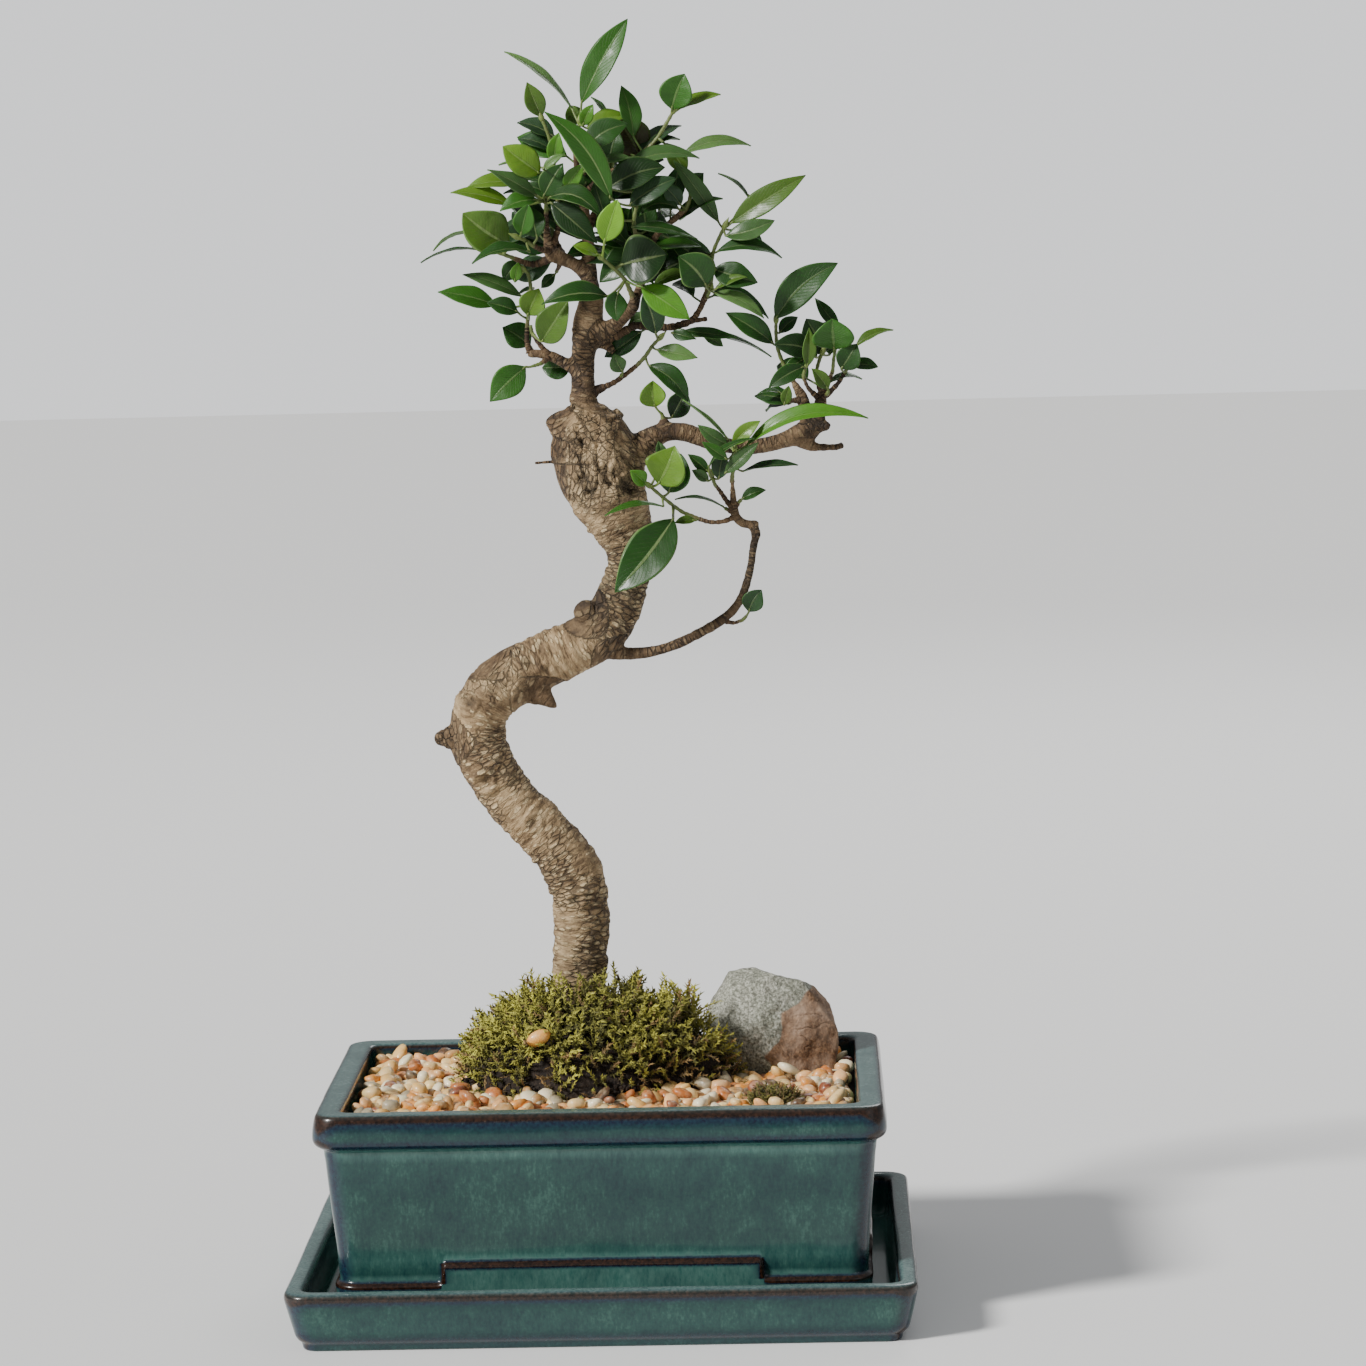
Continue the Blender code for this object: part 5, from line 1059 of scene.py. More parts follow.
# centre line of each trunk, limb and twig: x, y, z and radius at each point
wood = {
    "trunk": [
        (-9.5, 16, 46, 13), (-9.5, 16, 60, 13), (-9.5, 16, 74, 12.3), (-9.5, 16, 90, 11),
        (-9.5, 16, 104, 10.2), (-9.3, 16, 117, 10), (-8.4, 16, 130, 10.5), (-8.4, 16, 142, 10.8),
        (-10.4, 16, 152, 10.9), (-14.4, 16, 160, 10.6), (-20, 16, 167, 10.2), (-26, 16, 173.5, 9.8),
        (-32, 16, 179.5, 9.7), (-37, 16, 186, 9.8), (-41, 15, 193.5, 10.2), (-43.8, 15, 201, 10.6),
        (-44.3, 15, 208.5, 10.4), (-42.3, 15, 215.5, 10.7), (-37.6, 15, 221.8, 11),
        (-31.2, 15, 226.5, 10.7), (-23.8, 15, 230.4, 10.3), (-15.5, 15, 233.8, 9.9),
        (-7.2, 15, 237.4, 9.8), (0, 15, 241.5, 9.8), (5, 15, 247, 9.6), (8.5, 15, 253.5, 9.2),
        (11, 15, 260, 8.6), (12.8, 15, 266.5, 8.2), (12.9, 15, 272.8, 8.7),
        (11.2, 15, 279.5, 10.6), (8.5, 15, 286, 12.4), (6, 15, 292, 14.2), (4, 15, 299, 16),
        (2, 15, 306, 16.2), (0, 15, 313, 14.8), (-2, 15, 319.5, 12.4), (-3, 15, 325, 8.6),
    ],
    "root_left": [(-10, 16, 76, 8), (-24, 10, 70, 5.5), (-38, 2, 60, 4), (-50, -6, 48, 2.6)],
    "root_right": [(-9, 16, 76, 8), (6, 22, 70, 5.5), (20, 26, 60, 4), (32, 24, 47, 2.6)],
    "root_front": [(-9, 15, 76, 8), (-6, 0, 70, 5.2), (0, -14, 60, 3.8), (8, -26, 46, 2.4)],
    "root_back": [(-10, 17, 76, 8), (-16, 28, 68, 4.8), (-26, 38, 56, 3.4), (-38, 42, 44, 2.2)],
    "knob_left": [(-45, 15, 204, 7.5), (-53, 14.6, 204.6, 4.9), (-58, 14.4, 204.3, 3.3),
                  (-60.6, 14.3, 203.6, 1.6)],
    "stub_under": [(-26, 14, 223, 7), (-20.5, 12.5, 219.8, 4.2), (-17.5, 12, 217.3, 2.4),
                   (-15, 12, 215, 0.7)],
    "knot_low": [(0, 14, 246, 7), (-3.2, 10, 250.5, 5), (-4.6, 8, 252.6, 3.8)],
    "bump_shoulder": [(-35, 15, 229, 7), (-38.8, 15, 232.8, 3.4)],
    "stump_lump_high": [(-6, 14, 316, 9), (-11.5, 12.5, 321, 5.2), (-12.6, 12, 322.6, 4)],
    "stump_lump_left": [(-4, 14, 308, 12), (-11.5, 13, 309.4, 6), (-14.8, 13, 309.6, 3.4)],
    "stump_lump_low": [(-2, 14, 301, 12), (-9, 13, 301.4, 5.5), (-11.8, 13, 301.2, 3.6)],
    "stump_spike": [(-10, 14, 305.6, 1.2), (-15, 13.4, 305.6, 0.6), (-20.6, 13.2, 305.3, 0.45)],
    "stem": [(-2.6, 15, 318, 7.5), (-2.5, 15, 326, 6), (-2.3, 15, 332, 4.7), (-2.2, 15, 338, 4.3),
             (-1.8, 15, 345, 4.4), (-0.8, 15, 351, 5.1), (0.2, 15, 357, 5.3), (1.2, 15, 362, 4.8),
             (2.2, 15, 366.5, 4)],
    "stem_stub": [(2.5, 15, 350.5, 3.2), (6.6, 14.6, 347.8, 2.2), (9.4, 14.4, 344.8, 1.0)],
    "leader": [(2, 15, 365, 3.6), (1.2, 15, 372, 3.0), (0.9, 15, 381, 2.5), (0.7, 15, 390, 2.1),
               (-0.9, 14.4, 402, 1.7), (-2.3, 13.4, 412, 1.35), (-2.6, 12.6, 418.6, 1.1)],
    "limb_left": [(2.4, 14, 363, 3.4), (1, 13.6, 371, 2.7), (-3, 13.4, 376.5, 2.4),
                  (-8, 13.2, 379.2, 2.5), (-12.4, 12.8, 381.6, 2.8), (-13.6, 12.2, 386, 1.7),
                  (-13.9, 11.6, 391.5, 1.15), (-13.8, 10.8, 397, 0.95)],
    "twig_left_top": [(-12.4, 13, 383.5, 1.6), (-10.2, 13.4, 389, 1.1), (-9.4, 13.6, 394, 0.9)],
    "twig_left_low": [(-12, 13.5, 380.4, 1.8), (-17, 14, 378, 1.3), (-21, 14, 377.9, 1.1),
                      (-26, 13, 380, 0.95)],
    "twig_left_front": [(-13, 12, 382.6, 1.6), (-16, 8, 383.2, 1.0), (-18.6, 5.6, 384.6, 0.85)],
    "twig_left_under": [(-9.4, 15, 378.4, 1.3), (-10.2, 17.6, 376.4, 0.8), (-10.8, 19, 375.4, 0.6)],
    "limb_low_left": [(-2.5, 15, 337.5, 3.2), (-7, 15, 340.4, 2.3), (-11, 15, 342.8, 2.1),
                      (-15, 15, 344.6, 1.9), (-19, 15, 345.2, 1.7), (-22.4, 15, 345.2, 1.6)],
    "twig_ll_up": [(-21.6, 15, 345.4, 1.3), (-22.4, 15, 350, 0.95), (-22.2, 15, 354.6, 0.85)],
    "twig_ll_front": [(-14.6, 14.4, 344.8, 1.2), (-18, 12.4, 349, 0.85), (-20, 10.8, 352.6, 0.75)],
    "twig_ll_back": [(-20.6, 15.6, 345.4, 1.2), (-21.2, 18.2, 346.6, 0.8)],
    "twig_ll_leaf": [(-14.6, 14.2, 343.6, 1.2), (-17.2, 12.2, 341.8, 0.85)],
    "twig_ll_inner": [(-3.6, 17, 339, 2.0), (-5.6, 20.4, 340.4, 0.9)],
    "limb_centre": [(3.6, 13.6, 351.6, 4.2), (9.4, 12.4, 354.6, 2.9), (14, 11.2, 358.6, 2.4),
                    (17.3, 10.2, 362.4, 2.2), (16.7, 9, 365.4, 1.3)],
    "limb_up_right": [(16.6, 11, 361.6, 2.2), (19, 12, 367.4, 1.7), (21, 13, 373, 1.5),
                      (22.4, 13, 380, 1.4), (25.6, 13, 386.8, 1.4), (31, 13, 391.6, 1.35),
                      (36.4, 13, 396, 1.25)],
    "twig_centre_up": [(21.4, 12.6, 375.6, 1.3), (19.6, 10.6, 382, 1.0), (18.4, 9.2, 388, 0.9)],
    "twig_top_right": [(-0.8, 14.2, 402, 1.5), (5, 14.6, 407, 1.2), (12, 15, 411.4, 1.05),
                       (18.4, 15, 415, 0.95), (23.6, 14.8, 418.6, 0.85)],
    "twig_top_mid": [(-1.8, 13.6, 408.6, 1.3), (1.8, 10.6, 412, 0.95), (4, 8.6, 415, 0.8)],
    "limb_right": [(4, 15, 350, 3.6), (12, 15, 352, 1.7), (17, 15, 354.4, 1.5),
                   (22.5, 15, 354, 1.4), (28, 15, 353.6, 1.35), (33, 15, 354.2, 1.3),
                   (37.6, 15, 355.8, 1.2), (41, 15, 360, 1.05), (43.3, 15, 365.6, 0.95)],
    "limb_right_stub": [(34, 15, 354.8, 1.2), (39, 15, 355.8, 0.9), (43.6, 15, 356.4, 0.8)],
    "twig_right_low": [(42, 14.6, 362, 1.0), (43.8, 12, 364.6, 0.75)],
    "twig_right_thin": [(31.4, 14.4, 353.6, 1.1), (32.8, 12.6, 352.4, 0.75)],
    "limb_inner": [(-1, 15, 330, 3.2), (5, 15, 332.3, 1.35), (9, 15, 334, 1.0),
                   (13, 15, 336.6, 0.9), (17.2, 15, 339.8, 0.85)],
    "twig_inner": [(11.4, 14.6, 335.7, 0.85), (11.8, 13, 336.5, 0.6)],
    "branch_thick": [(5, 15, 300, 9), (13, 15, 305.6, 7.6), (19, 15, 310.6, 5.6),
                     (24, 15, 314.2, 4.2), (29, 15, 315.6, 3.4), (35, 15, 315, 3.3),
                     (42, 15, 312.4, 3.3), (50, 15, 310, 2.8), (57, 15, 309.2, 2.7),
                     (64, 15, 310, 2.9), (70, 15, 311.4, 3.0), (75, 15, 313, 3.8),
                     (79.4, 15, 315, 4.2), (82.6, 15, 317.6, 3.4)],
    "branch_tip": [(79, 15, 314.6, 3.6), (84, 15, 316.6, 2.6), (87.6, 15, 315.8, 1.2)],
    "branch_prong": [(76.6, 15, 311.4, 3), (81, 15, 309, 1.9), (86, 15, 308.6, 1.35),
                     (90, 15, 308.6, 1.25), (92.4, 15, 309.4, 1.3)],
    "branch_knob": [(27.6, 15, 314, 2.9), (27, 14.6, 318.4, 2.2), (26.6, 14.3, 320.6, 1.4)],
    "spur_left": [(80, 15.4, 315, 3.2), (79, 16, 321, 2.4), (77.5, 17, 327, 2.2),
                  (75.6, 17.5, 330.6, 1.5), (74, 18, 333.6, 0.9)],
    "spur_low": [(77.6, 16.4, 325.6, 1.6), (74.6, 15, 326, 1.0), (72.8, 14.4, 325.8, 0.8)],
    "spur_right": [(82, 15, 316, 3.2), (83.8, 15, 322, 2.4), (84.5, 15, 327, 2.2),
                   (84.9, 15, 329.4, 1.3)],
    "twig_end_mid": [(83, 14, 327, 1.2), (79.8, 12.8, 330.6, 0.75), (78.4, 12.2, 334, 0.65)],
    "twig_end_back": [(84.6, 15.4, 328, 1.1), (83.4, 15.8, 332, 0.8), (83, 16.2, 335.6, 0.65)],
    "twig_end_heart": [(85.2, 15, 328, 1.2), (87.3, 14.6, 332.5, 0.85), (88.7, 13.6, 336, 0.7)],
    "twig_end_right": [(86, 15, 327.2, 1.2), (90.5, 15.4, 331.5, 0.85), (93.2, 15.4, 335.5, 0.7)],
    "twig_end_front": [(85.4, 13.6, 326.8, 1.1), (86.6, 11.4, 328.2, 0.65)],
    "branch_low": [(3, 15, 237.5, 5.4), (9, 15, 234.6, 2.7), (16, 15, 234.4, 2.2),
                   (23, 15, 235.4, 2.0), (30, 15, 237.6, 1.95), (37, 15, 240.8, 1.9),
                   (44.5, 15, 244.8, 1.9), (50, 15, 249, 1.8), (53.7, 15, 254, 1.7),
                   (55.8, 15, 259.5, 1.6), (57.5, 15, 266, 1.5), (58.5, 15, 272.5, 1.5),
                   (59.6, 15, 277.6, 1.8), (58.2, 15, 280.6, 1.8), (55, 15, 281.4, 1.7),
                   (52.6, 15, 283.6, 1.8), (51.8, 14.6, 288, 1.5), (51.5, 12.6, 293, 1.15),
                   (51.4, 10.4, 298, 0.95)],
    "branch_low_stub": [(59, 15, 278.4, 1.7), (60, 15, 282.2, 1.2)],
    "twig_low_mid": [(51.6, 14.6, 286.4, 1.2), (49, 14.2, 290, 0.95), (46.8, 13.6, 293.5, 0.8),
                     (45.3, 13, 295.6, 0.65)],
    "twig_low_left": [(53.2, 15, 284.4, 1.3), (48, 15, 282.3, 0.85), (43, 15, 282.1, 0.8),
                      (39, 15, 283.3, 0.85)],
    "twig_low_right": [(52, 14.8, 287, 1.2), (53.6, 14.2, 289.2, 0.7)],
    "twig_low_thin": [(51.6, 15.4, 285.2, 1.2), (49.4, 16.6, 286.4, 0.7)],
    "twig_low_leaf": [(46.6, 15, 245.8, 1.2), (50.6, 15, 244.8, 0.7), (53.4, 15, 245.6, 0.6)],
    "limb_back_top": [(0.8, 15.4, 389, 1.9), (3, 21, 395, 1.2), (6, 27, 401, 0.95)],
    "limb_back_left": [(-8, 14, 379.4, 1.9), (-10, 21, 383, 1.2), (-12, 27, 387, 0.95)],
    "limb_back_right": [(22, 13.6, 379, 1.5), (23.6, 20, 382, 1.1), (25, 26, 385, 0.9)],
}

bareWood = {"voxel": 0.72, "firstHeight": 70.0, "thickSides": 20, "thinSides": 10,
            "smoothing": 3}
thickNames = ("trunk", "knob_left", "stub_under", "knot_low", "bump_shoulder", "stump_lump_high",
              "stump_lump_left", "stump_lump_low", "stem", "stem_stub", "leader", "limb_left",
              "limb_low_left", "limb_centre", "limb_up_right", "branch_thick", "branch_tip",
              "branch_prong", "branch_knob", "spur_left", "spur_right", "branch_low",
              "branch_low_stub")
# each old branch scar on the front: x and z of its middle, its radius and its rim's height
scars = ((-3.2, 313.9, 3.4, 1.0), (13.8, 297.3, 4.2, 1.2), (-42.0, 189.1, 3.6, 0.9),
         (-24.3, 173.4, 3.0, 0.7), (-9.5, 144.3, 3.2, 0.8), (-24.0, 232.3, 3.4, 0.8),
         (-17.8, 230.3, 2.2, 0.5), (-47.3, 218.0, 3.6, 0.9))


def woodPath(name):
    points = [point for point in wood[name] if point[2] >= bareWood["firstHeight"]
              or name != "trunk"]
    count = 5 * (len(points) - 1) + 1
    path = curveThrough(points, count)
    return path[:, :3], np.maximum(path[:, 3], 0.3)


def meltedWood():
    # the thick wood melted into one skin, and samples along its centre lines:
    # place, direction, run along the line and radius
    heap = Heap()
    lines = []
    sides = bareWood["thickSides"]
    for order, name in enumerate(thickNames):
        path, radii = woodPath(name)
        points, quads = tubeShape(path, radii, sides)
        heap.add(points, quads, capLoops(len(path), sides))
        run = np.concatenate([[0], np.cumsum(np.linalg.norm(np.diff(path, axis=0), axis=1))])
        ahead = framesAlong(path)[0]
        lines.append(np.hstack([path, ahead, (run + 37.0 * order)[:, None], radii[:, None]]))
    points, quads, loops, _ = heap.shape()
    rough = makePiece("roughWood", points, quads, bark, loops)
    fixFacing(rough)
    melt = rough.modifiers.new("melt", "REMESH")
    melt.mode = "VOXEL"
    melt.voxel_size = bareWood["voxel"] * mm
    graph = bpy.context.evaluated_depsgraph_get()
    graph.update()
    made = bpy.data.meshes.new_from_object(rough.evaluated_get(graph))
    count = len(made.vertices)
    points = np.empty(count * 3, np.float32)
    made.vertices.foreach_get("co", points)
    points = points.reshape(-1, 3).astype(float) / mm
    edges = np.empty(len(made.edges) * 2, np.int32)
    made.edges.foreach_get("vertices", edges)
    edges = edges.reshape(-1, 2)
    quads = np.empty(len(made.loops), np.int32)
    made.loops.foreach_get("vertex_index", quads)
    quads = quads.reshape(-1, 4)
    bpy.data.objects.remove(rough)
    neighbours = np.bincount(edges.ravel(), minlength=count)[:, None]
    for _ in range(bareWood["smoothing"]):
        total = np.zeros_like(points)
        for axis in range(3):
            total[:, axis] = (np.bincount(edges[:, 0], points[edges[:, 1], axis], count)
                              + np.bincount(edges[:, 1], points[edges[:, 0], axis], count))
        points = points * 0.4 + total / neighbours * 0.6
    return points, quads, np.vstack(lines)


def nearestSamples(points, lines):
    # the closest sample of the centre lines for each point
    tree = kdtree.KDTree(len(lines))
    for index, line in enumerate(lines):
        tree.insert(line[:3], index)
    tree.balance()
    return lines[np.array([tree.find(point)[1] for point in points])]


def addTwigs(heap, grains, shades):
    # the thin twigs, as plain knobbly tubes beside the melted skin
    sides = bareWood["thinSides"]
    for order, name in enumerate(sorted(set(wood) - set(thickNames))):
        if name.startswith("root"):
            continue
        path, radii = woodPath(name)
        knobs = 1 + 0.14 * np.sin(np.arange(len(path)) * 2.4 + order)
        shape, faces = tubeShape(path, radii * knobs, sides)
        heap.add(shape, faces, capLoops(len(path), sides))
        run = np.repeat(np.arange(len(path)) * 1.6 + order * 31, sides)
        grains.append(np.stack([run, shape[:, 0] * 0.5, shape[:, 1] * 0.5], axis=1))
        shades.append(np.broadcast_to((0.30, 0.25, 0.20, 0.1), (len(shape), 4)))


def makeWood():
    points, quads, lines = meltedWood()
    count = len(points)
    near = nearestSamples(points, lines)
    ahead, run, radius = near[:, 3:6], near[:, 6], near[:, 7]
    offset = points - near[:, :3]
    along = run + (offset * ahead).sum(axis=1)
    lateral = np.cross(ahead, (0.0, 1.0, 0.0))
    lateral /= np.linalg.norm(lateral, axis=1)[:, None] + 1e-6
    sideways = (offset * lateral).sum(axis=1)
    grain = np.stack([along, sideways, offset[:, 1]], axis=1)
    out = normalsOf(points, quads)
    stout = smoothStep(2.0, 9.0, radius)
    burl = smoothStep(282, 296, points[:, 2]) * smoothStep(5, 9, radius)
    bend = np.exp(-((points[:, 2] - 207) / 9) ** 2) * smoothStep(-49, -53, points[:, 0])
    under = np.exp(-((points[:, 2] - 224) / 7) ** 2) * smoothStep(-22, -28, points[:, 0])
    ripple = softNoise(grain * (0.55, 0.10, 0.10), 1.0, 71)
    fibres = softNoise(grain * (1.5, 0.26, 0.26), 1.0, 75)
    crag = layeredNoise(points * (1.0, 1.0, 0.5), 6.0, 4, 80)
    depth = layeredNoise(points, 16, 3, 90) * 0.55 * stout + ripple * 0.42 * (0.25 + stout)
    depth = depth + fibres * 0.22 * (0.3 + stout)
    lumps = layeredNoise(points * (1, 1, 0.6), 12, 2, 83)
    depth = depth + burl * (lumps * 1.5 + crag * 1.2 - 1.5 * np.exp(-(crag / 0.12) ** 2))
    plates = layeredNoise(points, 5.0, 2, 97)
    depth = depth - (bend + under) * 0.8 * np.exp(-(plates / 0.10) ** 2)
    scarShade = np.zeros(count)
    for x, z, reach, rise in scars:
        away = np.hypot(points[:, 0] - x, points[:, 2] - z)
        front = smoothStep(13, 9, points[:, 1])
        away = away * (1 + 0.08 * np.sin(3 * np.arctan2(points[:, 2] - z, points[:, 0] - x) + x))
        depth = depth + front * rise * (np.exp(-((away - reach) / 0.9) ** 2)
                                        - 1.1 * np.exp(-(away / (0.55 * reach)) ** 2)
                                        + 0.35 * np.exp(-((away - reach * 0.45) / 0.5) ** 2))
        scarShade = np.maximum(scarShade, front * np.exp(-(away / (0.75 * reach)) ** 2))
    points = points + out * depth[:, None]
    age = np.clip(burl * 0.85 + bend + under * 0.8 + 0.25 * layeredNoise(points, 20, 2, 99), 0, 1)
    low = smoothStep(178, 120, points[:, 2])[:, None]
    tint = np.ones((count, 3)) * (0.98, 0.98, 0.90)
    tint = tint * (1 - 0.20 * low) + np.array((0.0, 0.02, 0.03)) * low
    thin = smoothStep(7.6, 4.4, radius)[:, None]
    # painted shade: the trunk's neck behind the big leaf is darkened as if in that leaf's shadow
    neckShade = np.exp(-((points[:, 2] - 262) / 17) ** 2)[:, None]
    tint = tint * (1 - thin * (0.62, 0.66, 0.69)) * (1 - neckShade * (0.42, 0.40, 0.42))
    tint = tint * (1 - 0.45 * scarShade[:, None])
    # painted shade: darker in the creases of the burl and the bends
    creaseShade = np.clip(-depth, 0, 1.5)[:, None]
    tint = tint * (1 - 0.38 * creaseShade * np.maximum(burl, bend + under)[:, None])
    marks = np.hstack([np.clip(tint, 0, 1), age[:, None]])
    heap = Heap()
    heap.add(points, quads)
    grains = [grain]
    shades = [marks]
    addTwigs(heap, grains, shades)
    points, quads, loops, _ = heap.shape()
    piece = makePiece("livingWood", points, quads, bark, loops, np.vstack(shades),
                      np.vstack(grains))
    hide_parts("trunk_and_branches")
    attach(piece, "root")
    print("wood:", len(quads), "faces")


makeWood()


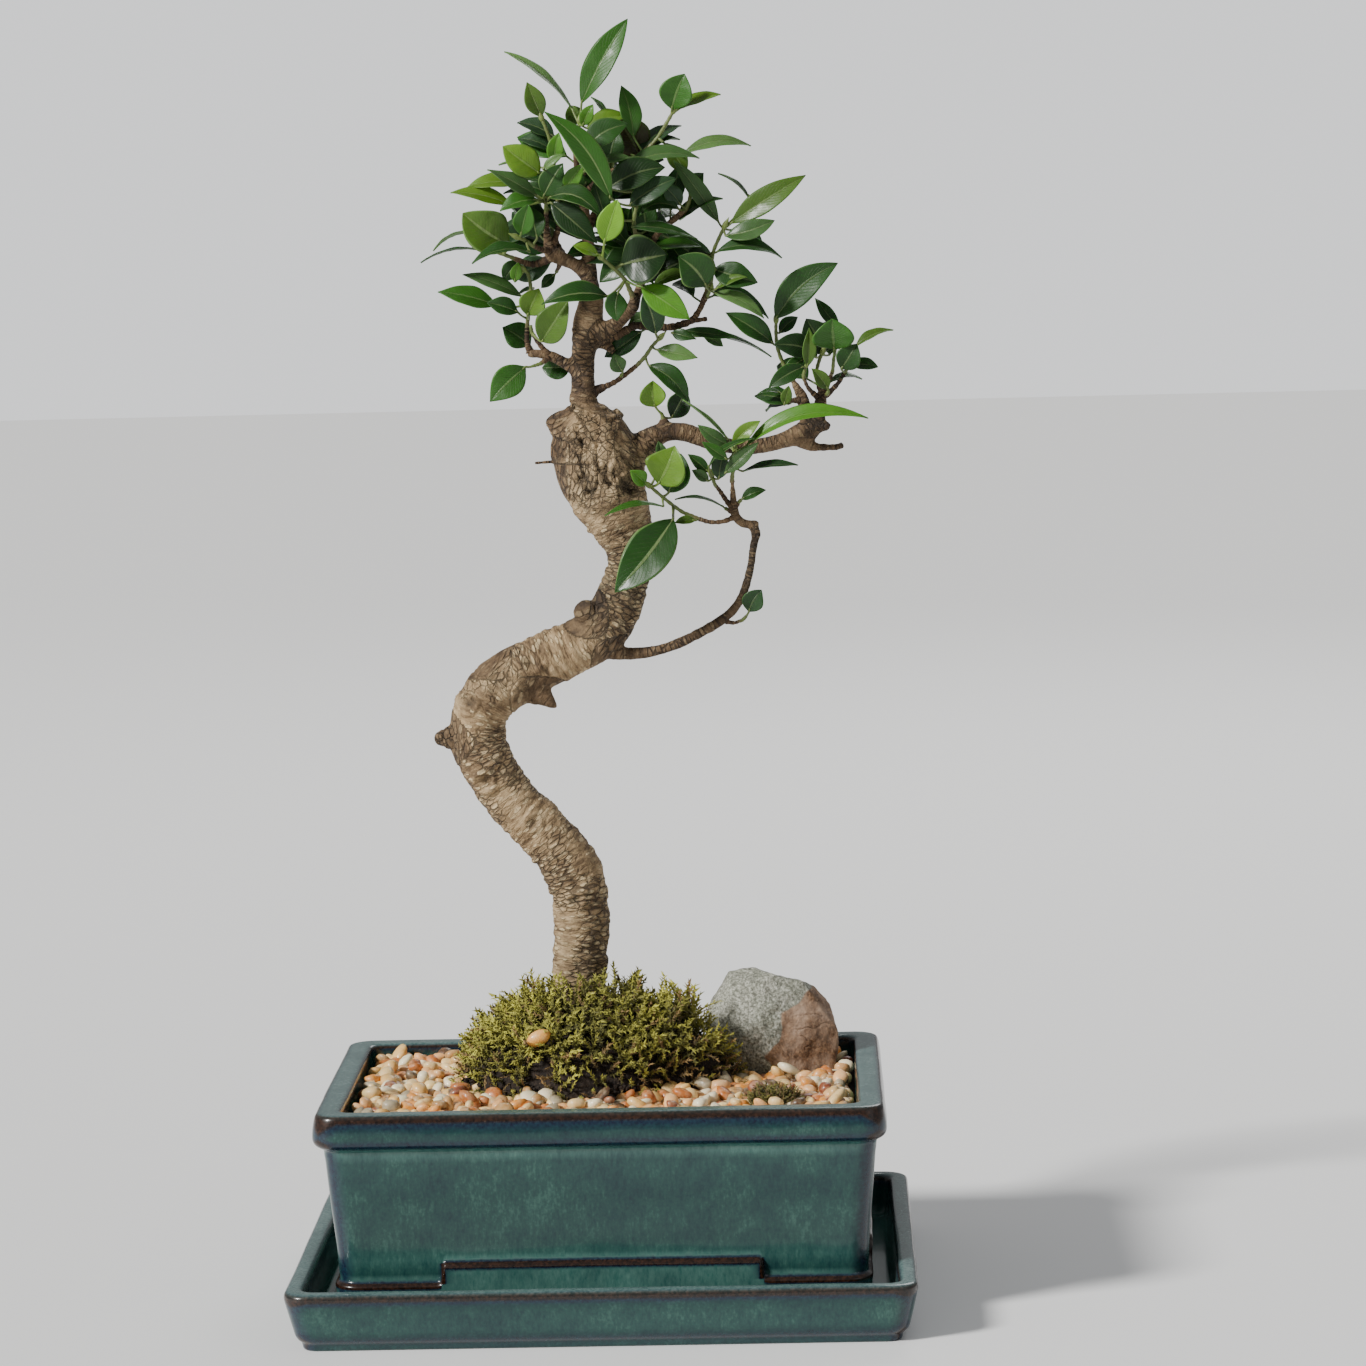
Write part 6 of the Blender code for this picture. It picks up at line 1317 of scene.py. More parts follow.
# each shoot: its twig, its stem's points, then its leaves as base, tip, width, arch and tilt
shoots = {
    "shoot_apex": ("leader", [(-1.8, 12, 423), (-1, 11.4, 428)], [
        (0, 12, 435.5, 17.4, 13, 465.3, 11.5, 1.5, 12),
        (-3.6, 14, 433.6, -28, 20, 454.8, 7, 3.2, 76),
        (0.4, 8, 427.4, 4.4, 6.5, 434.8, 5.2, 0.8, 10),
        (-1.6, 17, 428, -4.6, 18, 434.8, 7, 0.6, 10),
        (8.6, 25, 430, 2.8, 27, 437.8, 4, 0.6, 80),
        (1.8, 11.6, 426.4, 16, 15, 430.4, 8, 1.6, 52),
    ]),
    "shoot_left_top": ("twig_left_top", [
        (-9.6, 13.4, 400), (-10.4, 12.6, 407), (-10.8, 11.4, 413), (-10.8, 10.6, 418.6),
        (-12.5, 10, 425), (-14.2, 9.6, 429.6)], [
        (-14.5, 9.5, 430.8, -19.4, 8, 443.4, 7.6, 0.8, 8),
        (-10.6, 15, 423.6, -24, 19, 429, 8, 1.6, 48),
        (-10.8, 17, 418, -24, 21, 422.8, 7.5, 2.4, 55),
        (-15.4, 4.5, 410.6, -28.4, 2, 420.6, 11.5, 1.2, 14),
        (-17.5, 13, 413, -31, 15.5, 414, 6, 1.2, 82),
        (-13.8, -2.5, 412, -6, -4, 417.2, 3.4, 0.8, 30),
        (-10, 7.5, 414, -8.2, 6, 425, 6.2, 0.8, 8),
    ]),
    "shoot_left_bud": ("limb_left", [(-13.9, 9.8, 400.6)], [
        (-16.8, 4, 402.4, -34, -1, 412.4, 7.6, 2.6, 38),
        (-22.4, 10.5, 407, -42, 8, 406.2, 8, 2.2, 50),
        (-26.6, 8, 399.6, -48, 5, 404.4, 7, 1.6, 45),
        (-20.4, 14.5, 402, -26.6, 16.5, 408.8, 5.5, 0.5, 10),
        (-17.6, 12.6, 403, -29.4, 12.6, 403.6, 5, 1.2, 60),
        (-16.8, 4, 401, -30, 1.6, 397.4, 8, 1.8, 45),
        (-14.2, 4, 402.4, -6.8, 1.5, 414, 9.5, 1.0, 10),
        (-12, 2.6, 401.8, 7, -7.5, 394.4, 9.5, 4.6, 48),
        (-11.6, 1, 400, 5, -3.5, 385, 10, 1.4, 16),
    ]),
    "shoot_left_low": ("twig_left_low", [(-30, 11.6, 381.6), (-34, 9.6, 383)], [
        (-27.4, 5.6, 385, -43.5, 1, 397, 16.5, 1.6, 10),
        (-40, 14, 389.6, -56, 18, 383.4, 6, 2.2, 80),
        (-37, 6, 383.4, -59.6, 5, 379.5, 6, 2.6, 82),
        (-24.6, 17, 379, -30.6, 18, 372, 7, 0.6, 8),
    ]),
    "shoot_left_front": ("twig_left_front", [(-21, 3.4, 386.4), (-23.4, 1.6, 387.6)], [
        (-19.4, -3, 382.6, -40, -9, 379, 9, 3.4, 58),
        (-22.6, 0, 388.8, -19.4, -3, 399.8, 7.8, 0.8, 8),
        (-17, 4, 387.4, -19.4, 6.5, 398.4, 8.6, 0.8, 8),
    ]),
    "leaf_left_under": ("twig_left_under", [(-11.2, 20, 374.6)], [
        (-11.8, 20.6, 373.8, -17, 22, 368.8, 4.4, 0.6, 20),
    ]),
    "shoot_low_left": ("twig_ll_up", [
        (-21.8, 14.6, 358), (-20.9, 14.4, 363), (-20.4, 14.2, 368.6), (-21.2, 14, 374),
        (-22.4, 13, 375.6)], [
        (-33, 11.6, 363.2, -54, 9, 368.6, 9.5, 1.8, 30),
        (-25, 8.6, 360.6, -36, 6, 364.4, 7.2, 1.0, 18),
        (-24, 14.4, 366.2, -45, 12, 374.6, 7, 2.8, 42),
        (-26, 18.6, 360.4, -33, 20, 361.6, 4, 0.6, 50),
        (-21.4, 5.4, 359.6, -16.8, 3.4, 369.2, 10.2, 0.8, 6),
        (-26, 11.4, 371.6, -24.4, 10.4, 378.6, 4.4, 0.4, 6),
        (-19.6, 18.6, 369, -25.6, 20, 366.8, 4.4, 0.4, 55),
    ]),
    "shoot_low_left_front": ("twig_ll_front", [(-20.6, 9.6, 355.6)], [
        (-16.4, 4.4, 350, -6.2, -0.5, 364.6, 12.4, 1.4, 10),
    ]),
    "leaf_low_left_back": ("twig_ll_back", [(-21.4, 19.4, 347.4)], [
        (-21.6, 19.8, 348, -31.6, 21, 354.8, 10.5, 1.2, 16),
    ]),
    "leaf_low_left": ("twig_ll_leaf", [(-19.6, 11, 341)], [
        (-23, 9.8, 340.6, -36, 7, 328.4, 11.6, 1.6, 8),
    ]),
    "leaf_low_inner": ("twig_ll_inner", [(-6.4, 21.4, 340.8)], [
        (-7.2, 22, 340.6, -17.6, 23, 339.6, 9.6, 0.8, 8),
    ]),
    "shoot_centre_front": ("limb_centre", [
        (15.6, 7.4, 368.4), (14.4, 5, 371.4), (10.8, 0.4, 375.6), (6.6, -3, 379.6)], [
        (7.8, -8.4, 385.8, 13, -10.5, 400.6, 9.8, 1.0, 6),
        (5.6, -4.6, 380.6, -3.6, -6, 384.6, 6.4, 0.8, 40),
        (13.4, 1.4, 377, 30, -2, 380.4, 18.5, 2.4, 12),
        (20.6, 1.6, 369, 37.6, -2, 357, 10.4, 2.2, 16),
        (12, -0.6, 367.4, 11.4, -3.5, 357, 8.4, 0.8, 6),
        (8, 1, 365.8, -15.6, -4.5, 363.6, 9.4, 4.2, 40),
    ]),
    "shoot_up_right": ("limb_up_right", [(38.2, 13, 399.6), (38.6, 13.6, 402.6)], [
        (38, 19, 402, 43.4, 21.5, 409.2, 6.6, 0.6, 10),
        (34.4, 9.4, 396.4, 19.6, 8.5, 394.2, 8, 3.6, 52),
        (35, 10.6, 398, 28.2, 8.8, 405.6, 6.6, 0.8, 12),
        (37.2, 16.6, 409.6, 30.2, 18.6, 420.4, 7.4, 1.0, 12),
    ]),
    "shoot_centre_up": ("twig_centre_up", [(18, 8.2, 392.6), (19.2, 7.8, 398), (21.2, 7.4, 403)], [
        (17.4, 5, 390.4, 41, 3.6, 385.6, 7, 2.8, 50),
        (22, 17, 388.6, 31, 19, 385, 5, 0.6, 40),
        (17, 1.6, 398.6, 34, -0.5, 407.6, 9, 1.6, 24),
        (7.6, 6.2, 394.6, 4, 5.2, 407, 7.4, 0.8, 8),
        (10.6, -6.6, 401, -12.6, -9, 432.6, 9.8, 1.8, 14),
        (9.6, 1.2, 404.8, 30, 1.0, 411.6, 12, 1.8, 30),
    ]),
    "shoot_top_right": ("twig_top_right", [(27.2, 14.8, 422.4), (30.6, 14, 427.6),
                                           (32.8, 13.8, 431.2)], [
        (32.6, 12.4, 432.6, 37.6, 10.5, 445, 12.4, 1.0, 6),
        (35, 14.6, 432.4, 50.4, 16.5, 437.4, 7, 1.6, 56),
        (16.6, 5.0, 412.9, 42.4, 6, 414.6, 8, 3.0, 52),
        (23, 17, 416.2, 35.2, 19, 421.6, 8, 2.6, 60),
        (36, 11.6, 416, 61, 13, 418.6, 7, 3.8, 66),
        (20.4, 19.8, 415.6, 12.6, 22, 430, 15, 1.2, 8),
    ]),
    "shoot_top_mid": ("twig_top_mid", [(5, 6.8, 417.6)], [
        (1.4, 0.8, 418.8, 17, 1.2, 427.4, 10.5, 1.4, 18),
        (9.4, 9.6, 413.6, 13, 10.6, 425.4, 9, 0.8, 10),
        (6.8, 2, 414.4, 17.4, 0.5, 415.6, 4.4, 1.0, 40),
        (-6.4, 1.6, 404.4, 0.8, 0.2, 413.6, 6.2, 0.6, 10),
        (-1.6, 8.2, 412.6, -6.6, 9.4, 401.4, 8, 0.8, 8),
    ]),
    "shoot_right_mid": ("limb_right", [(44.4, 14.8, 369.4), (45.2, 14.4, 374), (46.4, 13.8, 380.6),
                                       (48.6, 13.2, 385.6), (50.3, 12.2, 389)], [
        (53.2, 11.6, 391, 80.6, 8.5, 407.6, 9.6, 2.2, 22),
        (51.2, 9, 386.4, 69, 6.4, 391.6, 8, 1.2, 30),
        (47.6, 10, 380.6, 71.4, 8.6, 378, 8, 4.8, 55),
        (54.6, 17.4, 388.6, 64.6, 18.6, 381.6, 7, 0.8, 10),
        (44.4, 17, 379.6, 21.8, 19, 369.8, 13, 3.4, 30),
        (48.4, 15.4, 391.6, 32.8, 12.5, 414, 7, 1.2, 24),
        (59.6, 22.4, 400, 48.6, 25, 409, 4, 1.0, 84),
    ]),
    "shoot_right_low": ("twig_right_low", [(45, 9.8, 367)], [
        (46.6, 6.4, 374.4, 62.4, 3, 369.4, 10, 1.8, 20),
        (43.8, 4.6, 368.6, 34, 1.5, 379.6, 14, 1.2, 8),
        (37.6, 9, 372.8, 24.4, 9.8, 369.2, 6, 1.4, 40),
        (48, 12, 367.8, 66, 14, 356, 6, 2.4, 40),
        (46.6, 7, 366, 64.4, 5, 356.4, 6, 2.2, 28),
        (47.4, 3.6, 367.6, 58.6, 0.6, 371.6, 4.6, 1.0, 50),
    ]),
    "shoot_right_thin": ("twig_right_thin", [(33.8, 11.4, 351.8)], [
        (35, 10, 352.4, 55, 9, 349.4, 5.5, 1.4, 48),
        (35.6, 14.4, 351, 66.8, 16, 342, 5, 3.4, 66),
        (42, 18, 350, 49, 20, 346, 5, 0.6, 24),
        (30.6, 10.4, 351.8, 39.6, 7, 349.4, 4.6, 0.8, 30),
    ]),
    "shoot_inner_right": ("limb_inner", [(20.6, 14.8, 343.2), (23.2, 14.4, 346.8),
                                         (25.6, 13.8, 349.3)], [
        (24.8, 11, 351.6, 20.6, 7, 366, 9, 1.0, 8),
        (22.6, 21, 357.4, 14.4, 22.4, 354.6, 5.6, 0.6, 26),
        (25.2, 10.2, 345.8, 40, 6.6, 342.6, 7, 1.4, 38),
        (22, 11.6, 340, 36, 10, 326.6, 8.4, 4.2, 30),
    ]),
    "leaf_inner_small": ("twig_inner", [(12, 12.2, 337)], [
        (12.4, 11.6, 338, 9.6, 10, 344.8, 6.4, 0.6, 6),
    ]),
    "shoot_end_left": ("spur_left", [(72.2, 18.4, 336.6), (70.2, 18.8, 341), (68.8, 18.4, 346),
                                     (68.5, 17.8, 351), (68.6, 17.2, 354.4)], [
        (68.6, 16, 356, 91.6, 12.6, 375.6, 12, 2.0, 14),
        (67.4, 14.6, 346.8, 50.4, 11.6, 358.6, 8.6, 2.4, 26),
        (69.8, 21, 350.4, 76.6, 23, 356, 5.4, 0.6, 16),
    ]),
    "shoot_end_low": ("spur_low", [(71.4, 14, 325.6)], [
        (69.8, 16, 328.6, 61.4, 15, 328.6, 4.2, 1.0, 68),
        (71, 11.6, 324.6, 72.8, 10, 331.6, 4.2, 0.4, 8),
    ]),
    "shoot_end_mid": ("twig_end_mid", [(78.8, 11.6, 337.4), (80, 11, 340.6)], [
        (82.4, 14.4, 343.6, 67.6, 10.6, 346.6, 9.4, 1.6, 18),
        (79.6, 8, 338.4, 80.6, 6.6, 352.6, 5.2, 0.6, 8),
        (78.4, 14.4, 341, 70.8, 13, 336.6, 5.2, 0.6, 14),
        (78.4, 8.6, 338.4, 65.4, 5, 331, 6.8, 1.8, 34),
    ]),
    "shoot_end_back": ("twig_end_back", [(83.8, 17, 339.4), (85, 17.4, 342.4)], [
        (85.8, 18.6, 342.6, 79.6, 15.6, 355.6, 12.4, 1.0, 8),
        (88, 23, 342, 94, 33, 347, 10, 1.4, 60),
        (83, 23, 341, 76, 34, 344, 9.6, 1.4, 58),
        (86.4, 24, 346, 90.6, 31, 354, 9.6, 1.0, 36),
    ]),
    "shoot_end_heart": ("twig_end_heart", [(89.3, 12, 340.6)], [
        (89.6, 8.4, 344.6, 89, 3, 355.8, 15.6, 1.2, 10),
        (91.6, 18.4, 351, 83, 21.6, 362.8, 5, 1.4, 22),
    ]),
    "shoot_end_right": ("twig_end_right", [(95, 15, 338.4)], [
        (92, 9, 337.4, 97.8, 7, 346.4, 9.4, 0.8, 8),
        (95.4, 11.6, 338.4, 105.4, 10, 337.6, 5.6, 0.8, 38),
        (97.6, 18, 345, 111.4, 20.5, 350.6, 6, 1.8, 62),
    ]),
    "leaf_end_front": ("twig_end_front", [(87.2, 10.4, 329.2)], [
        (87, 9.6, 330, 81.2, 7, 337.8, 5.4, 0.6, 8),
    ]),
    "shoot_low_end": ("branch_low", [(52, 8.4, 302.6), (52.6, 7.4, 308.4)], [
        (57, 6.6, 310.4, 101.4, 2, 319.6, 8, 7.4, 50),
        (52, 5.4, 310.8, 62.2, 3.6, 319.4, 5.8, 0.8, 16),
        (50.4, 9.6, 310.4, 39.4, 7.8, 318.2, 5.4, 0.8, 26),
        (50, 11.6, 312.8, 34, 13, 327.4, 3.2, 0.6, 80),
        (50, 0, 306, 41, -2, 312.6, 4.6, 0.6, 16),
        (49, 2.4, 300.8, 61.4, 0.4, 311.8, 5.4, 0.8, 18),
        (55.4, 7.6, 301, 75.6, 5, 303, 6, 2.4, 55),
    ]),
    "shoot_low_mid": ("twig_low_mid", [(44.2, 12.6, 298.4)], [
        (43, 7, 302.8, 60, -0.4, 313.4, 5, 3.2, 62),
        (46.6, 9, 298.4, 49, 7.4, 308.6, 6.4, 0.6, 6),
        (42.8, 13.6, 300.6, 35.4, 13.6, 307.2, 4.6, 0.6, 20),
        (42.6, 11.6, 297.4, 36.8, 10.4, 301.6, 4, 0.6, 20),
    ]),
    "shoot_low_left_twig": ("twig_low_left", [
        (36, 15, 284.6), (33, 14.4, 286), (29.6, 13.2, 288.6), (25.8, 11, 292), (21.6, 8.4, 296)], [
        (24.6, 4.6, 297.4, 31, 2, 311.2, 16, 1.4, 8),
        (28.2, 9, 293.8, 33, 9, 307.8, 12.8, 1.0, 8),
        (20, 5.4, 297.4, 14.8, -0.4, 302.8, 6, 0.6, 8),
        (26.4, 8.6, 306.6, 24.8, 7.6, 312.6, 4, 0.4, 8),
        (26.2, 5.6, 289, 5, -2.6, 286.6, 5, 2.6, 74),
        (29.6, 6, 284.2, 8, -2.6, 258.6, 17, 3.0, 16),
        (37.6, 12.6, 283, 30, 10.6, 282.4, 3.6, 0.6, 30),
    ]),
    "leaf_low_right": ("twig_low_right", [(54.4, 13.6, 290)], [
        (54.8, 13.4, 290.4, 63.6, 12, 293.6, 4.8, 0.8, 28),
    ]),
    "leaf_low_thin": ("twig_low_thin", [(48.6, 17.2, 286.8)], [
        (47.6, 17.6, 287.6, 30, 19.6, 290.4, 3.4, 2.0, 80),
    ]),
    "leaf_low_branch": ("twig_low_leaf", [(55.2, 14.8, 247)], [
        (56.4, 14, 249, 61.2, 12.6, 257, 8.2, 0.8, 6),
    ]),
    "shoot_branch_top": ("branch_knob", [(26.2, 13.8, 322.2)], [
        (24, 11.6, 325, 23.4, 9.6, 334.6, 9.8, 0.8, 4),
        (29.6, 16.6, 320.6, 35, 18, 330.4, 8.8, 0.8, 6),
    ]),
    "shoot_back_top": ("limb_back_top", [(8, 30.6, 406.8), (9.2, 33, 412.2)], [
        (6.4, 34, 413.6, -5, 40, 422, 12, 1.4, 40),
        (10.4, 35, 414.4, 17, 43, 424, 13, 1.4, 34),
        (9.4, 36, 410.4, 18, 52, 410, 11, 2.4, 76),
        (6, 33, 407.4, -8, 43, 409, 11, 2.0, 70),
        (10.4, 31.6, 405.6, 24, 36, 403, 12, 1.6, 60),
    ]),
    "shoot_back_left": ("limb_back_left", [(-13.4, 31.4, 391.6), (-14.6, 33.4, 396)], [
        (-16.6, 34, 397, -28, 38, 394, 12, 1.6, 56),
        (-13, 35.4, 397.6, -6, 49, 402, 11, 1.8, 62),
        (-16, 35, 395, -20, 52, 391, 12, 2.4, 82),
        (-11.4, 32, 389.6, 2, 38, 388, 12, 1.6, 60),
        (-15.4, 31.6, 390.4, -24, 36, 384, 10, 1.0, 30),
    ]),
    "shoot_back_right": ("limb_back_right", [(26, 30, 388.6), (26.4, 32.6, 393)], [
        (27.6, 33, 393, 34, 44, 392, 11, 1.8, 72),
        (24.6, 33, 394.4, 15, 42, 396, 11, 1.6, 66),
        (28, 30.6, 387, 38, 36, 378, 11, 1.4, 36),
        (24, 31, 387.6, 13, 37, 381, 11, 1.4, 40),
    ]),
}

# leaf tones, partly each leaf's own green and partly painted light: pale grey g stands for gloss sheen,
# bright b and l for backlit glow, near-black v and k for leaves deep in shade
tones = {"v": (0.008, 0.030, 0.005), "d": (0.016, 0.062, 0.008), "m": (0.032, 0.118, 0.011),
         "o": (0.062, 0.130, 0.013), "b": (0.075, 0.220, 0.015), "l": (0.150, 0.330, 0.020),
         "y": (0.115, 0.230, 0.018), "g": (0.048, 0.112, 0.028), "p": (0.095, 0.190, 0.050),
         "k": (0.018, 0.054, 0.016), "n": (0.045, 0.038, 0.010)}
# one letter for each leaf in order; a capital has a pale rim and midrib
looks = {"shoot_apex": "mpbogy", "shoot_left_top": "okkyppb", "shoot_left_bud": "gyyodmDDv",
         "shoot_left_low": "Opkd", "shoot_left_front": "dmd", "shoot_low_left": "mdgpybg",
         "shoot_low_left_front": "o", "leaf_low_left": "m", "shoot_centre_front": "lyVbdD",
         "shoot_up_right": "ddko", "shoot_centre_up": "ddkdMv", "shoot_top_right": "mygvpn",
         "shoot_top_mid": "ddgbd", "shoot_right_mid": "ogddvgd", "shoot_right_low": "dDodpo",
         "shoot_right_thin": "ddgd", "shoot_inner_right": "Kgpd", "leaf_inner_small": "g",
         "shoot_end_left": "ddk", "shoot_end_low": "do", "shoot_end_mid": "vodd",
         "shoot_end_back": "vmdd", "shoot_end_heart": "md", "shoot_end_right": "ddo",
         "leaf_end_front": "o", "shoot_low_end": "bygpmgk", "shoot_low_mid": "Dkdg",
         "shoot_low_left_twig": "ydbgmDo", "leaf_low_branch": "k", "shoot_branch_top": "yv",
         "shoot_back_top": "mdmdm", "shoot_back_left": "dmdmd", "shoot_back_right": "mdmd"}
# more leaves inside the crown: the limb that they grow from, their length and how many
inner = (("leader", 1.0, 9), ("limb_left", 0.9, 6), ("limb_up_right", 0.95, 8),
         ("twig_top_right", 0.9, 5), ("limb_back_top", 1.0, 5), ("limb_back_left", 1.0, 4),
         ("limb_back_right", 1.0, 5), ("twig_centre_up", 0.9, 4), ("spur_left", 0.7, 2),
         ("twig_end_back", 0.7, 2), ("limb_right", 0.9, 3))
foliage = {"rows": 19, "thickness": 0.36, "fold": 0.30, "petiole": 0.42, "stem": 0.85}


def bladeShape(leaf, generator):
    # a folded, arched blade: its outline widens fast from the stalk and narrows to a point
    base, tip = np.array(leaf[:3], float), np.array(leaf[3:6], float)
    width, arch, tilt = leaf[6:]
    reach = tip - base
    along = unit(reach)
    face = np.array((0, -math.cos(math.radians(tilt)), math.sin(math.radians(tilt))))
    face = unit(face - along * face.dot(along))
    u = np.linspace(0, 1, foliage["rows"])[:, None]
    bow = generator.normal(0, 0.035) * np.linalg.norm(reach)
    middle = base + reach * u + face * 4 * arch * u * (1 - u)
    middle = middle + np.cross(along, face) * bow * np.sin(np.pi * u)
    slope = unit(np.gradient(middle, axis=0))
    up = unit(face - slope * (slope @ face)[:, None])
    across = np.cross(slope, up)
    twist = generator.normal(0, 0.10) + (u - 0.5) * generator.normal(0, 0.35)
    across, up = (across * np.cos(twist) + up * np.sin(twist),
                  up * np.cos(twist) - across * np.sin(twist))
    outline = np.sin(np.pi * np.clip(u, 0, 1) ** 0.87) ** generator.uniform(0.8, 0.98)
    half = np.maximum(width / 2 * np.nan_to_num(outline), 0.10 + 0.30 * (1 - u) ** 3)
    lateral = np.array([1, 0.86, 0.6, 0.3, 0.09, 0, -0.09, -0.3, -0.6, -0.86, -1])
    full = np.concatenate([lateral, lateral[-2:0:-1]])
    upper = np.concatenate([[0.5], np.ones(9), [0.5], np.zeros(9)])
    thick = foliage["thickness"] * (0.5 + 0.5 * (1 - np.abs(full) ** 2))
    lift = np.where(upper == 1, 0.5, np.where(upper == 0, -0.5, 0.0)) * thick
    lift = lift - 0.16 * np.exp(-(full / 0.1) ** 2) * np.where(upper == 1, 1, 1.4)
    cup = foliage["fold"] * generator.uniform(0.35, 1.25)
    waves = generator.uniform(0, 6.28)
    wave = (0.045 * np.sin(2 * np.pi * 2.3 * u + waves + np.sign(full) * 1.1)
            * np.abs(full) ** 2 * np.sin(np.pi * u))
    rise = half * (cup * np.abs(full) ** 1.35 + wave) + lift
    bulge = 0.02 * half * np.sin(2 * np.pi * (u * 5.5 - np.abs(full) * 0.9)) * (1 - full ** 2)
    rise = rise + bulge
    points = (middle[:, None] + across[:, None] * (half * full)[..., None]
              + up[:, None] * rise[..., None])
    rows, columns = foliage["rows"], len(full)
    grain = np.stack(np.broadcast_arrays(u, full[None], upper[None]), axis=-1).reshape(-1, 3)
    return points.reshape(-1, 3), gridQuads(rows, columns), grain, (rows, columns)


def fillCrown(blades, stems, grains, generator):
    # leaves without a place of their own in the table, so that the crown isn't see-through
    for name, spread, number in inner:
        path, _ = woodPath(name)
        for _ in range(number):
            foot = path[int(generator.uniform(0.35, 0.98) * (len(path) - 1))]
            angle = generator.uniform(0, 2 * np.pi)
            out = unit(np.array((np.cos(angle), 0.55 + 0.5 * np.sin(angle),
                                 generator.uniform(-0.35, 0.8))))
            base = foot + out * generator.uniform(3.5, 7.0)
            length = generator.uniform(16, 25)
            tip = base + unit(out + generator.normal(0, 0.25, 3)) * length * spread
            tip[2] = min(tip[2], 452)
            leaf = (*base, *tip, length * generator.uniform(0.40, 0.5), 1.6,
                    generator.uniform(10, 75))
            points, quads, grain, (rows, columns) = bladeShape(leaf, generator)
            # the inner leaves take mostly dark tones: painted shade deep in the crown
            tone = np.array(tones[generator.choice(list("vddkm"))])
            blades.add(points, quads, capLoops(rows, columns))
            blades.marks.append(np.hstack([np.broadcast_to(tone, points.shape),
                                           np.full((len(points), 1), 0.3)]))
            grains.append(grain)
            slope = unit(points.reshape(rows, columns, 3)[2].mean(axis=0) - base)
            route = curveThrough([foot, (foot + base) / 2, base, base + slope * 1.4], 9)
            points, quads = tubeShape(route, np.full(9, foliage["petiole"]), 6)
            stems.add(points, quads, capLoops(9, 6), np.clip(tone + (0.05, 0.07, 0.02), 0, 1))


def makeLeaves():
    generator = np.random.default_rng(77)
    blades, stems = Heap(), Heap()
    grains = []
    names = []
    for name, (twig, stemPoints, leaves) in shoots.items():
        names.append(name)
        end, before = np.array(wood[twig][-1][:3]), np.array(wood[twig][-2][:3])
        ahead = unit(end - before)
        line = [end - ahead * 1.2, end + ahead * 0.4, *[np.array(point, float)
                                                         for point in stemPoints]]
        joints = np.array(line[1:])
        count = 6 * (len(line) - 1) + 1
        path = curveThrough(line, count)
        share = np.linspace(0, 1, count)
        woody = wood[twig][-1][3]
        radii = woody * (1 - share) ** 2 + foliage["stem"] * (1 - (1 - share) ** 2)
        radii = radii * (1 - 0.25 * share) * (1 + 0.10 * np.sin(share * 9 * len(line)))
        points, quads = tubeShape(path, radii, 10)
        young = np.repeat(smoothStep(0.0, 0.55, share), 10)[:, None]
        shade = np.array((0.14, 0.095, 0.045)) * (1 - young) + np.array((0.13, 0.19, 0.04)) * young
        stems.add(points, quads, capLoops(count, 10))
        stems.marks.append(shade)
        top = path[-1]
        rise = unit(path[-1] - path[-4])
        if len(leaves) > 2 or len(stemPoints) > 2:
            tall = generator.uniform(3.4, 5.2)
            budLine = top + rise * np.linspace(-0.6, tall, 9)[:, None]
            budSize = np.array([0.55, 0.85, 1.05, 1.1, 0.98, 0.78, 0.5, 0.26, 0.08])
            points, quads = tubeShape(budLine, budSize, 10)
            stems.add(points, quads, capLoops(9, 10), (0.20, 0.29, 0.06))
        for order, leaf in enumerate(leaves):
            code = looks.get(name, "dmdmdmdm")[order]
            points, quads, grain, (rows, columns) = bladeShape(leaf, generator)
            loops = capLoops(rows, columns)
            tone = np.array(tones[code.lower()]) * generator.uniform(0.88, 1.12)
            edge = 1.0 if code.isupper() else generator.uniform(0.05, 0.45)
            # painted light: one half of each blade is lighter and the other darker, as light falls
            # across the fold
            half = np.where(grain[:, 1] > 0, 1.06, 0.95)[:, None]
            ends = 0.90 + 0.25 * grain[:, :1] ** 2
            shade = np.clip(tone * half * ends, 0, 1)
            blades.add(points, quads, loops)
            blades.marks.append(np.hstack([shade, np.full((len(points), 1), edge)]))
            grains.append(grain)
            base, tip = np.array(leaf[:3], float), np.array(leaf[3:6], float)
            foot = joints[np.argmin(np.linalg.norm(joints - base, axis=1))]
            away = base - foot
            sag = np.array((0, 0, -0.06)) * np.linalg.norm(away)
            slope = unit(points.reshape(rows, columns, 3)[2].mean(axis=0) - base)
            route = curveThrough([foot, foot + away * 0.55 + sag, base, base + slope * 1.4], 13)
            thick = foliage["petiole"] * (0.8 + leaf[6] / 40) * np.array(
                [1.4, 1.25, 1.1, 1, 0.95, 0.95, 0.95, 1, 1, 0.95, 0.9, 0.75, 0.5])
            points, quads = tubeShape(route, thick, 8)
            green = tone * 0.6 + np.array((0.10, 0.13, 0.035))
            stems.add(points, quads, capLoops(13, 8), np.clip(green, 0, 1))
    fillCrown(blades, stems, grains, generator)
    points, quads, loops, marks = blades.shape()
    piece = makePiece("leafBlades", points, quads, leafWax, loops, marks, np.vstack(grains))
    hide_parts(*names)
    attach(piece, "root")
    print("leaves:", len(grains), "blades,", len(quads), "faces")
    points, quads, loops, marks = stems.shape()
    piece = makePiece("shootStems", points, quads, stemGreen, loops, marks)
    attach(piece, "root")


makeLeaves()


# floor, light and camera

room = {"floorHalf": 6000.0, "floor": (0.93, 0.935, 0.94), "wall": (0.975, 0.985, 1.0, 1.0),
        "light": 0.26, "seen": 1.12}
view = {"pitch": 6.62, "yaw": -1.61, "roll": -1.40, "lens": 119.3,
        "place": (0.078, -1.639, 0.415)}


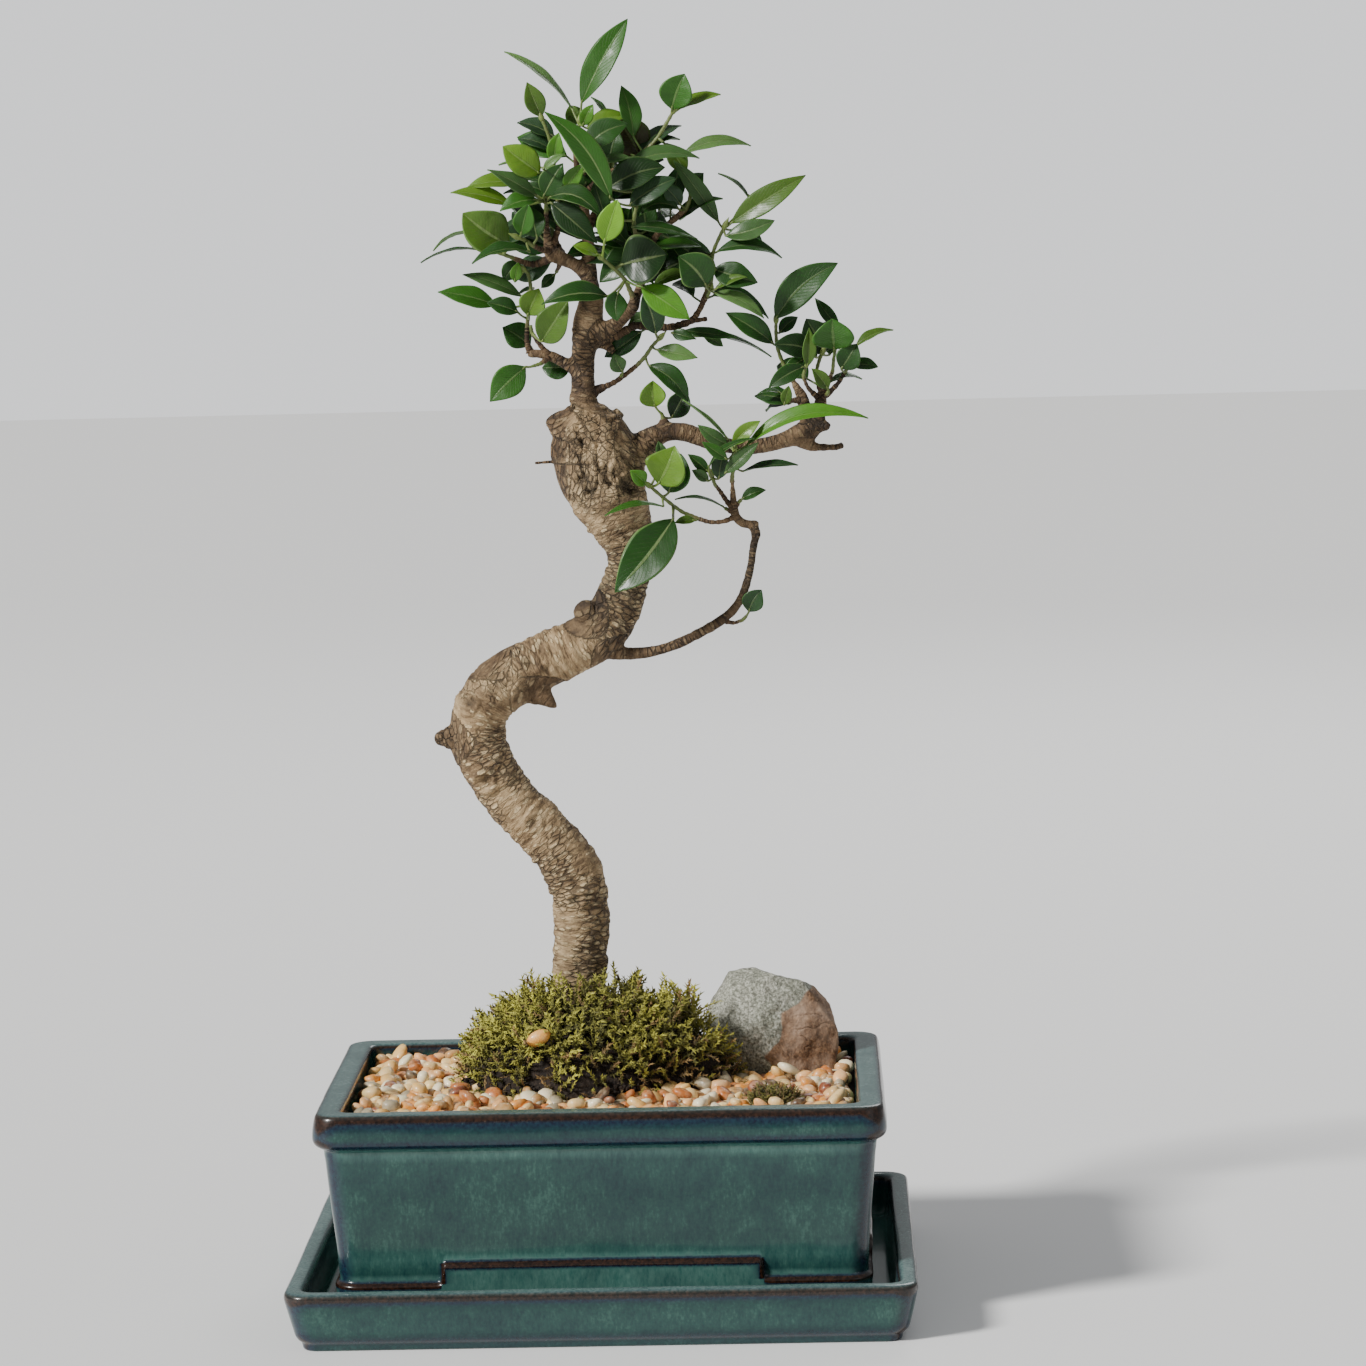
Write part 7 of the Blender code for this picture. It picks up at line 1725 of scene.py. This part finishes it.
def makeStage():
    # a wide floor under an even sky, which the camera sees brighter than it lights
    half = room["floorHalf"]
    points = np.array([(-half, -half, 0), (half, -half, 0), (half, half, 0), (-half, half, 0)])
    paint = Paint("paleFloor", 0.7)
    paint.colour(room["floor"])
    floor = makePiece("paleFloor", points, np.array([[0, 1, 2, 3]]), paint.material)
    world = bpy.data.worlds.new("paleRoom")
    world.use_nodes = True
    tree = world.node_tree
    tree.nodes["Background"].inputs[0].default_value = room["wall"]
    seen = tree.nodes.new("ShaderNodeLightPath")
    level = tree.nodes.new("ShaderNodeMapRange")
    level.inputs["To Min"].default_value = room["light"]
    level.inputs["To Max"].default_value = room["seen"]
    tree.links.new(seen.outputs["Is Camera Ray"], level.inputs["Value"])
    tree.links.new(level.outputs[0], tree.nodes["Background"].inputs[1])
    bpy.context.scene.world = world


def makeLamp(name, place, target, size, power, colour=(1.0, 1.0, 1.0)):
    data = bpy.data.lights.new(name, "AREA")
    data.shape = "DISK"
    data.size = size
    data.energy = power
    data.color = colour
    lamp = bpy.data.objects.new(name, data)
    direction = Vector(target) - Vector(place)
    lamp.matrix_world = (Matrix.Translation(Vector(place))
                         @ direction.to_track_quat("-Z", "Y").to_matrix().to_4x4())
    bpy.context.scene.collection.objects.link(lamp)


def makeSun(name, place, spread, strength, colour):
    data = bpy.data.lights.new(name, "SUN")
    data.angle = math.radians(spread)
    data.energy = strength
    data.color = colour
    lamp = bpy.data.objects.new(name, data)
    lamp.matrix_world = (-Vector(place)).to_track_quat("-Z", "Y").to_matrix().to_4x4()
    bpy.context.scene.collection.objects.link(lamp)


def makeCamera():
    pitch, yaw, roll = (math.radians(view[angle]) for angle in ("pitch", "yaw", "roll"))
    ahead = Vector((math.sin(yaw) * math.cos(pitch), math.cos(yaw) * math.cos(pitch),
                    -math.sin(pitch)))
    right = Vector((math.cos(yaw), -math.sin(yaw), 0))
    up = right.cross(ahead)
    right, up = (right * math.cos(roll) + up * math.sin(roll),
                 up * math.cos(roll) - right * math.sin(roll))
    data = bpy.data.cameras.new("mainView")
    data.lens = view["lens"]
    data.sensor_width = 36.0
    data.clip_end = 40.0
    camera = bpy.data.objects.new("mainView", data)
    turn = Matrix((right, up, -ahead)).transposed().to_4x4()
    camera.matrix_world = Matrix.Translation(Vector(view["place"])) @ turn
    bpy.context.scene.collection.objects.link(camera)
    bpy.context.scene.camera = camera


makeStage()
makeSun("keyWindow", (-1.55, -1.05, 1.15), 10.0, 5.0, (1.0, 0.985, 0.955))
makeLamp("softFill", (1.5, -1.2, 0.9), (0, 0, 0.2), 1.3, 2, (0.97, 0.98, 1.0))
makeLamp("backGlow", (0.5, 1.7, 1.3), (0, 0, 0.3), 0.9, 7)
makeCamera()

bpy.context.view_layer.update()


print("ready")
